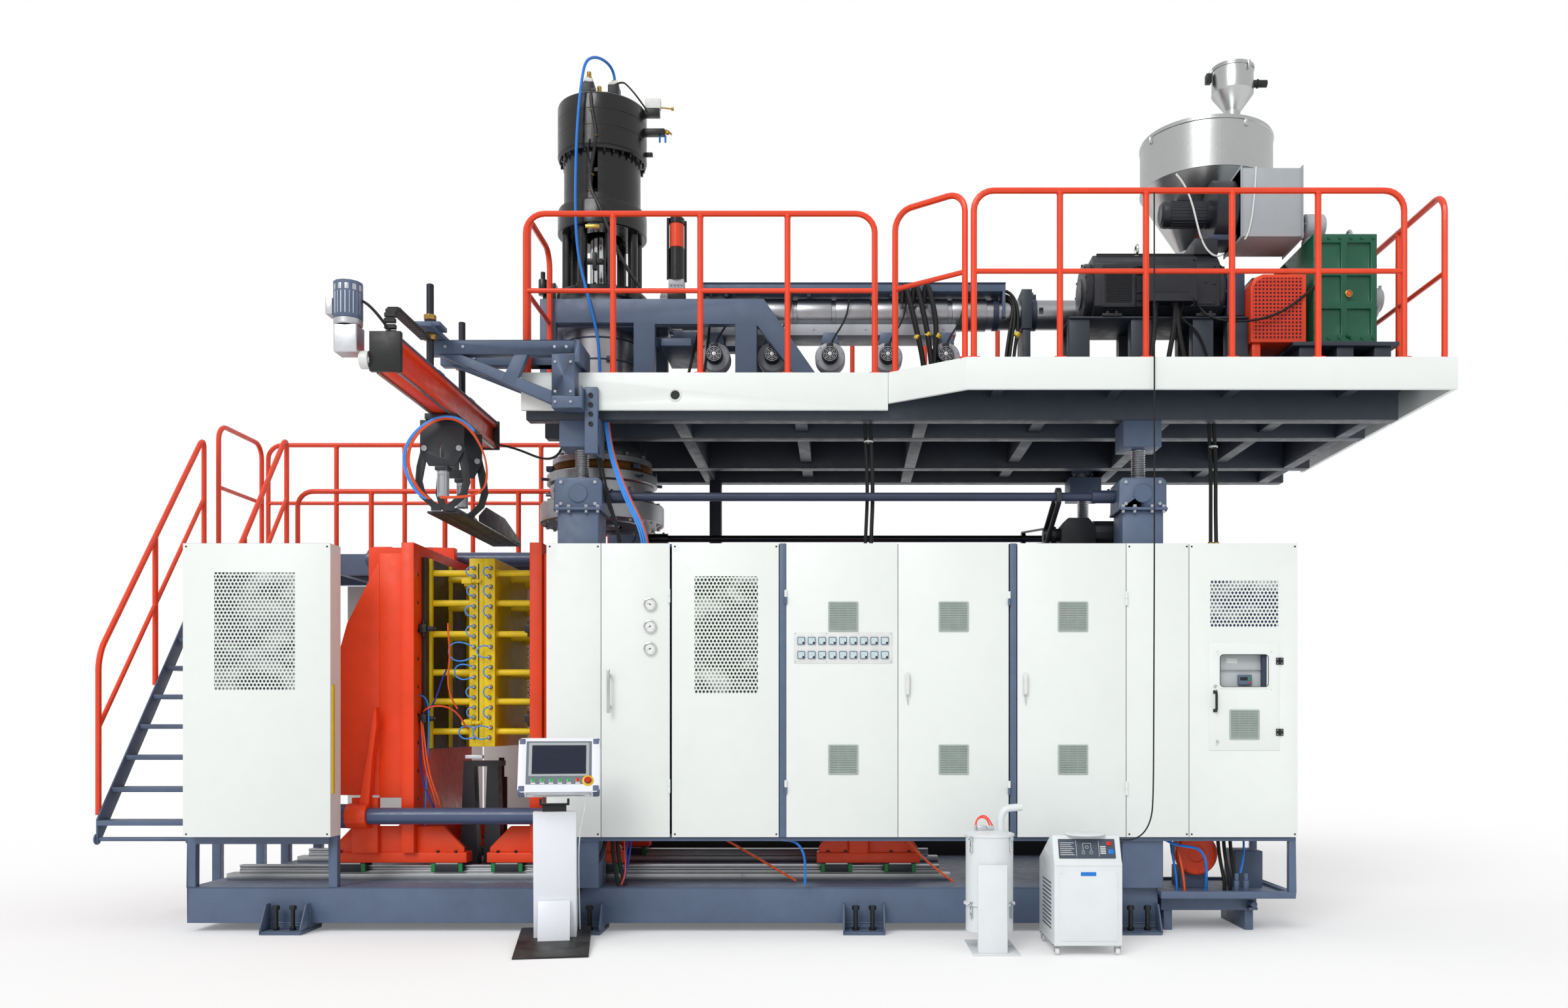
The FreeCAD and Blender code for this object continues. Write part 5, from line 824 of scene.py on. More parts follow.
def makeMeters():
    # eighteen square meters in two rows on their own plate
    plate = Shape().plate(rounded(-325, 1864, 681, 216, 3, 2), -3, "XZ", 0, 0.6)
    plate.finish("meter_plate", "door_one", "whitePlastic", "pale_plastic")
    rims = Shape()
    faces = Shape()
    marks = Shape()
    for i in range(18):
        x = -273 + 71.8 * (i % 9)
        z = 1922 + 98 * (i // 9)
        rims.plate(rounded(x - 26, z - 26, 52, 52, 3, 3), -9, "XZ", -3, 1.2, 2,
                   [rounded(x - 21.5, z - 21.5, 43, 43, 2, 2)])
        faces.box((x - 22, -9.5, z - 22), (44, 5, 44), 0)
        marks.lathe((x + 15, -9.4, z - 15), toFront, [(0, 2), (7, 1.8), (8, 0)], 12)
        swing = math.radians(110 + 9 * ((i * 7) % 5))
        marks.rod((x + 15, -10, z - 15),
                  (x + 15 + 27 * math.cos(swing), -10, z - 15 + 27 * math.sin(swing)), 0.5, sides=6)
        for k in range(7):
            tick = math.radians(95 + 80 * k / 6)
            marks.rod((x + 15 + 28 * math.cos(tick), -9.7, z - 15 + 28 * math.sin(tick)),
                      (x + 15 + 33 * math.cos(tick), -9.7, z - 15 + 33 * math.sin(tick)), 0.45, sides=4)
    for x in (-314, -101, 122, 345):
        for z in (1875, 2069):
            rims.lathe((x, -3, z), toFront, [(0, 1.6), (2.4, 1.4), (3.2, 0)], 8)
    rims.finish("meter_rims", "door_one", "meterRim", "dark_paint")
    faces.finish("meter_faces", "door_one", "meterFace", "pale_plastic")
    marks.finish("meter_marks", "door_one", "gasket", "black_rubber")


def makeGauges():
    # three round pressure gauges, with their ticks and hands, and the pull handle
    bezels = Shape()
    dials = Shape()
    marks = Shape()
    for i, z in enumerate((1965, 2118, 2270)):
        x = -1311
        bezels.lathe((x, 0, z), toFront,
                     [(44, 0), (45, 3), (45, 17), (43, 21), (39, 22), (36.5, 19), (36, 14)], 40)
        dials.lathe((x, -13, z), toFront, [(0, 1), (37, 1)], 40)
        for k in range(31):
            angle = math.radians(225 - 9 * k)
            inner = 27 if k % 5 == 0 else 30
            marks.rod((x + inner * math.cos(angle), -14.4, z + inner * math.sin(angle)),
                      (x + 34 * math.cos(angle), -14.4, z + 34 * math.sin(angle)),
                      0.7 if k % 5 == 0 else 0.4, sides=4)
        hand = math.radians((205, 214, 160)[i])
        marks.rod((x - 8 * math.cos(hand), -16, z - 8 * math.sin(hand)),
                  (x + 28 * math.cos(hand), -16, z + 28 * math.sin(hand)), 1.3, 0.4, sides=6)
        marks.lathe((x, -14, z), toFront, [(0, 4.5), (3.5, 4), (5, 0)], 14)
    bezels.finish("gauge_bezels", "gauge_door", "chrome", "stainless")
    dials.finish("gauge_dials", "gauge_door", "dialWhite", "pale_plastic")
    marks.finish("gauge_marks", "gauge_door", "gasket", "black_rubber")
    x = -1590
    grip = Shape().rod((x, -51, 1523), (x, -51, 1818), 11, sides=24, bevel=2)
    for z in (1563, 1778):
        grip.lathe((x, 0, z), toFront, [(13, 0), (13, 3), (9, 5), (8, 46)], 20)
    grip.finish("pull_handle", "gauge_door", "stainless", "stainless")


def makeHinges():
    for name, x, lows, look in (("panel", -1181, (973, 2280), "pale"), ("one", -379, (966, 2273), "slate"),
                                ("two", 1157, (961, 2262), "slate"), ("three", 1963, (958, 2262), "pale")):
        low = Shape()
        high = Shape()
        for z in lows:
            low.lathe((x, -9, z), toTop, [(0, 0), (7, 0), (9, 2), (9, 46), (0, 46)], 16)
            low.box((x - 4, -9, z), (8, 9, 46), 0.8, 1)
            high.lathe((x, -9, z + 48), toTop, [(0, 0), (9, 0), (9, 46), (7, 48), (0, 48)], 16)
            high.box((x - 4, -9, z + 48), (8, 9, 46), 0.8, 1)
        low.finish("hinge_low_" + name, "base", look, "grey_paint" if look == "slate" else "pale_paint")
        high.finish("hinge_high_" + name, "base", "pale", "pale_paint")


def makeSwingHandles():
    for label, door, x in (("handle_two", "door_two", 458), ("handle_three", "door_three", 1268)):
        base = Shape().plate(rounded(x - 20, 1635, 40, 170, 19, 6), -7, "XZ", 0, 2.2, 3)
        base.finish(label + "_base", door, "whitePlastic", "pale_plastic")
        # the lever narrows towards its free end and carries the lock at its neck
        lever = Shape().plate([(x - 11, 1660), (x - 7, 1650), (x + 7, 1650), (x + 11, 1660), (x + 14, 1770),
                               (x + 12, 1788), (x, 1795), (x - 12, 1788), (x - 14, 1770)], -15, "XZ", -17,
                              3.5, 3)
        lever.rod((x, -8, 1775), (x, -19, 1775), 11, sides=20)
        lever.finish(label + "_lever", label, "whitePlastic", "pale_plastic", replaces=(label,))
        lock = Shape().lathe((x, -7, 1648), toFront, [(0, 6), (7, 6), (8.5, 4), (8.5, 0)], 20)
        lock.ring((x, -14, 1634), (0, 1, 0), 9, 1.1, 16, 6)
        lock.box((x - 4, -14, 1598), (8, 2, 30), 0.6, 1).box((x - 1, -13.6, 1580), (5, 1.4, 22), 0.4, 1)
        lock.finish(label + "_lock", door, "chrome", "stainless")


def makeInsetDoor():
    # window with a rubber edge, the instrument behind it, a grab handle, two hinges and a lock
    left, low, wide, high = 2600, 1698, 344, 232
    seal = Shape().plate(rounded(left - 9, low - 9, wide + 18, high + 18, 34), -3, "XZ", -3.6, 1, 2,
                         [rounded(left + 3, low + 3, wide - 6, high - 6, 26)])
    seal.finish("window_seal", "inset_door", "pale", "pale_paint")
    edge = Shape().plate(rounded(left + 1, low + 1, wide - 2, high - 2, 27), -2, "XZ", -3.4, 0.6, 1,
                         [rounded(left + 7, low + 7, wide - 14, high - 14, 23)])
    edge.finish("window_edge", "inset_door", "gasket", "black_rubber")
    inside = Shape().box((2592, 62, 1690), (360, 3, 250), 0).box((2592, 40, 1822), (330, 22, 3), 0.6)
    inside.finish("mounting_plate", "base", "lightGrey", "pale_paint")
    # a dark box at the right of the window, painted shade inside it
    Shape().box((2905, 20, 1690), (40, 40, 250), 1).finish("window_shade_strip", "base", "slateDark", "dark_paint")
    Shape().box((2745, 30, 1716), (92, 32, 72), 5, 3).finish("instrument", "base", "slate", "grey_paint")
    screen = Shape().box((2754, 28.5, 1748), (52, 3, 24), 1)
    screen.finish("instrument_screen", "base", "blackPlastic", "black_steel")
    keys = Shape().box((2812, 28.5, 1748), (16, 3, 9), 1).box((2812, 28.5, 1761), (16, 3, 9), 1)
    keys.finish("instrument_keys", "base", "greenPlastic", "pale_plastic")
    stop = Shape().box((2812, 28.5, 1728), (16, 3, 10), 1)
    stop.finish("instrument_stop", "base", "redPlastic", "red_button")
    tag = Shape().box((2668, 61, 1868), (76, 1, 34), 0, turn=turned(3, "Y"))
    tag.finish("instrument_tag", "base", "whitePlastic", "pale_plastic")
    x = 2572
    grip = Shape().tube([(x, -4, 1668), (x, -37, 1668), (x, -37, 1540), (x, -4, 1540)], 9, 16, 16)
    for z in (1540, 1668):
        grip.box((x - 14, -8, z - 12), (28, 4.5, 24), 2, 2)
    grip.finish("inset_handle", "inset_door", "blackPlastic", "black_steel")
    lock = Shape().lathe((x, -3.5, 1708), toFront, [(0, 5), (10, 5), (13, 3), (14, 0)], 24)
    lock.lathe((2585, -3.5, 1330), toFront, [(0, 9), (6, 9), (8, 7), (8, 0)], 16)
    lock.box((2583, -16, 1300), (4, 3, 34), 0.6, 1, turn=turned(38, "Y"))
    for dx in (-14, wide + 14):
        for dz in (-14, high + 14):
            lock.lathe((left + dx, -3.5, low + dz), toFront, [(0, 2), (3, 1.8), (4, 0)], 8)
    lock.finish("inset_lock", "inset_door", "chrome", "stainless")
    hinge = Shape()
    for z in (1391, 1880):
        hinge.box((2990, -9, z - 24), (23, 5.5, 48), 1.5)
        hinge.box((3019, -5, z - 24), (23, 5, 48), 1.5)
        hinge.rod((3016, -9, z - 24), (3016, -9, z + 24), 6, sides=14)
    hinge.finish("inset_hinges", "base", "black", "black_steel")
    screws = Shape()
    for z in (1391, 1880):
        for dx in (3001, 3031):
            for dz in (-14, 14):
                screws.lathe((dx, -9 if dx < 3010 else -5, z + dz), toFront,
                             [(0, 1.8), (3.4, 1.6), (4.6, 0)], 8)
    screws.finish("inset_hinge_screws", "base", "chrome", "stainless")


makeSheets()
makeVents()
makeMeters()
makeGauges()
makeHinges()
makeSwingHandles()
makeInsetDoor()
print("cabinet fronts made")


# accumulator head and the cylinder above it

headLine = {"x": -1863, "y": 1190}
paint("blackGloss", (9, 10, 13), 0.26, 0.3, 0.06, 0.05, coat=0.2, scuffs=0.15, worn=(70, 72, 76))
paint("castGrey", (176, 180, 186), 0.4, 0.1, 0.2, 0.3)
metal("burnt", (120, 84, 44), 0.4, (2, 2, 30), 0.35, 0.7, (70, 40, 18))


def makePushCylinder():
    x, y = headLine["x"], headLine["y"]
    body = Shape()
    body.lathe((x, y, 0), toTop, [(154, 4700), (349, 4700), (349, 4764), (343, 4770), (154, 4770)], 72)
    body.lathe((x, y, 0), toTop,
               [(154, 5233), (334, 5233), (342, 5241), (342, 5405), (334, 5425), (296, 5433), (294, 5483),
                (154, 5483)], 72)
    body.lathe((x, y, 0), toTop, [(154, 5640), (294, 5640), (294, 5668), (154, 5668)], 72)
    body.lathe((x, y, 0), toTop,
               [(154, 5790), (294, 5790), (294, 5806), (330, 5808), (338, 5822), (338, 5834), (342, 5836),
                (342, 5975), (340.5, 5977), (342, 5979), (342, 6098), (340.5, 6100), (342, 6102),
                (342, 6205), (336, 6222), (322, 6232), (0, 6236)], 72)
    gap = math.radians(3.6)
    for low, high in ((5483, 5640), (5668, 5790)):
        body.lathe((x, y, 0), toTop, [(154, low), (294, low), (294, high), (154, high)], 70, 352.8,
                   (math.sin(gap), -math.cos(gap), 0))
        for side in (-20, 18):
            body.box((x + side, y - 292, low), (2, 138, high - low), 0)
    for c, s in around(8, math.radians(22.5)):
        body.rod((x + 274 * c, y + 274 * s, 4770), (x + 274 * c, y + 274 * s, 5233), 38, sides=28)
        body.lathe((x + 274 * c, y + 274 * s, 4770), toTop, [(48, 0), (48, 26), (42, 32), (38, 34)], 20)
    body.studs((x, y, 5782), "z", 26, 318, 28, 10).studs((x, y, 4770), "z", 16, 322, 16, 12)
    body.lathe((x, y, 6236), toTop, [(171, 0), (171, 22), (165, 28), (120, 28), (112, 60), (0, 60)], 48)
    body.plate([(x - 359, 4640), (x - 469, 4640), (x - 454, 4800), (x - 389, 4880), (x - 359, 4880)], 90,
               "XZ", y - 45, 4)
    body.finish("push_cylinder_body", "platform", "blackGloss", "black_steel", replaces=("push_cylinder",))
    blocks = Shape()
    blocks.box((x - 150, y - 60, 6290), (90, 120, 150), 4).box((x + 50, y - 55, 6290), (84, 110, 130), 4)
    blocks.box((x - 60, y - 40, 6296), (110, 80, 74), 4)
    blocks.box((x + 336, y - 60, 6030), (156, 60, 46), 4).box((x + 336, y - 60, 6176), (116, 60, 56), 4)
    blocks.rod((x + 60, y, 6296), (x + 60, y, 6350), 30, sides=20, bevel=2)
    blocks.box((x - 60, y - 320, 4930), (120, 34, 40), 4).box((x - 16, y - 330, 4884), (32, 40, 130), 4)
    blocks.box((x + 340, y - 18, 5880), (52, 34, 28), 3)
    blocks.tube([(x - 20, y - 120, 6300), (x - 22, y - 300, 6262), (x - 24, y - 345, 6200),
                 (x - 16, y - 348, 6080), (x + 12, y - 346, 5960), (x + 14, y - 346, 5860),
                 (x - 12, y - 322, 5740), (x - 40, y - 306, 5600), (x - 30, y - 312, 5490),
                 (x + 30, y - 350, 5380), (x + 110, y - 356, 5180), (x + 190, y - 346, 4990),
                 (x + 270, y - 330, 4850), (x + 330, y - 300, 4770)], 13, 10, 60)
    blocks.tube([(x - 30, y - 345, 5860), (x - 50, y - 346, 5790), (x - 36, y - 322, 5700),
                 (x - 20, y - 308, 5590), (x - 34, y - 306, 5500)], 7, 8, 40)
    blocks.tube([(x + 90, y - 30, 6420), (x + 170, y - 60, 6440), (x + 260, y - 120, 6330),
                 (x + 352, y - 80, 6214)], 7, 8, 60)
    blocks.finish("push_cylinder_valves", "platform", "blackPlastic", "black_steel")
    fittings = Shape()
    for dx, dy, z, r, high in ((-105, 0, 6440, 26, 60), (-105, 0, 6500, 19, 40), (92, 0, 6420, 22, 50),
                               (-20, -20, 6370, 18, 46)):
        fittings.rod((x + dx, y + dy, z), (x + dx, y + dy, z + high), r, sides=6, bevel=1.5)
    fittings.rod((x + 392, y - 30, 6052), (x + 500, y - 30, 6052), 9, sides=14)
    fittings.lathe((x + 500, y - 30, 6052), toRight, [(9, 0), (15, 4), (15, 22), (9, 26), (0, 27)], 16)
    fittings.rod((x + 456, y - 30, 6250), (x + 540, y - 30, 6240), 6, sides=12)
    fittings.lathe((x + 540, y - 30, 6240), (1, 0, -0.1), [(6, 0), (13, 3), (13, 20), (0, 22)], 12)
    fittings.tube([(x + 480, y - 40, 6070), (x + 520, y - 40, 6062), (x + 545, y - 40, 6034)], 8, 10, 20)
    for dx, z in ((-24, 6076), (16, 5880), (-14, 5600), (-38, 5480), (200, 4960)):
        fittings.ring((x + dx, y - 348 if z > 5800 else y - 318, z), (0.2, 0, 1), 14.5, 2.2, 16, 6)
    fittings.box((x - 70, y - 330, 5196), (110, 22, 26), 2)
    fittings.finish("push_cylinder_fittings", "platform", "brass", "stainless")
    caps = Shape()
    caps.box((x + 340, y - 52, 6236), (120, 52, 78), 6, 3)
    caps.box((x - 138, y - 44, 6446), (66, 88, 34), 6, 3, turn=turned(14, "Y"))
    caps.box((x + 56, y - 40, 6424), (70, 80, 30), 6, 3, turn=turned(-16, "Y"))
    caps.finish("push_cylinder_caps", "platform", "whitePlastic", "pale_plastic")
    tails = Shape()
    for dx in (452, 496):
        tails.rod((x + dx, y - 34, 6030), (x + dx, y - 34, 5976), 8, sides=12)
    tails.finish("push_cylinder_tails", "platform", "bluePlastic", "blue_hose")


def makeHead():
    x, y = headLine["x"], headLine["y"]
    steel = Shape()
    steel.lathe((x, y, 0), toTop,
                [(149, 2990), (300, 2990), (306, 2994), (470, 2994), (476, 3000), (476, 3132), (470, 3140),
                 (404, 3140), (398, 3146), (398, 3284), (392, 3290)], 72)
    steel.lathe((x, y, 0), toTop,
                [(392, 3290), (419, 3292), (424, 3298), (424, 3364), (419, 3370), (384, 3370)], 72)
    steel.lathe((x, y, 0), toTop,
                [(378, 3440), (381, 3442), (381, 3484), (376, 3490), (340, 3490), (334, 3496), (334, 3562),
                 (330, 3570), (300, 3570), (298, 3574), (298, 3700)], 72)
    for z0, z1, r in ((3700, 3876, 299), (3880, 4050, 301), (4054, 4216, 301), (4220, 4380, 301),
                      (4384, 4620, 299)):
        steel.lathe((x, y, 0), toTop, [(r - 6, z0), (r, z0 + 2), (r, z1 - 2), (r - 6, z1)], 72)
    steel.lathe((x, y, 0), toTop, [(294, 4616), (294, 4700)], 72)
    steel.studs((x, y, 2978), "z", 16, 446, 24, 14, 0.13).studs((x, y, 3140), "z", 18, 448, 24, 14, 0.13)
    for c, s in around(12, 0.2):
        steel.rod((x + 396 * c, y + 396 * s, 3225), (x + 432 * c, y + 432 * s, 3225), 16, sides=14)
    steel.studs((x, y, 3490), "z", 24, 352, 12, 15, 0.2)
    steel.finish("head_rings", "platform", "turned", "bright_steel", replaces=("accumulator_head",))
    band = Shape()
    band.lathe((x, y, 0), toTop, [(380, 3370), (386, 3374), (386, 3436), (380, 3440)], 72)
    for z in (3384, 3424):
        band.lathe((x, y, 0), toTop, [(386, z), (389, z + 2), (389, z + 6), (386, z + 8)], 72)
    band.lathe((x, y, 0), toTop, [(399, 3150), (402, 3153), (402, 3168), (399, 3171)], 72)
    band.finish("head_band", "platform", "burnt", "bright_steel")
    dark = Shape()
    for z in (3878, 4052, 4218, 4382):
        dark.lathe((x, y, 0), toTop, [(300, z - 8), (304, z - 6), (304, z + 6), (300, z + 8)], 64)
    for c, s in around(6, math.radians(-100)):
        dark.box((x + 402 * c - 26, y + 402 * s - 26, 3390), (52, 52, 40), 4)
        dark.rod((x + 386 * c, y + 386 * s, 3330), (x + 470 * c, y + 470 * s, 3330), 12, sides=12)
    dark.box((x - 34, y - 330, 4030), (68, 34, 44), 3).box((x + 90, y - 316, 4196), (60, 30, 40), 3)
    dark.box((x + 240, y - 130, 4510), (228, 260, 190), 8)
    dark.lathe((x, y, 0), toTop, [(150, 2986), (296, 2986), (300, 2992)], 48)
    dark.finish("head_fittings", "platform", "slateDark", "dark_paint")
    core = Shape()
    core.lathe((x, y, 0), toTop,
               [(0, 2978), (118, 2978), (131, 2990), (131, 3040), (80, 3050), (80, 3180), (45, 3190),
                (45, 3300)], 48)
    core.finish("die_core_turned", "die_core", "turned", "bright_steel", replaces=("die_core",))
    rod = Shape()
    rod.lathe((x, y, 0), toTop,
              [(46, 3630), (148, 3630), (148, 3924), (142, 3930), (95, 3930), (95, 5596), (88, 5606),
               (46, 5606)], 40)
    rod.finish("ram_polished", "ram", "chrome", "chromed", replaces=("ram",))


def makeHeadFrame():
    edged("head_frame", "platform", "slate", "grey_paint", 4,
          pick=lambda low, high: high[0] - low[0] > 1000 or high[2] < 4600)
    # the small hydraulic cylinder that stands on the frame
    x, y = headLine["x"] + 625, headLine["y"] - 345
    body = Shape()
    body.lathe((x, y, 4790), toTop,
               [(0, 0), (58, 0), (58, 236), (50, 240), (50, 420), (58, 424), (58, 462), (52, 470),
                (0, 470)], 32)
    body.box((x - 66, y - 44, 4640), (132, 88, 66), 4)
    body.rod((x - 62, y - 30, 4790), (x - 62, y - 30, 5250), 10, sides=12)
    body.rod((x + 62, y + 30, 4790), (x + 62, y + 30, 5250), 10, sides=12)
    body.finish("head_cylinder", "platform", "blackGloss", "black_steel")
    tube = Shape().lathe((x, y, 5034), toTop, [(51, 0), (53, 3), (53, 176), (51, 179)], 32)
    tube.finish("head_cylinder_tube", "platform", "orange", "orange_paint")
    valve = Shape().box((x - 58, y - 40, 4706), (116, 76, 84), 3)
    for i in range(4):
        valve.rod((x - 40 + 26 * i, y - 40, 4748), (x - 40 + 26 * i, y - 54, 4748), 7, sides=12)
    valve.finish("head_cylinder_valve", "platform", "castGrey", "bright_steel")
    # hydraulic block at the left of the flange
    side = Shape().rod((x - 1080, y + 300, 4780), (x - 1080, y + 300, 4900), 34, sides=24, bevel=3)
    side.rod((x - 1080, y + 300, 4900), (x - 1080, y + 300, 4960), 18, sides=16)
    side.finish("side_plunger", "platform", "blackGloss", "black_steel")


makePushCylinder()
makeHead()
makeHeadFrame()
print("head made")


# handrails

railing = {"radius": 21, "middle": 17, "high": 1109, "bend": 130}


def rail(shape, start, end, posts, tall=None, mid=True):
    # a hoop with bent corners from one foot to the other, its posts and the middle tube
    a = Vector(start)
    b = Vector(end)
    ahead = (b - a).normalized()
    up = Vector(toTop)
    high = (tall - railing["radius"]) if tall else railing["high"]
    shape.tube([a, a + up * high, b + up * high, b], railing["radius"], 14, railing["bend"])
    for along in posts:
        p = a + ahead * along
        shape.rod(p, p + up * (high - 6), railing["radius"], sides=14, caps=False)
        shape.lathe(p + up * (high - 30), toTop, [(21, 0), (24, 4), (21, 10)], 14)
    if mid:
        level = up * (high * 0.52)
        shape.rod(a + level, b + level, railing["middle"], sides=12, caps=False)
    for p in (a, b, *[a + ahead * along for along in posts]):
        shape.box((p.x - 38, p.y - 30, p.z), (76, 60, 8), 1.5, 1)
        for side in (-28, 28):
            shape.rod((p.x + side, p.y, p.z + 8), (p.x + side, p.y, p.z + 15), 7, sides=6)


stairSet = {"footY": 375, "footZ": 764, "walkY": 2050, "walkZ": 2890, "near": 443, "far": 1959}


def slopedRail(shape, x):
    slope = (stairSet["walkZ"] - stairSet["footZ"]) / (stairSet["walkY"] - stairSet["footY"])
    near, far = stairSet["near"], stairSet["far"]
    middle = (near + far) / 2

    def spot(y, rise):
        return Vector((x, y, stairSet["footZ"] + (y - stairSet["footY"]) * slope + rise))

    shape.tube([spot(near, -60), spot(near, 1100), spot(far, 1100), spot(far, -60)], railing["radius"], 14,
               110)
    shape.rod(spot(middle, -60), spot(middle, 1090), railing["radius"], sides=14, caps=False)
    shape.rod(spot(near, 572), spot(far, 572), railing["middle"], sides=12, caps=False)


def makeRails():
    deck = Shape()
    left, top, front, right, rear = -2178, 3865, -334, 4006, 2440
    long = 324 - 90 - left
    rail(deck, (left, 45, top), (left + long, 45, top), [long * k / 4 for k in (1, 2, 3)])
    rail(deck, (left, 112, top), (left, 760, top), [])
    rail(deck, (374, 20, top), (821, front + 10, top), [])
    long = right - 282 - 879
    rail(deck, (879, front, top), (879 + long, front, top), [long * k / 5 for k in (1, 2, 3, 4)])
    rail(deck, (right, front + 30, top), (right, rear - 60, top),
         [(rear - front) * k / 4 for k in (1, 2, 3)])
    long = right - 70 - (left + 1000)
    rail(deck, (left + 1000, rear, top), (right - 70, rear, top), [long * k / 8 for k in range(1, 8)])
    deck.finish("deck_rails", "platform", "orange", "orange_paint", replaces=("platform_rails",))
    walk = Shape()
    z, left, right, front, rear = stairSet["walkZ"], -5304, -2120, 2085, 2887
    slopedRail(walk, -5365)
    slopedRail(walk, -4669)
    rail(walk, (left, front, z), (left, rear, z), [])
    long = right - left - 60
    rail(walk, (left + 60, rear, z), (right, rear, z), [long * k / 5 for k in (1, 2, 3, 4)])
    long = right - (-4630)
    rail(walk, (-4630, front, z), (right, front, z), [long * k / 4 for k in (1, 2, 3)], 560, False)
    walk.finish("walk_rails", "base", "orange", "orange_paint", replaces=("access_rails",))


# extruder, drive and hopper

drive = {"y": 1190, "z": 4640}
paint("motorBlack", (34, 37, 44), 0.36, 0.3, 0.3, 0.2, scuffs=0.25, worn=(84, 88, 96))
paint("gearGreen", (26, 92, 68), 0.34, 0.2, 0.15, 0.16, scuffs=0.15, worn=(70, 130, 104))
paint("meshGrey", (170, 176, 180), 0.42, 0.08, 0.2, 0.1)
metal("alloy", (206, 208, 212), 0.38, (1, 30, 1), 0.08, 0.15)


def perforatedOrange():
    made = Finish("perforatedOrange", specular=0.4)
    place = made.node("SeparateXYZ", {}, {"Vector": made.place}, "X")
    perMetre = 38.0
    u = (place * perMetre).apply("FRACT") - 0.5
    v = (place.part(2) * perMetre).apply("FRACT") - 0.5
    far = (u * u + v * v).apply("SQRT")
    hole = made.ramp(far, 0.31, 0.26)
    # the holes are painted near black, the shade seen through them
    made.give("Base Color", made.blend(hole, rgb(216, 58, 34), (0.025, 0.008, 0.008, 1)))
    made.give("Roughness", hole * 0.4 + 0.4)
    made.bump(1.0 - hole, 0.6, 0.003)
    finish["perforatedOrange"] = made.material


perforatedOrange()


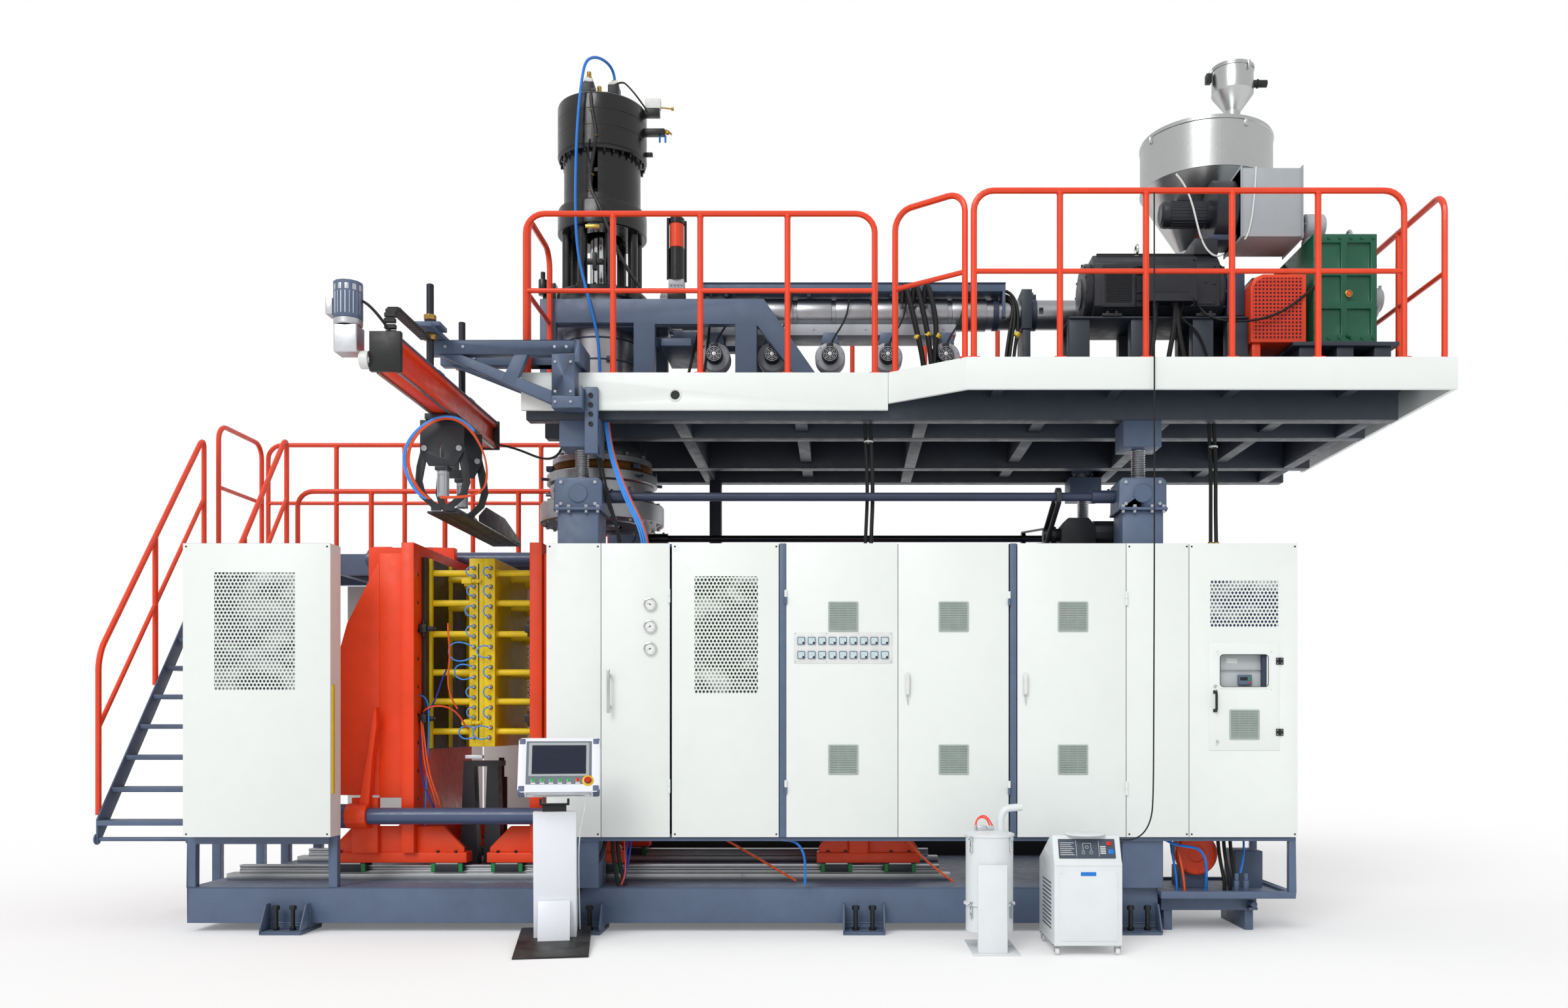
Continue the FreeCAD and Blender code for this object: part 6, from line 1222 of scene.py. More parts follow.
def makeExtruder():
    y, z = drive["y"], drive["z"]
    steel = Shape()
    steel.lathe((-1395, y, z), toRight,
                [(60, 0), (168, 0), (168, 52), (160, 60), (112, 60), (112, 4465), (168, 4465), (168, 4505),
                 (60, 4505)], 56)
    for i in range(8):
        steel.lathe((-1240 + 300 * i, y, z), toRight,
                    [(112, 0), (123, 3), (124, 8), (124, 262), (123, 267), (112, 270)], 48)
    for start in (-1335, 3052):
        steel.studs((start, y, z), "x", 18, 142, 12, 13)
    steel.finish("extruder_barrel", "platform", "turned", "bright_steel", replaces=("extruder",))
    clamps = Shape()
    for x in (1475, 1180):
        clamps.lathe((x, y, z), toRight, [(112, 0), (119, 0), (119, 44), (112, 44)], 40)
        clamps.box((x - 4, y - 18, z + 118), (52, 36, 40), 3)
        clamps.rod((x + 20, y, z + 150), (x + 20, y, z + 176), 9, sides=6)
    clamps.box((2597, y - 150, z - 140), (260, 300, 400), 8, 3)
    clamps.finish("extruder_clamps", "platform", "slateDark", "dark_paint")
    # black bars on the heater bands: painted shade inside their slots
    marks = Shape()
    for k in range(5):
        marks.box((1418, y - 120, z - 22 + 10 * k), (34, 8, 4), 0)
        marks.box((1530, y - 120, z - 22 + 10 * k), (34, 8, 4), 0)
    marks.finish("heater_slot_shades", "platform", "black", "black_steel")
    channel = Shape().box((-1103, y - 160, z + 134), (2370, 320, 66), 3)
    channel.box((-1103, y - 172, z + 194), (2370, 344, 6), 1.5)
    channel.box((1244, y - 160, z - 60), (22, 200, 200), 3)
    for i in range(4):
        channel.box((-903 + 640 * i, y - 120, z + 112), (30, 240, 24), 2)
    channel.finish("cable_channel", "platform", "slate", "grey_paint")
    strip = Shape().box((-1103, y - 140, z - 198), (1990, 280, 86), 4)
    for i in range(10):
        strip.rod((-1010 + 200 * i, y - 140, z - 150), (-1010 + 200 * i, y - 146, z - 150), 7, sides=8)
    strip.finish("air_duct", "platform", "castGrey", "pale_paint")
    discs = Shape()
    fans = Shape()
    grilles = Shape()
    ducts = Shape()
    for i in range(5):
        x, low = -963 + 440 * i, z - 385
        discs.lathe((x, y - 90, low), toFront,
                    [(0, 0), (108, 0), (115, 7), (115, 112), (106, 124), (84, 130), (0, 130)], 44)
        discs.studs((x, y - 214, low), "y", -8, 98, 6, 5, 0.3)
        fans.lathe((x, y - 220, low), toFront,
                   [(64, 0), (64, 58), (60, 66), (60, 78), (50, 80), (50, 66), (0, 66)], 36)
        for k in range(4):
            grilles.ring((x, y - 300, low), toFront, 14 + 13 * k, 1.7, 28, 6)
        for c, s in around(8):
            grilles.rod((x, y - 300, low), (x + 54 * c, y - 300, low + 54 * s), 1.5, sides=5)
        grilles.lathe((x, y - 296, low), toFront, [(15, 0), (15, 5), (0, 7)], 16)
        fans.box((x - 26, y - 282, low + 58), (52, 44, 34), 4)
        ducts.box((x - 60, y - 90, low - 20), (120, 160, 207), 5)
        ducts.plate([(x - 70, low + 100), (x - 52, low + 187), (x + 52, low + 187), (x + 70, low + 100)],
                    110, "XZ", y - 210, 3)
    discs.finish("blower_discs", "platform", "castGrey", "bright_steel")
    fans.finish("blower_motors", "platform", "motorBlack", "dark_paint")
    grilles.finish("blower_grilles", "platform", "alloy", "bright_steel")
    ducts.finish("blower_ducts", "platform", "slate", "grey_paint")
    cables = Shape()
    for shift, tail in ((0, 40), (84, 10), (170, -70)):
        cables.hose([(470 + shift, y - 176, z + 40), (476 + shift, y - 200, z + 250),
                     (520 + shift, y - 240, z + 60), (575 + shift, y - 250, z - 190),
                     (600 + shift + tail, y - 250, z - 460), (620 + shift + tail, y - 240, z - 774)], 21,
                    12)
    for shift in (0, 34, 60):
        cables.hose([(1264, y - 60, z + 170 - shift), (1340, y - 100, z + 150 - shift),
                     (1380 - shift, y - 150, z - 60), (1340 - shift, y - 170, z - 260),
                     (1310 - shift, y - 180, z - 520), (1320 - shift, y - 170, z - 774)], 13, 10)
    for i in range(5):
        x = -963 + 440 * i
        cables.hose([(x + 10, y - 262, z - 300), (x + 40, y - 280, z - 230), (x + 130, y - 250, z - 130),
                     (x + 150, y - 176, z + 60), (x + 140, y - 160, z + 150)], 7, 8)
    cables.hose([(-1050, y - 150, z + 150), (-1060, y - 200, z - 100), (-1130, y - 220, z - 350),
                 (-1180, y - 230, z - 600), (-1230, y - 200, z - 774)], 12, 10)
    cables.hose([(-1000, y - 150, z + 150), (-990, y - 220, z - 80), (-1020, y - 230, z - 420),
                 (-1090, y - 230, z - 774)], 10, 10)
    cables.finish("heater_cables", "platform", "rubber", "black_rubber")
    ties = Shape()
    for x, low in ((586, z - 260), (668, z - 240), (744, z - 250), (1350, z - 240)):
        ties.rod((x - 14, y - 246, low), (x + 4, y - 246, low + 26), 24, sides=14)
    ties.finish("cable_ties", "platform", "yellowPlastic", "yellow_paint")
    red = Shape()
    for x in (-120, 420, 860):
        red.rod((x, y - 150, z - 330), (x, y - 150, z - 200), 9, sides=10)
    red.finish("water_tails", "platform", "redPlastic", "red_button")


def makeMotor():
    low, left, front, long, wide = 4357, 1811, 345, 902, 470
    y, z = front + wide / 2, low + wide / 2
    frame = Shape()
    edge = wide * 0.17
    back, top = front + wide, low + wide
    profile = [(front + edge, low + 20), (back - edge, low + 20), (back, low + edge), (back, top - edge),
               (back - edge, top), (front + edge, top), (front, top - edge), (front, low + edge)]
    frame.plate(profile, long, "YZ", left, 12, 3)
    for i in range(9):
        frame.box((left + 30, front + 70 + i * 36, top - 2), (long - 60, 9, 12), 2, 1)
    for level in (112, 168, 300, 356):
        frame.box((left + 300, 336, low + level), (long - 330, 10, 9), 2, 1)
    for x, way in ((left, -1), (left + long, 1)):
        frame.lathe((x, y, z), (way, 0, 0), [(216, 0), (216, 34), (204, 52), (120, 62), (112, 70), (0, 70)],
                    48)
        frame.studs((x + way * 40, y, z), "x", way * 18, 204, 12, 9, 0.2)
    for share in (0.06, 0.8):
        foot = left + long * share
        frame.box((foot, 320, low), (140, wide + 50, 20), 3)
        for across in (336, front + wide + 8):
            for x in (foot + 40, foot + 104):
                frame.rod((x, across, low + 20), (x, across, low + 38), 12, sides=6)
    frame.box((left + long - 170, 400, low + wide), (170, 320, 115), 6)
    blower = low + wide + 345
    frame.lathe((left + long - 20, 560, blower), toRight,
                [(0, 0), (222, 0), (230, 8), (230, 152), (222, 160), (0, 160)], 56)
    frame.lathe((left + long - 380, 560, blower), toRight,
                [(0, 0), (70, 0), (92, 16), (98, 40), (98, 60), (92, 64), (92, 320), (98, 324), (98, 360)],
                40)
    for c, s in around(26):
        frame.box((left + long - 310, 560 + 92 * c - 3, blower + 92 * s - 3), (250, 7, 7), 0)
    frame.box((left + long - 260, 520, blower + 90), (120, 80, 44), 5)
    frame.finish("motor_frame", "platform", "motorBlack", "dark_paint", replaces=("main_motor",))
    louvre = Shape()
    louvre.plate(rounded(left + 52, low + 70, 250, 300, 10, 3), -8, "XZ", front, 2, 2,
                 [rounded(left + 84, low + 100, 186, 240, 6, 2)])
    for i in range(17):
        louvre.box((left + 82, 338, low + 104 + 14 * i), (190, 4, 7), 0, turn=turned(28, "X"))
    for dx in (66, 288):
        for dz in (84, 356):
            louvre.lathe((left + dx, 337, low + dz), toFront, [(0, 6), (5, 6), (6, 5), (6, 0)], 8)
    louvre.finish("motor_louvre", "platform", "motorBlack", "dark_paint")
    box = Shape().box((left + 340, 215, low + 76), (349, 130, 296), 8, 3)
    box.plate(rounded(left + 332, low + 68, 365, 312, 12, 4), -14, "XZ", 219, 4, 3)
    box.pins([(left + dx, low + dz) for dx in (350, 678) for dz in (86, 362)], 205, 196, 9)
    box.plate(rounded(left + 390, low + 130, 250, 190, 10, 3), -4, "XZ", 205, 2, 2)
    for x in (left + 420, left + 560):
        box.lathe((x, 280, low + 76), (0, 0, -1), [(22, 0), (26, 3), (26, 18), (20, 24), (20, 36), (0, 36)],
                  16)
    box.finish("terminal_box", "platform", "motorBlack", "dark_paint")
    cover = Shape().plate(rounded(left + 700, low + 90, 176, 290, 16, 4), -10, "XZ", front, 3, 2)
    cover.pins([(left + dx, low + dz) for dx in (716, 860) for dz in (110, 235, 360)], 335, 328, 8)
    cover.lathe((left + 800, 335, low + 250), toFront, [(10, 0), (10, 6), (0, 8)], 12)
    cover.finish("motor_cover", "platform", "motorBlack", "dark_paint")
    eye = Shape().ring((left + 330, y - 120, low + wide + 50), toRight, 34, 9, 28, 10)
    eye.rod((left + 330, y - 120, low + wide), (left + 330, y - 120, low + wide + 18), 20, sides=20)
    eye.finish("motor_eye", "platform", "chrome", "chromed")
    grey = Shape().box((left + long + 140, 330, blower - 245), (445, 400, 490), 5)
    for side in (0, 437):
        grey.box((left + long + 140 + side, 316, blower - 259), (8, 428, 518), 2)
    grey.finish("blower_box", "platform", "meshGrey", "pale_paint")
    duct = Shape().box((left + long + 70, 420, low + 33), (129, 320, 320), 6)
    duct.box((left + long - 60, 420, low + wide + 110), (210, 260, 40), 4)
    duct.finish("motor_coupling", "platform", "slateDark", "dark_paint")
    cables = Shape()
    for x, shift in ((left + 420, -20), (left + 560, -30), (left + 575, 30)):
        cables.hose([(x, 280, low + 42), (x, 280, low - 60), (x + shift, 270, low - 220),
                     (x + shift * 2, 275, low - 380), (x + shift * 2, 300, 3874)], 18, 12)
    cables.hose([(2530, 340, 4480), (2560, 300, 4380), (2640, 250, 4310), (2760, 240, 4290),
                 (3000, 250, 4300), (3200, 270, 4400), (3370, 296, 4560)], 9, 10)
    cables.hose([(2460, 330, 4520), (2440, 300, 4420), (2380, 300, 4360), (2480, 320, 4300),
                 (2600, 330, 4200), (2660, 340, 3880)], 9, 10)
    cables.finish("motor_cables", "platform", "rubber", "black_rubber")
    wire = Shape().hose([(2420, 440, 5420), (2500, 430, 5330), (2560, 420, 5100), (2600, 400, 4860),
                         (2700, 380, 4780), (2760, 420, 4840)], 7, 8)
    wire.hose([(2960, 322, 5420), (2950, 318, 5200), (2930, 320, 4950), (2880, 330, 4905)], 6, 8)
    wire.finish("blower_wires", "platform", "whitePlastic", "pale_plastic")


def makeHopper():
    x, y = 2850, 1190
    cone = Shape()
    made = bmesh.ops.create_cone(cone.mesh, cap_ends=False, segments=72, radius1=97, radius2=500,
                                 depth=476)["verts"]
    for vertex in made:
        share = vertex.co.z / 476 + 0.5
        vertex.co.x += 2727 + 123 * share
        vertex.co.y += y
        vertex.co.z += 5119 + 238
    cone.lathe((2727, y, 4900), toTop, [(97, 0), (130, 0), (130, 16), (97, 16), (97, 219)], 56)
    cone.finish("hopper_cone", "platform", "stainless", "stainless", replaces=("hopper",))
    drum = Shape().lathe((x, y, 0), toTop,
                         [(500, 5595), (504, 5597), (504, 5603), (500, 5605), (500, 5944), (506, 5948),
                          (506, 5962), (498, 5966), (498, 5979), (0, 5979)], 96)
    drum.box((x - 30, y - 501.5, 5605), (5, 3, 338), 0.8, 1)
    for c, s in around(4, math.radians(200)):
        drum.box((x + 500 * c - 14, y + 500 * s - 14, 5900), (28, 28, 50), 3)
    drum.finish("hopper_drum", "platform", "stainless", "stainless")
    can = Shape()
    x = 3060
    can.lathe((x, y, 0), toTop,
              [(60, 5979), (64, 5979), (64, 6000), (60, 6004), (60, 6226), (158, 6359), (160, 6364),
               (158, 6368), (158, 6534), (164, 6536), (164, 6548), (166, 6550), (166, 6560), (160, 6562),
               (0, 6562)], 56)
    can.lathe((x, y, 6150), toTop, [(60, 0), (84, 0), (84, 14), (60, 14)], 40)
    for c, s in around(3, math.radians(-60)):
        can.box((x + 168 * c - 9, y + 168 * s - 9, 6496), (18, 18, 66), 3)
        can.rod((x + 168 * c, y + 168 * s, 6494), (x + 184 * c, y + 184 * s, 6540), 4, sides=8)
    can.finish("receiver", "platform", "stainless", "stainless")
    black = Shape().tube([(x - 50, y, 6562), (x - 50, y, 6584), (x - 20, y - 20, 6606)], 16, 14, 20)
    black.rod((x + 150, y, 6450), (x + 268, y, 6450), 28, sides=24, bevel=2)
    black.rod((x + 190, y, 6450), (x + 200, y, 6450), 34, sides=24)
    black.box((x - 210, y - 30, 6450), (44, 60, 70), 6)
    black.finish("receiver_fittings", "platform", "blackPlastic", "black_steel")
    slide = Shape().box((x - 92, y - 110, 6010), (184, 200, 40), 4)
    slide.box((x + 60, y - 90, 6050), (60, 60, 60), 3)
    slide.finish("receiver_slide", "platform", "alloy", "stainless")


def makeGearbox():
    edged("gearbox", "platform", "gearGreen", "green_paint", 7,
          pick=lambda low, high: high[2] - low[2] > 400)
    left, low = 3360, 4162
    grey = Shape()
    grey.lathe((left + 90, 520, low + 773), toTop, [(90, 0), (90, 30), (80, 40), (0, 40)], 36)
    grey.lathe((left, 520, low + 903), toRight, [(0, 0), (78, 0), (90, 12), (90, 138), (80, 150), (0, 150)],
               40)
    grey.lathe((left - 14, 520, low + 903), toRight, [(0, 0), (40, 0), (44, 14)], 24)
    grey.studs((left - 6, 520, low + 903), "x", 10, 70, 6, 8)
    grey.ring((left + 340, 520, low + 828), toRight, 46, 11, 28, 10)
    grey.rod((left + 340, 520, low + 773), (left + 340, 520, low + 784), 26, sides=20)
    grey.lathe((left + 455, 560, low + 380), toRight,
               [(120, 0), (120, 34), (110, 40), (90, 40), (90, 118), (78, 130), (0, 130)], 40)
    grey.studs((left + 489, 560, low + 380), "x", 10, 105, 8, 8)
    grey.tube([(left + 560, 500, low + 470), (left + 560, 500, low + 330), (left + 530, 500, low + 250)],
              12, 10, 30)
    grey.finish("gearbox_pump", "platform", "castGrey", "bright_steel")
    bolts = Shape()
    bolts.pins([(left + 28 + i * 80, low + dz) for i in range(6) for dz in (30, 742)], 300, 291, 11)
    bolts.pins([(left + 16, low + 70 + k * 105) for k in range(7)], 300, 291, 10)
    bolts.rod((left + 250, 302, low + 50), (left + 250, 284, low + 50), 20, sides=6)
    bolts.lathe((left + 250, 284, low + 50), toFront, [(12, 0), (12, 6), (0, 6)], 12)
    bolts.finish("gearbox_bolts", "platform", "gearGreen", "green_paint")
    sight = Shape().lathe((left + 250, 300, low + 345), toFront,
                          [(26, 0), (26, 10), (20, 12), (18, 8), (0, 8)], 24)
    sight.finish("oil_sight", "platform", "brass", "bright_steel")
    glass = Shape().lathe((left + 250, 291, low + 345), toFront, [(0, 3), (14, 2), (15, 0)], 20)
    glass.finish("oil_sight_glass", "platform", "orangePlastic", "orange_paint")
    edged("belt_guard", "platform", "orange", "orange_paint", 5)
    sheet = Shape().plate([(2930, 4185), (3285, 4185), (3285, 4622), (3010, 4622), (2962, 4602),
                           (2930, 4560)], -1, "XZ", 299.8, 0)
    sheet.finish("belt_guard_mesh", "platform", "perforatedOrange", "orange_paint")


def makeDeckEdge():
    edged("platform_fascia", "platform", "pale", "pale_paint", 2.5)
    port = Shape().lathe((-1140, 0, 3709.6), toFront,
                         [(32, -20), (32, 3), (35, 6), (42, 6), (45, 2), (45, 0)], 40)
    port.finish("fascia_port", "platform", "whitePlastic", "pale_plastic")
    # a black disc inside the port: painted shade
    dark = Shape().lathe((-1140, 6, 3709.6), toFront, [(0, 0), (32, 0)], 32)
    dark.finish("fascia_port_shade", "platform", "black", "black_steel")


makeRails()
makeExtruder()
makeMotor()
makeHopper()
makeGearbox()
makeDeckEdge()
print("rails, extruder, motor, hopper and gearbox made")


# platens, tie bars and mould

clampSet = {"part": -2652, "left": -3095, "right": -2257, "low": 1280, "high": 1398, "front": 700,
            "deep": 980}
# the mould's back plate is painted dark brown as the shade on its side face
paint("mouldPlateShade", (52, 42, 34), 0.46, 0.3, 0.5, 0.2, worn=(120, 96, 70))
paint("mouldYellow", (240, 208, 14), 0.4, 0.22, 0.35, 0.25, worn=(150, 120, 44), scuffs=0.2)

# the rows of water fittings, as steps down from the mould's top
rowSet = (104, 132, 166, 198, 232, 266, 298, 332, 366, 401, 434, 467, 500, 535, 568, 601, 635, 668)
rowStep = 2.2327


def spacerLathe(shape, x, y, z, long):
    shape.lathe((x, y, z), toRight,
                [(30, 0), (30, 10), (24, 13), (24, long - 13), (30, long - 10), (30, long)], 20)


def makeMoulds():
    part, low, high, front, deep = (clampSet[k] for k in ("part", "low", "high", "front", "deep"))
    for name, rides, face in (("mould_left", "clamp_left", clampSet["left"]),
                              ("mould_right", "clamp_right", clampSet["right"])):
        edged(name, rides, "mouldYellow", "yellow_paint", 3, label=name + "_block",
              pick=lambda low, high: high[1] - low[1] > 900 and high[0] - low[0] > 50)
        # the thin back plates take the dark brown painted shade
        edged(name, rides, "mouldPlateShade", "dark_paint", 3, label=name + "_plate",
              pick=lambda low, high: high[1] - low[1] > 900 and high[0] - low[0] < 50)
        rods = Shape()
        start, long = (face + 34, 300) if name == "mould_left" else (part + 82, 279)
        for share in (0.08, 0.24, 0.395, 0.6, 0.765, 0.925):
            for y in (760, 1190, 1620):
                spacerLathe(rods, start, y, low + high * share, long)
        if name == "mould_left":
            for y in (front, front + 470, front + deep - 46):
                rods.box((-3061, y, low - 14), (20, 46, high + 10), 2, 1)
        rods.finish(name + "_spacers", rides, "mouldYellow", "yellow_paint")
    # a black line on the mould's front: painted shade in its groove
    line = Shape().box((-2696, front - 0.6, low + 50), (10, 2, high - 90), 0)
    line.finish("mould_groove_shade", "clamp_left", "black", "black_steel")
    # water fittings in pairs with a short loop between them
    rows = [2838.7 - rowStep * row for row in rowSet]
    for side, x, rides in (("left", -2726, "clamp_left"), ("right", -2602, "clamp_right")):
        fittings, sockets, loops = Shape(), Shape(), Shape()
        for k, z in enumerate(rows):
            place = x - (10 if side == "right" and k % 2 else 0)
            sockets.rod((place, front, z), (place, front - 1, z), 17, sides=20)
            fittings.rod((place, front, z), (place, front - 10, z), 14, sides=6)
            fittings.lathe((place, front - 10, z), toFront, [(10, 0), (10, 12), (8, 14), (8, 24), (0, 24)],
                           14)
            if k % 2:
                above = rows[k - 1]
                out = 26
                if side == "left":
                    out = {9: 150, 11: 112, 17: 84}.get(k, 34 + 5 * (k % 3))
                elif k in (9, 17):
                    out = {9: 66, 17: 92}[k]
                f = front - 22
                spread = max(0, out - 40) * 0.42
                loops.hose([(place, f, above), (place, f - 14, above + 2),
                            (place - out * 0.6, f - 24, above + spread),
                            (place - out * 1.2, f - 26, (above + z) / 2 + spread * 0.8 + 12),
                            (place - out * 1.15, f - 24, (above + z) / 2 - spread * 0.8 - 16),
                            (place - out * 0.5, f - 22, z - spread), (place, f - 14, z - 2), (place, f, z)],
                           5.5, 8)
        sockets.finish(f"mould_sockets_{side}", rides, "black", "black_steel")
        fittings.finish(f"mould_fittings_{side}", rides, "castGrey", "chromed")
        loops.finish(f"mould_loops_{side}", rides, "skyBlue", "blue_hose")
    clips = Shape()
    for z in (2502, 1452):
        clips.box((-2812, front - 24, z - 14), (74, 24, 38), 3)
        clips.box((-2740, front - 18, z - 8), (70, 18, 26), 3)
        clips.box((-2800, front, z - 30), (40, 160, 60), 3)
        for x in (-2722, -2690):
            clips.rod((x, front - 18, z + 5), (x, front - 26, z + 5), 9, sides=6)
    clips.finish("mould_clips", "clamp_left", "mouldYellow", "yellow_paint")


def makePlatens():
    for name, body, starts in (("left_platen", "clamp_left", (-3697, -2987)),
                               ("right_platen", "clamp_right", (-2550, -1840)),
                               ("tail_platen", "clamp_left", (-146, 316))):
        edged(name, body, "orangeDeep", "orange_paint", 6, label=name + "_plate",
              pick=lambda low, high: low[2] > 380)
        edged(name, body, "charcoal", "dark_paint", 3, label=name + "_blocks",
              pick=lambda low, high: low[2] < 380)
        ends, tops, bolts = Shape(), Shape(), Shape()
        for y in (590, 1790):
            for start in starts:
                for x in (start, start + 200):
                    ends.box((x, y - 74, 371), (30, 34, 60), 3, 1).box((x, y + 40, 371), (30, 34, 60), 3, 1)
                tops.box((start + 34, y - 75, 425), (162, 150, 11), 1.5, 1)
                for dx in (50, 180):
                    bolts.rod((start + dx, y - 71, 512), (start + dx, y - 71, 526), 11, sides=16)
        ends.finish(name + "_seals", body, "sealGreen", "green_paint")
        tops.finish(name + "_tops", body, "steel", "bright_steel")
        bolts.finish(name + "_bolts", body, "black", "black_steel")
    gusset = Shape().plate([(-3345, 1570), (-3368, 1510), (-3402, 1250), (-3462, 900), (-3486, 700),
                            (-3396, 700), (-3396, 880), (-3372, 1200), (-3340, 1440)], 72, "XZ", 400, 5, 3)
    gusset.finish("boss_gusset", "clamp_left", "orangeDeep", "orange_paint")
    bars = Shape()
    for y, z, start in ((405, 785, -3547), (1950, 2830, -3895)):
        bars.lathe((start - 90, y, z), toRight,
                   [(0, 0), (54, 0), (60, 6), (60, 288 - start + 84), (54, 288 - start + 90),
                    (0, 288 - start + 90)], 40)
        for x in (start - 68, 198):
            bars.lathe((x, y, z), toRight, [(60, 0), (84, 0), (87, 3), (87, 65), (84, 68), (60, 68)], 36)
    bars.finish("tie_bar_rods", "clamp_left", "tieSlate", "grey_paint", replaces=("tie_bars",))
    # black discs on the platen's face: painted shade inside its holes
    holes = Shape()
    face = clampSet["left"]
    for k in range(9):
        for y in (560, 1830):
            holes.rod((face + 0.4, y, 900 + 205 * k), (face + 1.4, y, 900 + 205 * k), 14, sides=16)
    holes.finish("platen_hole_shades", "clamp_left", "black", "black_steel")
    toggles = Shape()
    x = face
    for z in (2147, 1487):
        toggles.box((x, 560, z - 30), (60, 70, 60), 6)
        toggles.rod((x + 30, 596, z - 60), (x + 30, 596, z + 60), 16, sides=16, bevel=2)
        toggles.rod((x + 60, 596, z), (x + 104, 596, z), 22, sides=6)
        toggles.rod((x + 104, 596, z), (x + 120, 596, z), 12, sides=12)
    toggles.finish("mould_toggles_left", "clamp_left", "black", "black_steel")
    other = Shape()
    x = clampSet["right"]
    for z in (2147, 1487):
        other.box((x - 60, 560, z - 30), (60, 70, 60), 6)
        other.rod((x - 30, 596, z - 60), (x - 30, 596, z + 60), 16, sides=16, bevel=2)
    other.finish("mould_toggles_right", "clamp_right", "black", "black_steel")
    Shape().hoses((
        [(-3088, 600, 1500), (-3074, 560, 1490), (-3060, 545, 1380), (-3050, 540, 1200), (-3010, 536, 1040),
         (-2962, 540, 900), (-2950, 560, 812)],
        [(-3088, 620, 1484), (-3066, 566, 1476), (-3044, 548, 1340), (-3020, 542, 1150), (-2976, 540, 980),
         (-2930, 544, 880), (-2925, 560, 812)],
        [(-3088, 610, 1520), (-3040, 556, 1566), (-2940, 546, 1590), (-2830, 560, 1560), (-2780, 600, 1480),
         (-2770, 650, 1420)],
        [(-2900, 640, 2190), (-2890, 600, 2110), (-2860, 590, 1960), (-2900, 600, 1780), (-2880, 620, 1640),
         (-2830, 640, 1560)],
    ), 6.5, 10).finish("platen_tubes_orange", "clamp_left", "orangePlastic", "orange_paint")
    Shape().hoses((
        [(-3088, 640, 1440), (-3076, 580, 1430), (-3084, 560, 1300), (-3070, 552, 1120), (-3050, 548, 980),
         (-2990, 548, 880), (-2970, 560, 812)],
        [(-2930, 700, 1850), (-2960, 660, 1760), (-2980, 650, 1650), (-3030, 640, 1560),
         (-3080, 640, 1500)],
    ), 6.5, 10).finish("platen_tubes_blue", "clamp_left", "blueDeep", "blue_hose")
    small = Shape().box((-2790, 690, 1190), (130, 40, 26), 3)
    small.finish("air_manifold", "clamp_left", "alloy", "bright_steel")


# operator's pendant

pendantSet = {"turn": turned(10, "Z") @ turned(-24, "X"), "from": (-2055, -670, 1015)}
paint("panelGrey", (112, 122, 132), 0.5, 0.04, 0.05, 0.06)
plastic("screenGlass", (26, 32, 52), 0.12, 0.0)
plastic("buttonGreen", (28, 168, 84), 0.25, 0.0)
plastic("cornerGrey", (96, 106, 136), 0.4, 0.02)
plastic("skyBlue", (70, 156, 246), 0.3, 0.0)
plastic("sealGreen", (26, 140, 70), 0.35, 0.0)
paint("tieSlate", (70, 84, 118), 0.36, 0.12, 0.2, 0.1, coat=0.2)


def onHead(shape, name, body, look, slot, **more):
    shape.moved(pendantSet["from"], pendantSet["turn"])
    return shape.finish(name, body, look, slot, **more)


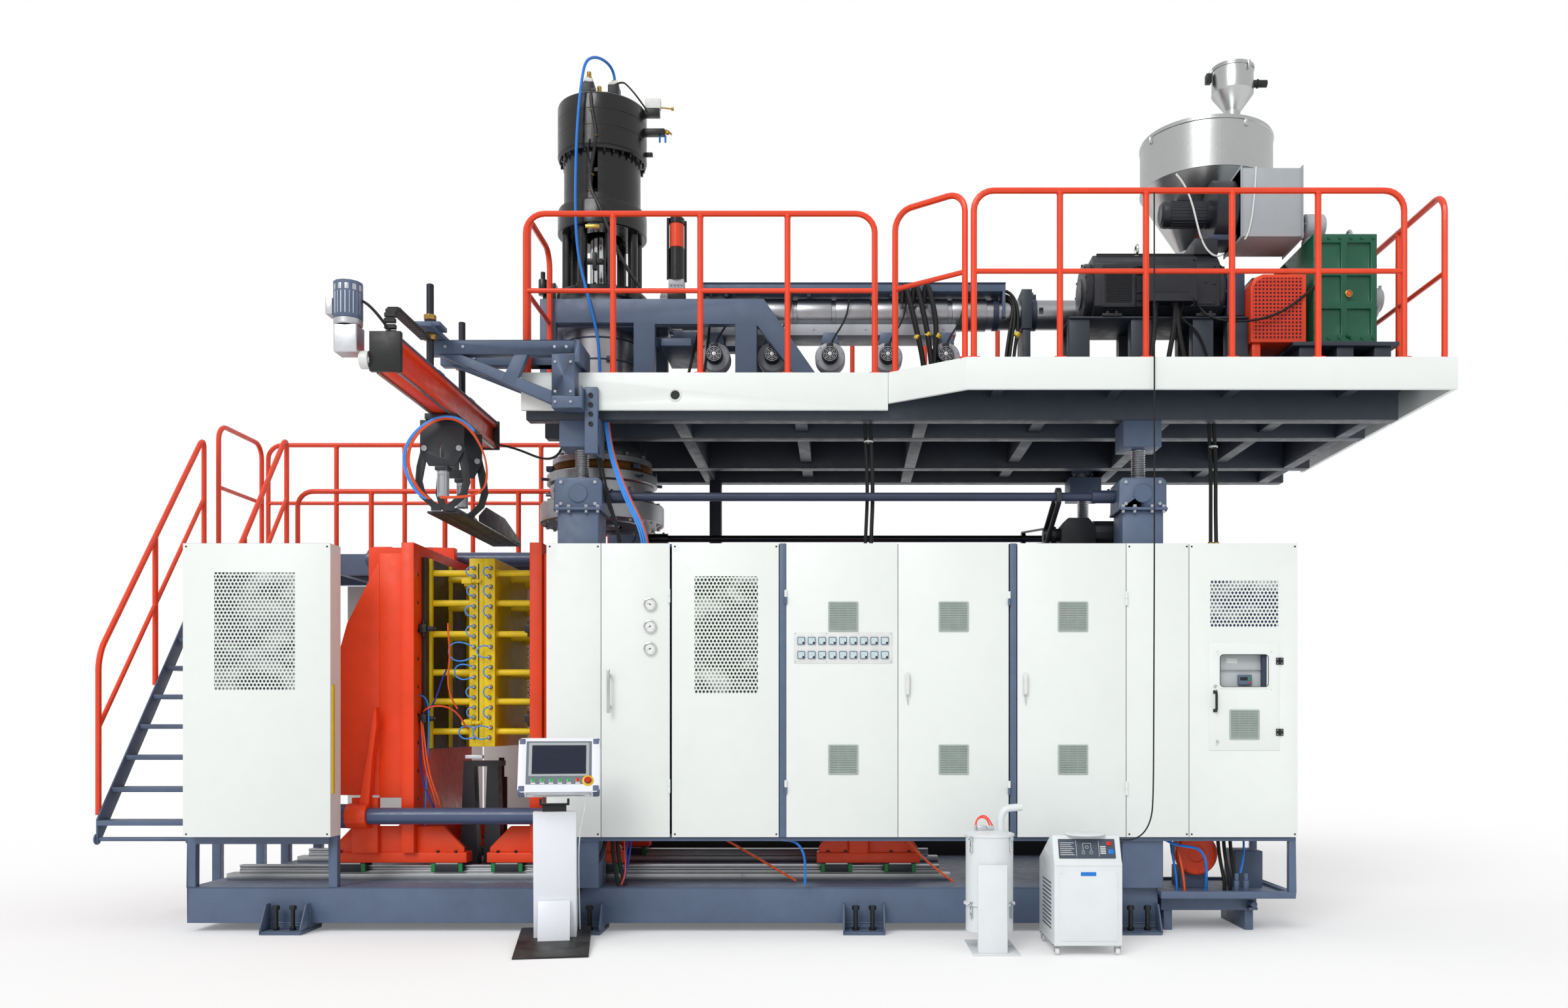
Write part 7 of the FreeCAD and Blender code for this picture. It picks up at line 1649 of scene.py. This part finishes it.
def makePendant():
    edged("pendant_stand", "base", "black", "dark_paint", 2.5, label="pendant_base",
          pick=lambda low, high: high[2] < 80)
    edged("pendant_stand", "base", "black", "dark_paint", 2, label="pendant_bracket",
          pick=lambda low, high: low[2] > 800)
    edged("pendant_stand", "base", "whitePaint", "pale_paint", 3, label="pendant_column",
          pick=lambda low, high: high[2] > 80 and low[2] < 800)
    head = "pendant_head"
    onHead(Shape().box((0, 8, 0), (514, 92, 374), 10, 3), "pendant_box", head, "whitePaint", "pale_paint",
           replaces=("pendant_head",))
    rim = Shape()
    rim.plate(rounded(0, 0, 514, 374, 26, 6), 12, "XZ", 0, 3, 3, [rounded(50, 52, 414, 300, 4, 2)])
    onHead(rim, "pendant_rim", head, "whitePaint", "pale_paint")
    corners = Shape()
    for x, z in ((-1, -1), (465, -1), (-1, 325), (465, 325)):
        corners.box((x, -2, z), (50, 102, 50), 12, 4)
    onHead(corners, "pendant_corners", head, "cornerGrey", "grey_paint")
    face = Shape().plate(rounded(50, 52, 414, 300, 3, 2), 4, "XZ", 4, 0.5, 1)
    onHead(face, "pendant_face", head, "panelGrey", "grey_paint")
    frame = Shape().plate(rounded(66, 108, 382, 234, 8, 3), 6, "XZ", 0, 2, 2,
                          [rounded(86, 124, 342, 200, 3, 2)])
    onHead(frame, "pendant_frame", head, "meshGrey", "grey_paint")
    glass = Shape().plate(rounded(86, 124, 342, 200, 3, 2), 3, "XZ", 2.5, 0.3, 1)
    onHead(glass, "pendant_glass", head, "screenGlass", "dark_paint")
    rings, caps, reds, tags = Shape(), Shape(), Shape(), Shape()
    for i in range(6):
        x = 96 + 56 * i
        rings.lathe((x, 4, 82), toFront, [(16, 0), (16, 4), (14, 6), (12, 6), (12, 0)], 28)
        (reds if i == 5 else caps).lathe((x, 4, 82), toFront, [(12, 0), (12, 10), (10, 13), (0, 14)], 24)
        tags.box((x - 15, 2.6, 56), (30, 2, 9), 0.5, 1)
    onHead(rings, "button_rings", head, "chrome", "chromed")
    onHead(caps, "button_caps", head, "buttonGreen", "green_paint")
    onHead(reds, "button_red", head, "redPlastic", "red_button")
    onHead(tags, "button_tags", head, "whitePlastic", "pale_plastic")
    stop = Shape().lathe((440, 4, 76), toFront, [(38, 0), (38, 3), (34, 9), (24, 12), (22, 0)], 40)
    onHead(stop, "stop_ring", head, "yellowPlastic", "yellow_paint")
    knob = Shape().lathe((440, 0, 76), toFront,
                         [(0, 1), (13, 1), (13, 7), (19, 8), (20, 12), (19, 22), (15, 25), (0, 25)], 36)
    onHead(knob, "stop_knob", "stop_button", "redPlastic", "red_button", replaces=("stop_button",))
    bar = Shape().tube([(60, 30, -2), (60, 10, -18), (454, 10, -18), (454, 30, -2)], 7, 12, 12)
    onHead(bar, "pendant_handle", head, "chrome", "chromed")


# material loader

paint("whitePaint", (236, 240, 246), 0.34, 0.03, 0.1, 0.08, coat=0.2)
plastic("panelDark", (66, 78, 92), 0.4, 0.02)
plastic("redTube", (250, 74, 58), 0.3, 0.02)
paint("loaderWhite", (226, 231, 233), 0.38, 0.05, 0.14, 0.12, coat=0.15)


def makeLoader():
    x, y = 1545, -800
    edged("loader", "base", "loaderWhite", "pale_paint", 5, label="loader_body",
          pick=lambda low, high: high[2] - low[2] > 300 and high[1] - low[1] > 500 and low[0] > 1200)
    edged("loader", "base", "loaderWhite", "pale_paint", 3, label="filter_stand",
          pick=lambda low, high: high[0] < 1150
          and (high[2] < 20 or high[0] - low[0] > 180 and high[0] - low[0] < 190))
    edged("loader", "base", "steel", "bright_steel", 1, label="caster_forks",
          pick=lambda low, high: low[0] > 1200 and high[2] < 70)
    door = Shape().plate(rounded(x - 182, 92, 364, 440, 6, 3), -4, "XZ", y, 1.5, 2)
    for dx in (-170, 170):
        for z in (106, 518):
            door.rod((x + dx, y - 4, z), (x + dx, y - 8, z), 5, sides=12)
    door.box((x - 206, y - 3, 562), (412, 4, 5), 1, 1)
    door.finish("loader_door", "base", "loaderWhite", "pale_paint")
    tag = Shape().box((x - 48, y - 6.4, 500), (96, 3, 24), 0.8, 1)
    tag.finish("loader_tag", "base", "bluePlastic", "blue_hose")
    slope = math.degrees(math.atan2(65, 145))
    panel = Shape().plate(rounded(x - 178, 0, 356, 128, 4, 2), -3, "XZ", 0, 0.8, 1)
    panel.moved((0, y + 26, 606), turned(-slope, "X"))
    panel.finish("loader_panel", "base", "panelDark", "dark_paint")
    lines = Shape()
    for k in range(7):
        lines.box((x - 168, -4.2, 22 + 13 * k), (88 - 9 * (k % 3), 1.4, 3), 0)
    for dx, dz in ((-24, 30), (26, 30), (0, 66)):
        lines.ring((x + dx, -3.6, dz + 8), (0, 1, 0), 10, 1, 16, 6)
    lines.box((x - 25, -4, 48), (2, 1, 50), 0).box((x + 25, -4, 48), (2, 1, 50), 0)
    lines.box((x - 25, -4, 98), (52, 1, 2), 0)
    lines.box((x + 74, -4.2, 12), (2, 1.4, 104), 0).box((x - 68, -4.2, 12), (2, 1.4, 104), 0)
    for k in range(4):
        lines.box((x + 84, -4.2, 30 + 14 * k), (34, 1.4, 7), 0)
    lines.moved((0, y + 26, 606), turned(-slope, "X"))
    lines.finish("loader_lines", "base", "whitePlastic", "pale_plastic")
    for name, look, slot, box in (("loader_switch", "redPlastic", "red_button",
                                   (x + 126, -9, 84, 30, 8, 26)),
                                  ("loader_keys", "bluePlastic", "blue_hose",
                                   (x + 134, -6, 28, 34, 4, 32))):
        key = Shape().box(box[:3], box[3:], 3, 2).moved((0, y + 26, 606), turned(-slope, "X"))
        key.finish(name, "base", look, slot)
    lid = Shape().lathe((x, y + 120, 745), toTop,
                        [(0, 0), (124, 0), (128, 3), (128, 11), (120, 15), (0, 17)], 48)
    lid.box((x - 18, y + 116, 762), (10, 8, 22), 2).box((x + 8, y + 116, 762), (10, 8, 22), 2)
    lid.finish("loader_lid", "base", "loaderWhite", "pale_paint", replaces=("loader",))
    # dark bars on the loader's side: painted shade inside its vent slots
    slots = Shape()
    for k in range(12):
        slots.box((x - 214, y + 120, 150 + 26 * k), (3, 330, 9), 1, 1)
    slots.finish("loader_vent_shades", "base", "slateDark", "dark_paint")
    x, y = 955, -560
    can = Shape().lathe((x, y, 0), toTop,
                        [(60, 119), (146, 119), (152, 126), (152, 290), (164, 292), (166, 298), (164, 304),
                         (152, 306), (152, 724), (158, 728), (160, 736), (158, 746), (140, 752), (100, 766),
                         (0, 768)], 56)
    can.box((x - 60, y - 80, 8), (120, 160, 112), 4)
    can.tube([(x + 70, y, 762), (x + 70, y, 850), (x + 100, y, 905), (x + 210, y, 915)], 24, 24, 60)
    can.box((x - 20, y - 160, 500), (40, 10, 40), 2)
    can.finish("filter_canister", "base", "loaderWhite", "pale_paint")
    clips = Shape()
    for turn in (-52, 52, 180):
        for z in (640, 222):
            c, s = math.sin(math.radians(turn)), -math.cos(math.radians(turn))
            piece = Shape().box((-9, -13, 0), (18, 13, 96), 3)
            piece.box((-12, -22, 70), (24, 20, 14), 3).box((-7, -17, -12), (14, 12, 40), 3)
            piece.moved((0, 0, 0), turned(turn, "Z")).moved((x + 152 * c, y + 152 * s, z))
            clips.join(piece)
    clips.finish("canister_clips", "base", "chrome", "chromed")
    top = Shape().box((x - 82, y - 48, 766), (58, 36, 30), 4).box((x - 20, y - 44, 772), (46, 28, 26), 3)
    top.rod((x - 92, y - 30, 766), (x - 92, y - 30, 802), 8, sides=14)
    top.finish("canister_valve", "base", "alloy", "bright_steel")
    tubes = Shape()
    for shift in (0, 18):
        tubes.hose([(x - 92 + shift * 0.2, y - 30, 796), (x - 92, y - 32, 830),
                    (x - 62, y - 34, 860 + shift * 0.4), (x - 16, y - 34, 846 + shift),
                    (x - 2 + shift, y - 32, 796)], 5, 10)
    tubes.finish("canister_tubes", "base", "redTube", "orange_paint")
    for i in range(4):
        fx, fy = 1545 - 190 + (i % 2) * 380, -800 + 40 + (i // 2) * 500
        wheel = Shape().lathe((fx - 13.5, fy, 24), toRight,
                              [(0, 1), (9, 0), (10, 4), (17, 3), (20, 0), (24, 3), (24, 24), (20, 27),
                               (17, 24), (10, 23), (9, 27), (0, 26)], 32)
        wheel.finish(f"caster_tyre_{i + 1}", f"caster_wheel_{i + 1}", "whitePlastic", "pale_plastic",
                     replaces=(f"caster_wheel_{i + 1}",))


makeMoulds()
makePlatens()
makePendant()
makeLoader()
print("clamp, pendant and loader made")


# robot, lift and base

robotSet = {"x": -2740, "start": -1060, "z": 3580}
liftSet = {"columns": (-1820, 2090), "front": 200, "rear": 2230, "axis": 3045, "shaftStart": -1652,
           "shaftEnd": 1922}
footSet = {"starts": (-3990, -1940, 15, 1915), "wide": 290}
baySet = {"left": 2210}
paint("frameDark", (50, 58, 70), 0.44, 0.16, 0.2, 0.14)


def makeRobot():
    edged("robot_arm", "platform", "slate", "grey_paint", 4, label="robot_arm_bars",
          pick=lambda low, high: not (high[2] - low[2] > 150
                                      and high[0] - low[0] < 60 and high[1] - low[1] < 60))
    x, z = robotSet["x"], robotSet["z"]
    rods = Shape()
    for y in (-260, 450):
        top = 4380 if y < 0 else 4350
        rods.lathe((x, y, z + 215), toTop, [(24, 0), (24, top - z - 215 - 4), (20, top - z - 215)], 28)
        for level in (z + 216, 4018, 4110 if y < 0 else 4080):
            rods.rod((x, y, level), (x, y, level + 30), 38, sides=6, bevel=2)
    rods.finish("robot_rods", "platform", "blued", "black_steel", replaces=("robot_arm",))
    bolts = Shape()
    for y in (-128, 138):
        for dx in (-2680, -2560, -1940, -1860):
            bolts.rod((dx, y, 4003), (dx, y - 8, 4003), 11, sides=6)
    for dx in (-1935, -1830):
        for level in (3630, 3700, 3900):
            bolts.rod((dx, -130, level), (dx, -139, level), 10, sides=6)
    bolts.finish("robot_bolts", "platform", "castGrey", "bright_steel")
    edged("robot_beam", "platform", "orange", "orange_paint", 4, label="robot_beam_box",
          pick=lambda low, high: high[1] - low[1] > 600 and 100 < high[0] - low[0] < 170)
    edged("robot_beam", "platform", "black", "black_steel", 4, label="robot_ends",
          pick=lambda low, high: high[2] - low[2] > 205 and high[0] - low[0] > 186)
    edged("robot_beam", "platform", "slate", "grey_paint", 3, label="robot_top",
          pick=lambda low, high: 170 < high[0] - low[0] < 186)
    edged("robot_beam", "platform", "alloy", "bright_steel", 8, label="robot_gears",
          pick=lambda low, high: high[0] < -2880 and high[2] < 3845 and high[2] - low[2] > 100, segments=3)
    start = robotSet["start"]
    motor = Shape()
    mx, my = x - 225, start - 25
    motor.lathe((mx, my, z + 260), toTop,
                [(76, 0), (84, 6), (84, 36), (76, 42), (76, 52), (80, 60), (80, 200), (84, 204), (84, 236),
                 (80, 254), (0, 260)], 40)
    for c, s in around(22):
        motor.box((mx + 81 * c - 3, my + 81 * s - 3, z + 322), (6, 6, 132), 0)
    motor.box((mx - 120, my - 50, z + 320), (44, 100, 100), 6)
    motor.finish("robot_motor", "platform", "alloy", "bright_steel", replaces=("robot_beam",))
    wheel = Shape().lathe((x - 150, start - 20, z + 60), toRight,
                          [(0, 2), (18, 0), (20, 8), (44, 10), (54, 2), (54, 53), (44, 45), (20, 47),
                           (18, 55), (0, 53)], 44)
    wheel.finish("robot_wheel", "platform", "whitePlastic", "pale_plastic")
    nuts = Shape()
    for y, level in ((-260, 4140), (450, 4110)):
        nuts.rod((x, y, level), (x, y, level + 34), 42, sides=6, bevel=2)
        nuts.rod((x, y, 4006), (x, y, 4046), 44, sides=24, bevel=2)
    nuts.finish("robot_nuts", "platform", "brass", "bright_steel")
    strut = Shape().plate([(-2212, 3962), (-2122, 3962), (-2212, 3748), (-2302, 3778)], 60, "XZ", -122, 3)
    strut.finish("robot_strut", "platform", "slate", "grey_paint")
    heads = Shape()
    for level in (3697, 3632, 3568, 3500):
        heads.lathe((-1711, -45, level), toFront, [(0, 6), (7, 6), (8, 12), (15, 12), (16, 10), (16, 0)],
                    18)
    heads.finish("mount_bolts", "platform", "black", "black_steel")
    motorCable = Shape().hose([(mx + 70, my + 10, z + 420), (mx + 130, my - 20, z + 400),
                               (mx + 190, my + 10, z + 320), (mx + 240, my + 40, z + 240)], 9, 10)
    motorCable.hose([(x + 120, 900, 3570), (x + 330, 700, 3500), (x + 520, 500, 3380), (x + 700, 350, 3330),
                     (-1960, 250, 3400), (-1930, 240, 3560)], 9, 10)
    motorCable.finish("robot_cables", "platform", "rubber", "black_rubber")
    for name, look, slot, shift in (("gripper_loops_blue", "skyBlue", "blue_hose", 0),
                                    ("gripper_loops_orange", "orangePlastic", "orange_paint", 26)):
        loops = Shape()
        for k in range(2):
            d = shift + 11 * k
            loops.hose([(-2846 + d, -40, 2990), (-2890 + d, -70, 3010), (-2985 + d, -96, 3150),
                        (-2975 + d, -100, 3360), (-2840 + d, -90, 3500), (-2700 + d, -84, 3560 - d * 0.4),
                        (-2570 + d * 0.3, -80, 3530 - d), (-2500, -76, 3450 - d)], 6.5, 10)
            if shift:
                loops.hose([(-2500, -76, 3450 - d), (-2430 + d * 0.3, -84, 3300),
                            (-2384 - d * 0.5, -90, 3130), (-2440 + d * 0.2, -80, 3010),
                            (-2600, -60, 2996 - k * 8), (-2740, -40, 3004 - k * 8)], 6.5, 10)
        loops.finish(name, "gripper_carriage", look, slot)
    rails = Shape()
    for side in (-62, 62):
        rails.box((x + side - 10, start + 20, z - 12), (20, 2080, 14), 1.5, 1)
    rails.finish("robot_rails", "platform", "steel", "bright_steel")
    links = Shape()
    low = z + 201
    for k in range(15):
        for level in (low, low + 186):
            links.box((x - 20, start + 100 + 38 * k, level), (70, 34, 24), 3, 1)
    for k in range(9):
        angle = math.radians(90 + 180 * k / 8)
        py, pz = start + 100 + 93 * math.cos(angle), low + 105 + 93 * math.sin(angle)
        links.box((x - 20, py - 14, pz - 14), (70, 28, 28), 4, 1)
    links.finish("cable_chain", "platform", "blackPlastic", "black_rubber")
    edged("gripper_carriage", "gripper_carriage", "charcoal", "dark_paint", 2, label="gripper_plates",
          pick=lambda low, high: not (high[2] - low[2] > 150 and high[0] - low[0] < 90))
    cylinder = Shape()
    for y in (-25, 415):
        cylinder.lathe((x, y + 42, 3010), toTop,
                       [(0, 0), (34, 0), (38, 4), (38, 24), (32, 28), (32, 150), (38, 154), (38, 176),
                        (34, 180), (0, 180)], 32)
        for dx in (-28, 28):
            for dy in (14, 70):
                cylinder.rod((x + dx, y + dy, 3010), (x + dx, y + dy, 3190), 5, sides=10)
        for side in (-120, 120):
            cylinder.lathe((x + side, y + 9, 3340), toFront,
                           [(0, 0), (18, 0), (20, 2), (20, 10), (12, 12), (0, 12)], 24)
    cylinder.finish("gripper_cylinders", "gripper_carriage", "castGrey", "bright_steel",
                    replaces=("gripper_carriage",))
    for jaw in ("jaw_left", "jaw_right"):
        edged(jaw, jaw, "charcoal", "dark_paint", 2.5)


def makeLift():
    edged("jacks", "base", "slate", "grey_paint", 6)
    screws = Shape()
    caps = Shape()
    bolts = Shape()
    thread = [(50 if k % 2 else 43, 8 * k) for k in range(48)] + [(50, 384), (50, 446)]
    for x in liftSet["columns"]:
        for y in (liftSet["front"], liftSet["rear"]):
            screws.lathe((x, y, 3150), toTop, thread, 32)
            caps.lathe((x, y, 3596), toTop, [(50, 0), (92, 0), (96, 4), (96, 36), (92, 40), (50, 40)], 40)
            screws.lathe((x, y, 3155), toTop, [(50, 0), (86, 0), (86, 12), (70, 18), (50, 18)], 36)
            bolts.studs((x, y, 3596), "z", -10, 78, 8, 9, 0.4)
            front = y - 142
            for dx in (-140, -60, 60, 140):
                bolts.rod((x + dx, front - 18, 2945), (x + dx, front - 18, 2962), 13, sides=6)
                bolts.rod((x + dx, front - 18, 2925), (x + dx, front - 18, 2908), 11, sides=6)
            for dx in (-118, 118):
                for z in (2972, 3122):
                    bolts.lathe((x + dx, front, z), toFront, [(0, 8), (11, 8), (12, 7), (12, 0)], 16)
            caps.lathe((x, front, liftSet["axis"]), toFront, [(0, 10), (60, 10), (66, 6), (66, 0)], 32)
    screws.finish("lift_threads", "platform", "steel", "bright_steel", replaces=("lift_screws",))
    edged("lift_screws", "platform", "slate", "grey_paint", 4, label="screw_feet",
          pick=lambda low, high: high[0] - low[0] > 250, replaces=False)
    caps.finish("screw_flanges", "platform", "slate", "grey_paint")
    bolts.finish("jack_bolts", "base", "castGrey", "bright_steel")
    start, end, z = liftSet["shaftStart"], liftSet["shaftEnd"], liftSet["axis"]
    long = end - start
    for name, y, collar, look in (("lift_shaft_front", liftSet["front"], 1510, "slateDark"),
                                  ("lift_shaft_rear", liftSet["rear"], 1558, "blued")):
        shaft = Shape()
        shaft.lathe((start, y, z), toRight,
                    [(0, 0), (44, 0), (45, 1), (45, 158), (44, 160), (30, 160), (30, long - 160),
                     (44, long - 160), (45, long - 158), (45, long - 1), (0, long)], 36)
        shaft.lathe((collar, y, z), toRight, [(30, 0), (48, 0), (48, 34), (30, 34)], 36)
        for x in (start + 40, start + 120, end - 40, end - 120):
            shaft.rod((x, y, z + 44), (x, y, z + 54), 10, sides=6)
        shaft.finish(name + "_bar", name, look, "dark_paint", replaces=(name,))
    edged("lift_drive", "base", "charcoal", "dark_paint", 2)


def makeBase():
    edged("floor_frame", "base", "slate", "grey_paint", 4)
    edged("guide_rails", "base", "steel", "bright_steel", 1.5)
    edged("stairs", "base", "slate", "grey_paint", 3)
    edged("platform_frame", "platform", "frameDark", "dark_paint", 3)
    edged("cabinet_shell", "base", "slate", "grey_paint", 2)
    bolts = Shape()
    for x in footSet["starts"]:
        for share in (0.3, 0.7):
            bolts.lathe((x + footSet["wide"] * share, 45, 24), toTop,
                        [(0, 0), (22, 0), (24, 3), (24, 22), (15, 24), (15, 140), (26, 141), (26, 166),
                         (22, 170), (0, 170)], 6)
    bolts.finish("foot_bolts", "base", "black", "black_steel")
    welds = Shape()
    for x in footSet["starts"]:
        end = x + footSet["wide"]
        welds.rod((x, 119, 62), (end, 119, 62), 5, sides=8)
        for side in (x, end):
            welds.rod((side, 119, 62), (side, 119, 200), 4, sides=8)
    welds.finish("foot_welds", "base", "slate", "grey_paint")


def makeUnderside():
    # hose bundle from the deck's underside down to the cabinet's roof
    for name, look, slot, shifts, radius in (
            ("deck_bundle_blue", "skyBlue", "blue_hose", (0, 16, 32), 7),
            ("deck_bundle_orange", "orangePlastic", "orange_paint", (44,), 6),
            ("deck_bundle_black", "rubber", "black_rubber", (-120, -90), 9)):
        bundle = Shape()
        for shift in shifts:
            low = -1386 + shift if shift >= 0 else -1500 + shift * 0.4
            bundle.hose([(-1655 + shift * 0.6, 150, 3640), (-1640 + shift * 0.6, 130, 3430),
                         (-1590 + shift * 0.8, 120, 3220),
                         (-1480 + shift if shift >= 0 else -1560 + shift * 0.5, 116, 2950),
                         (low, 118, 2780), (low + 4, 120, 2640)], radius, 10)
        bundle.finish(name, "platform", look, slot)
    # a black sheet along the rear beam, between the rear columns: painted shade under the machine
    sheet = Shape().box((-1674, 2290, 310), (3618, 3, 160), 1, 1)
    sheet.finish("rear_shade_sheet", "base", "black", "dark_paint")
    strip = Shape().box((-3514, 24, 968), (14, 30, 752), 2)
    for k in range(12):
        strip.box((-3516, 22, 1000 + 60 * k), (4, 34, 3), 0.5, 1)
    strip.finish("light_curtain", "base", "yellow", "yellow_paint")
    hoses = Shape()
    hoses.hose([(-1640, 150, 668), (-1644, 100, 600), (-1676, 94, 480), (-1780, 96, 350),
                (-1850, 100, 250)], 14, 12)
    hoses.hose([(-1606, 190, 668), (-1600, 170, 580), (-1596, 160, 470), (-1556, 165, 318)], 14, 12)
    hoses.hose([(-1570, 200, 668), (-1572, 180, 580), (-1560, 170, 470), (-1510, 175, 318)], 14, 12)
    hoses.finish("base_hoses", "base", "rubber", "black_rubber")
    blue = Shape().hose([(-1500, 200, 668), (-1510, 180, 560), (-1500, 170, 440), (-1540, 175, 330)], 8, 10)
    blue.hose([(-1480, 200, 668), (-1470, 180, 560), (-1500, 165, 420), (-1530, 170, 326)], 8, 10)
    blue.finish("base_hoses_blue", "base", "blueDeep", "blue_hose")
    red = Shape().hose([(-1520, 200, 668), (-1530, 180, 540), (-1480, 160, 430), (-1540, 160, 322)], 6, 10)
    red.hose([(-900, 300, 668), (-700, 300, 560), (-500, 310, 440), (-320, 320, 330)], 8, 10)
    red.hose([(430, 280, 668), (520, 250, 560), (600, 240, 470), (800, 260, 330)], 8, 10)
    red.finish("base_hoses_orange", "base", "orangePlastic", "orange_paint")


def makePairs():
    # the second cable of each pair that hangs from the deck, and the ties that hold the pairs
    pairs = Shape()
    pairs.hose([(158, 266, 3843), (166, 270, 3600), (184, 276, 3300), (190, 278, 3020), (176, 272, 2820),
                (172, 268, 2670)], 13, 12)
    pairs.hose([(2592, 250, 3843), (2600, 254, 3600), (2620, 260, 3300), (2616, 252, 3000),
                (2606, 218, 2820), (2602, 204, 2670)], 13, 12)
    pairs.finish("deck_cable_pairs", "platform", "rubber", "black_rubber")
    bands = Shape()
    for x, y, z in ((196, 270, 3440), (206, 275, 3050), (2634, 255, 3400)):
        bands.lathe((x, y, z), toTop, [(30, 0), (33, 2), (33, 12), (30, 14)], 18)
    bands.finish("deck_cable_bands", "platform", "whitePlastic", "pale_plastic")
    glands = Shape()
    for x, y in ((2602, 204), (2640, 200), (172, 268), (214, 268)):
        glands.lathe((x, y, 2690), toTop, [(15, 0), (26, 0), (26, 14), (20, 18), (20, 34), (15, 38)], 18)
    glands.finish("roof_glands", "base", "brass", "bright_steel")
    blue = Shape().hose([(-560, 60, 664), (-420, 60, 640), (-340, 62, 650), (-270, 60, 600),
                         (-240, 64, 500), (-250, 70, 330)], 9, 10)
    blue.hose([(2260, 110, 640), (2330, 100, 600), (2440, 96, 600), (2540, 110, 560), (2560, 150, 420),
               (2560, 180, 274)], 10, 10)
    blue.finish("panel_hoses_blue", "base", "bluePlastic", "blue_hose")


def makeBay():
    left = baySet["left"]
    edged("hydraulic_bay", "base", "slate", "grey_paint", 3, label="bay_frame",
          pick=lambda low, high: not (low[2] >= 365 and high[2] <= 672
                                      and high[0] < left + 500 and high[0] - low[0] > 205))
    cover = Shape().lathe((left + 330, 390, 520), toFront,
                          [(0, 0), (140, 0), (150, 8), (150, 52), (140, 60), (60, 60), (54, 54), (0, 54)],
                          48)
    cover.studs((left + 330, 330, 520), "y", -10, 128, 8, 9, 0.2)
    cover.finish("pump_cover", "base", "orangeDeep", "orange_paint", replaces=("hydraulic_bay",))
    body = Shape().lathe((left + 330, 390, 520), (0, 1, 0),
                         [(96, 0), (105, 6), (105, 262), (92, 272), (0, 272)], 44)
    body.finish("pump_body", "base", "slateDark", "dark_paint")
    hoses = Shape()
    for k, shift in enumerate((0, 40, 86)):
        hoses.hose([(left + 470 + shift, 300, 660), (left + 468 + shift, 280, 560),
                    (left + 480 + shift, 250, 440 - 20 * k), (left + 500 + shift, 230, 330),
                    (left + 500 + shift, 240, 274)], 13, 12)
    hoses.finish("bay_hoses_black", "base", "rubber", "black_rubber")
    blue = Shape().hose([(left + 120, 250, 660), (left + 116, 220, 540), (left + 150, 190, 430),
                         (left + 150, 190, 274)], 9, 10)
    blue.hose([(left + 640, 260, 660), (left + 640, 230, 540), (left + 610, 200, 440),
               (left + 594, 190, 400)], 8, 10)
    blue.finish("bay_hoses_blue", "base", "bluePlastic", "blue_hose")
    orange = Shape().hose([(left + 160, 250, 660), (left + 150, 210, 560), (left + 190, 170, 470),
                           (left + 200, 170, 274)], 9, 10)
    orange.finish("bay_hoses_orange", "base", "orangePlastic", "orange_paint")


makeRobot()
makeLift()
makeBase()
makeUnderside()
makePairs()
makeBay()
print("robot, lift, base and hydraulic bay made")
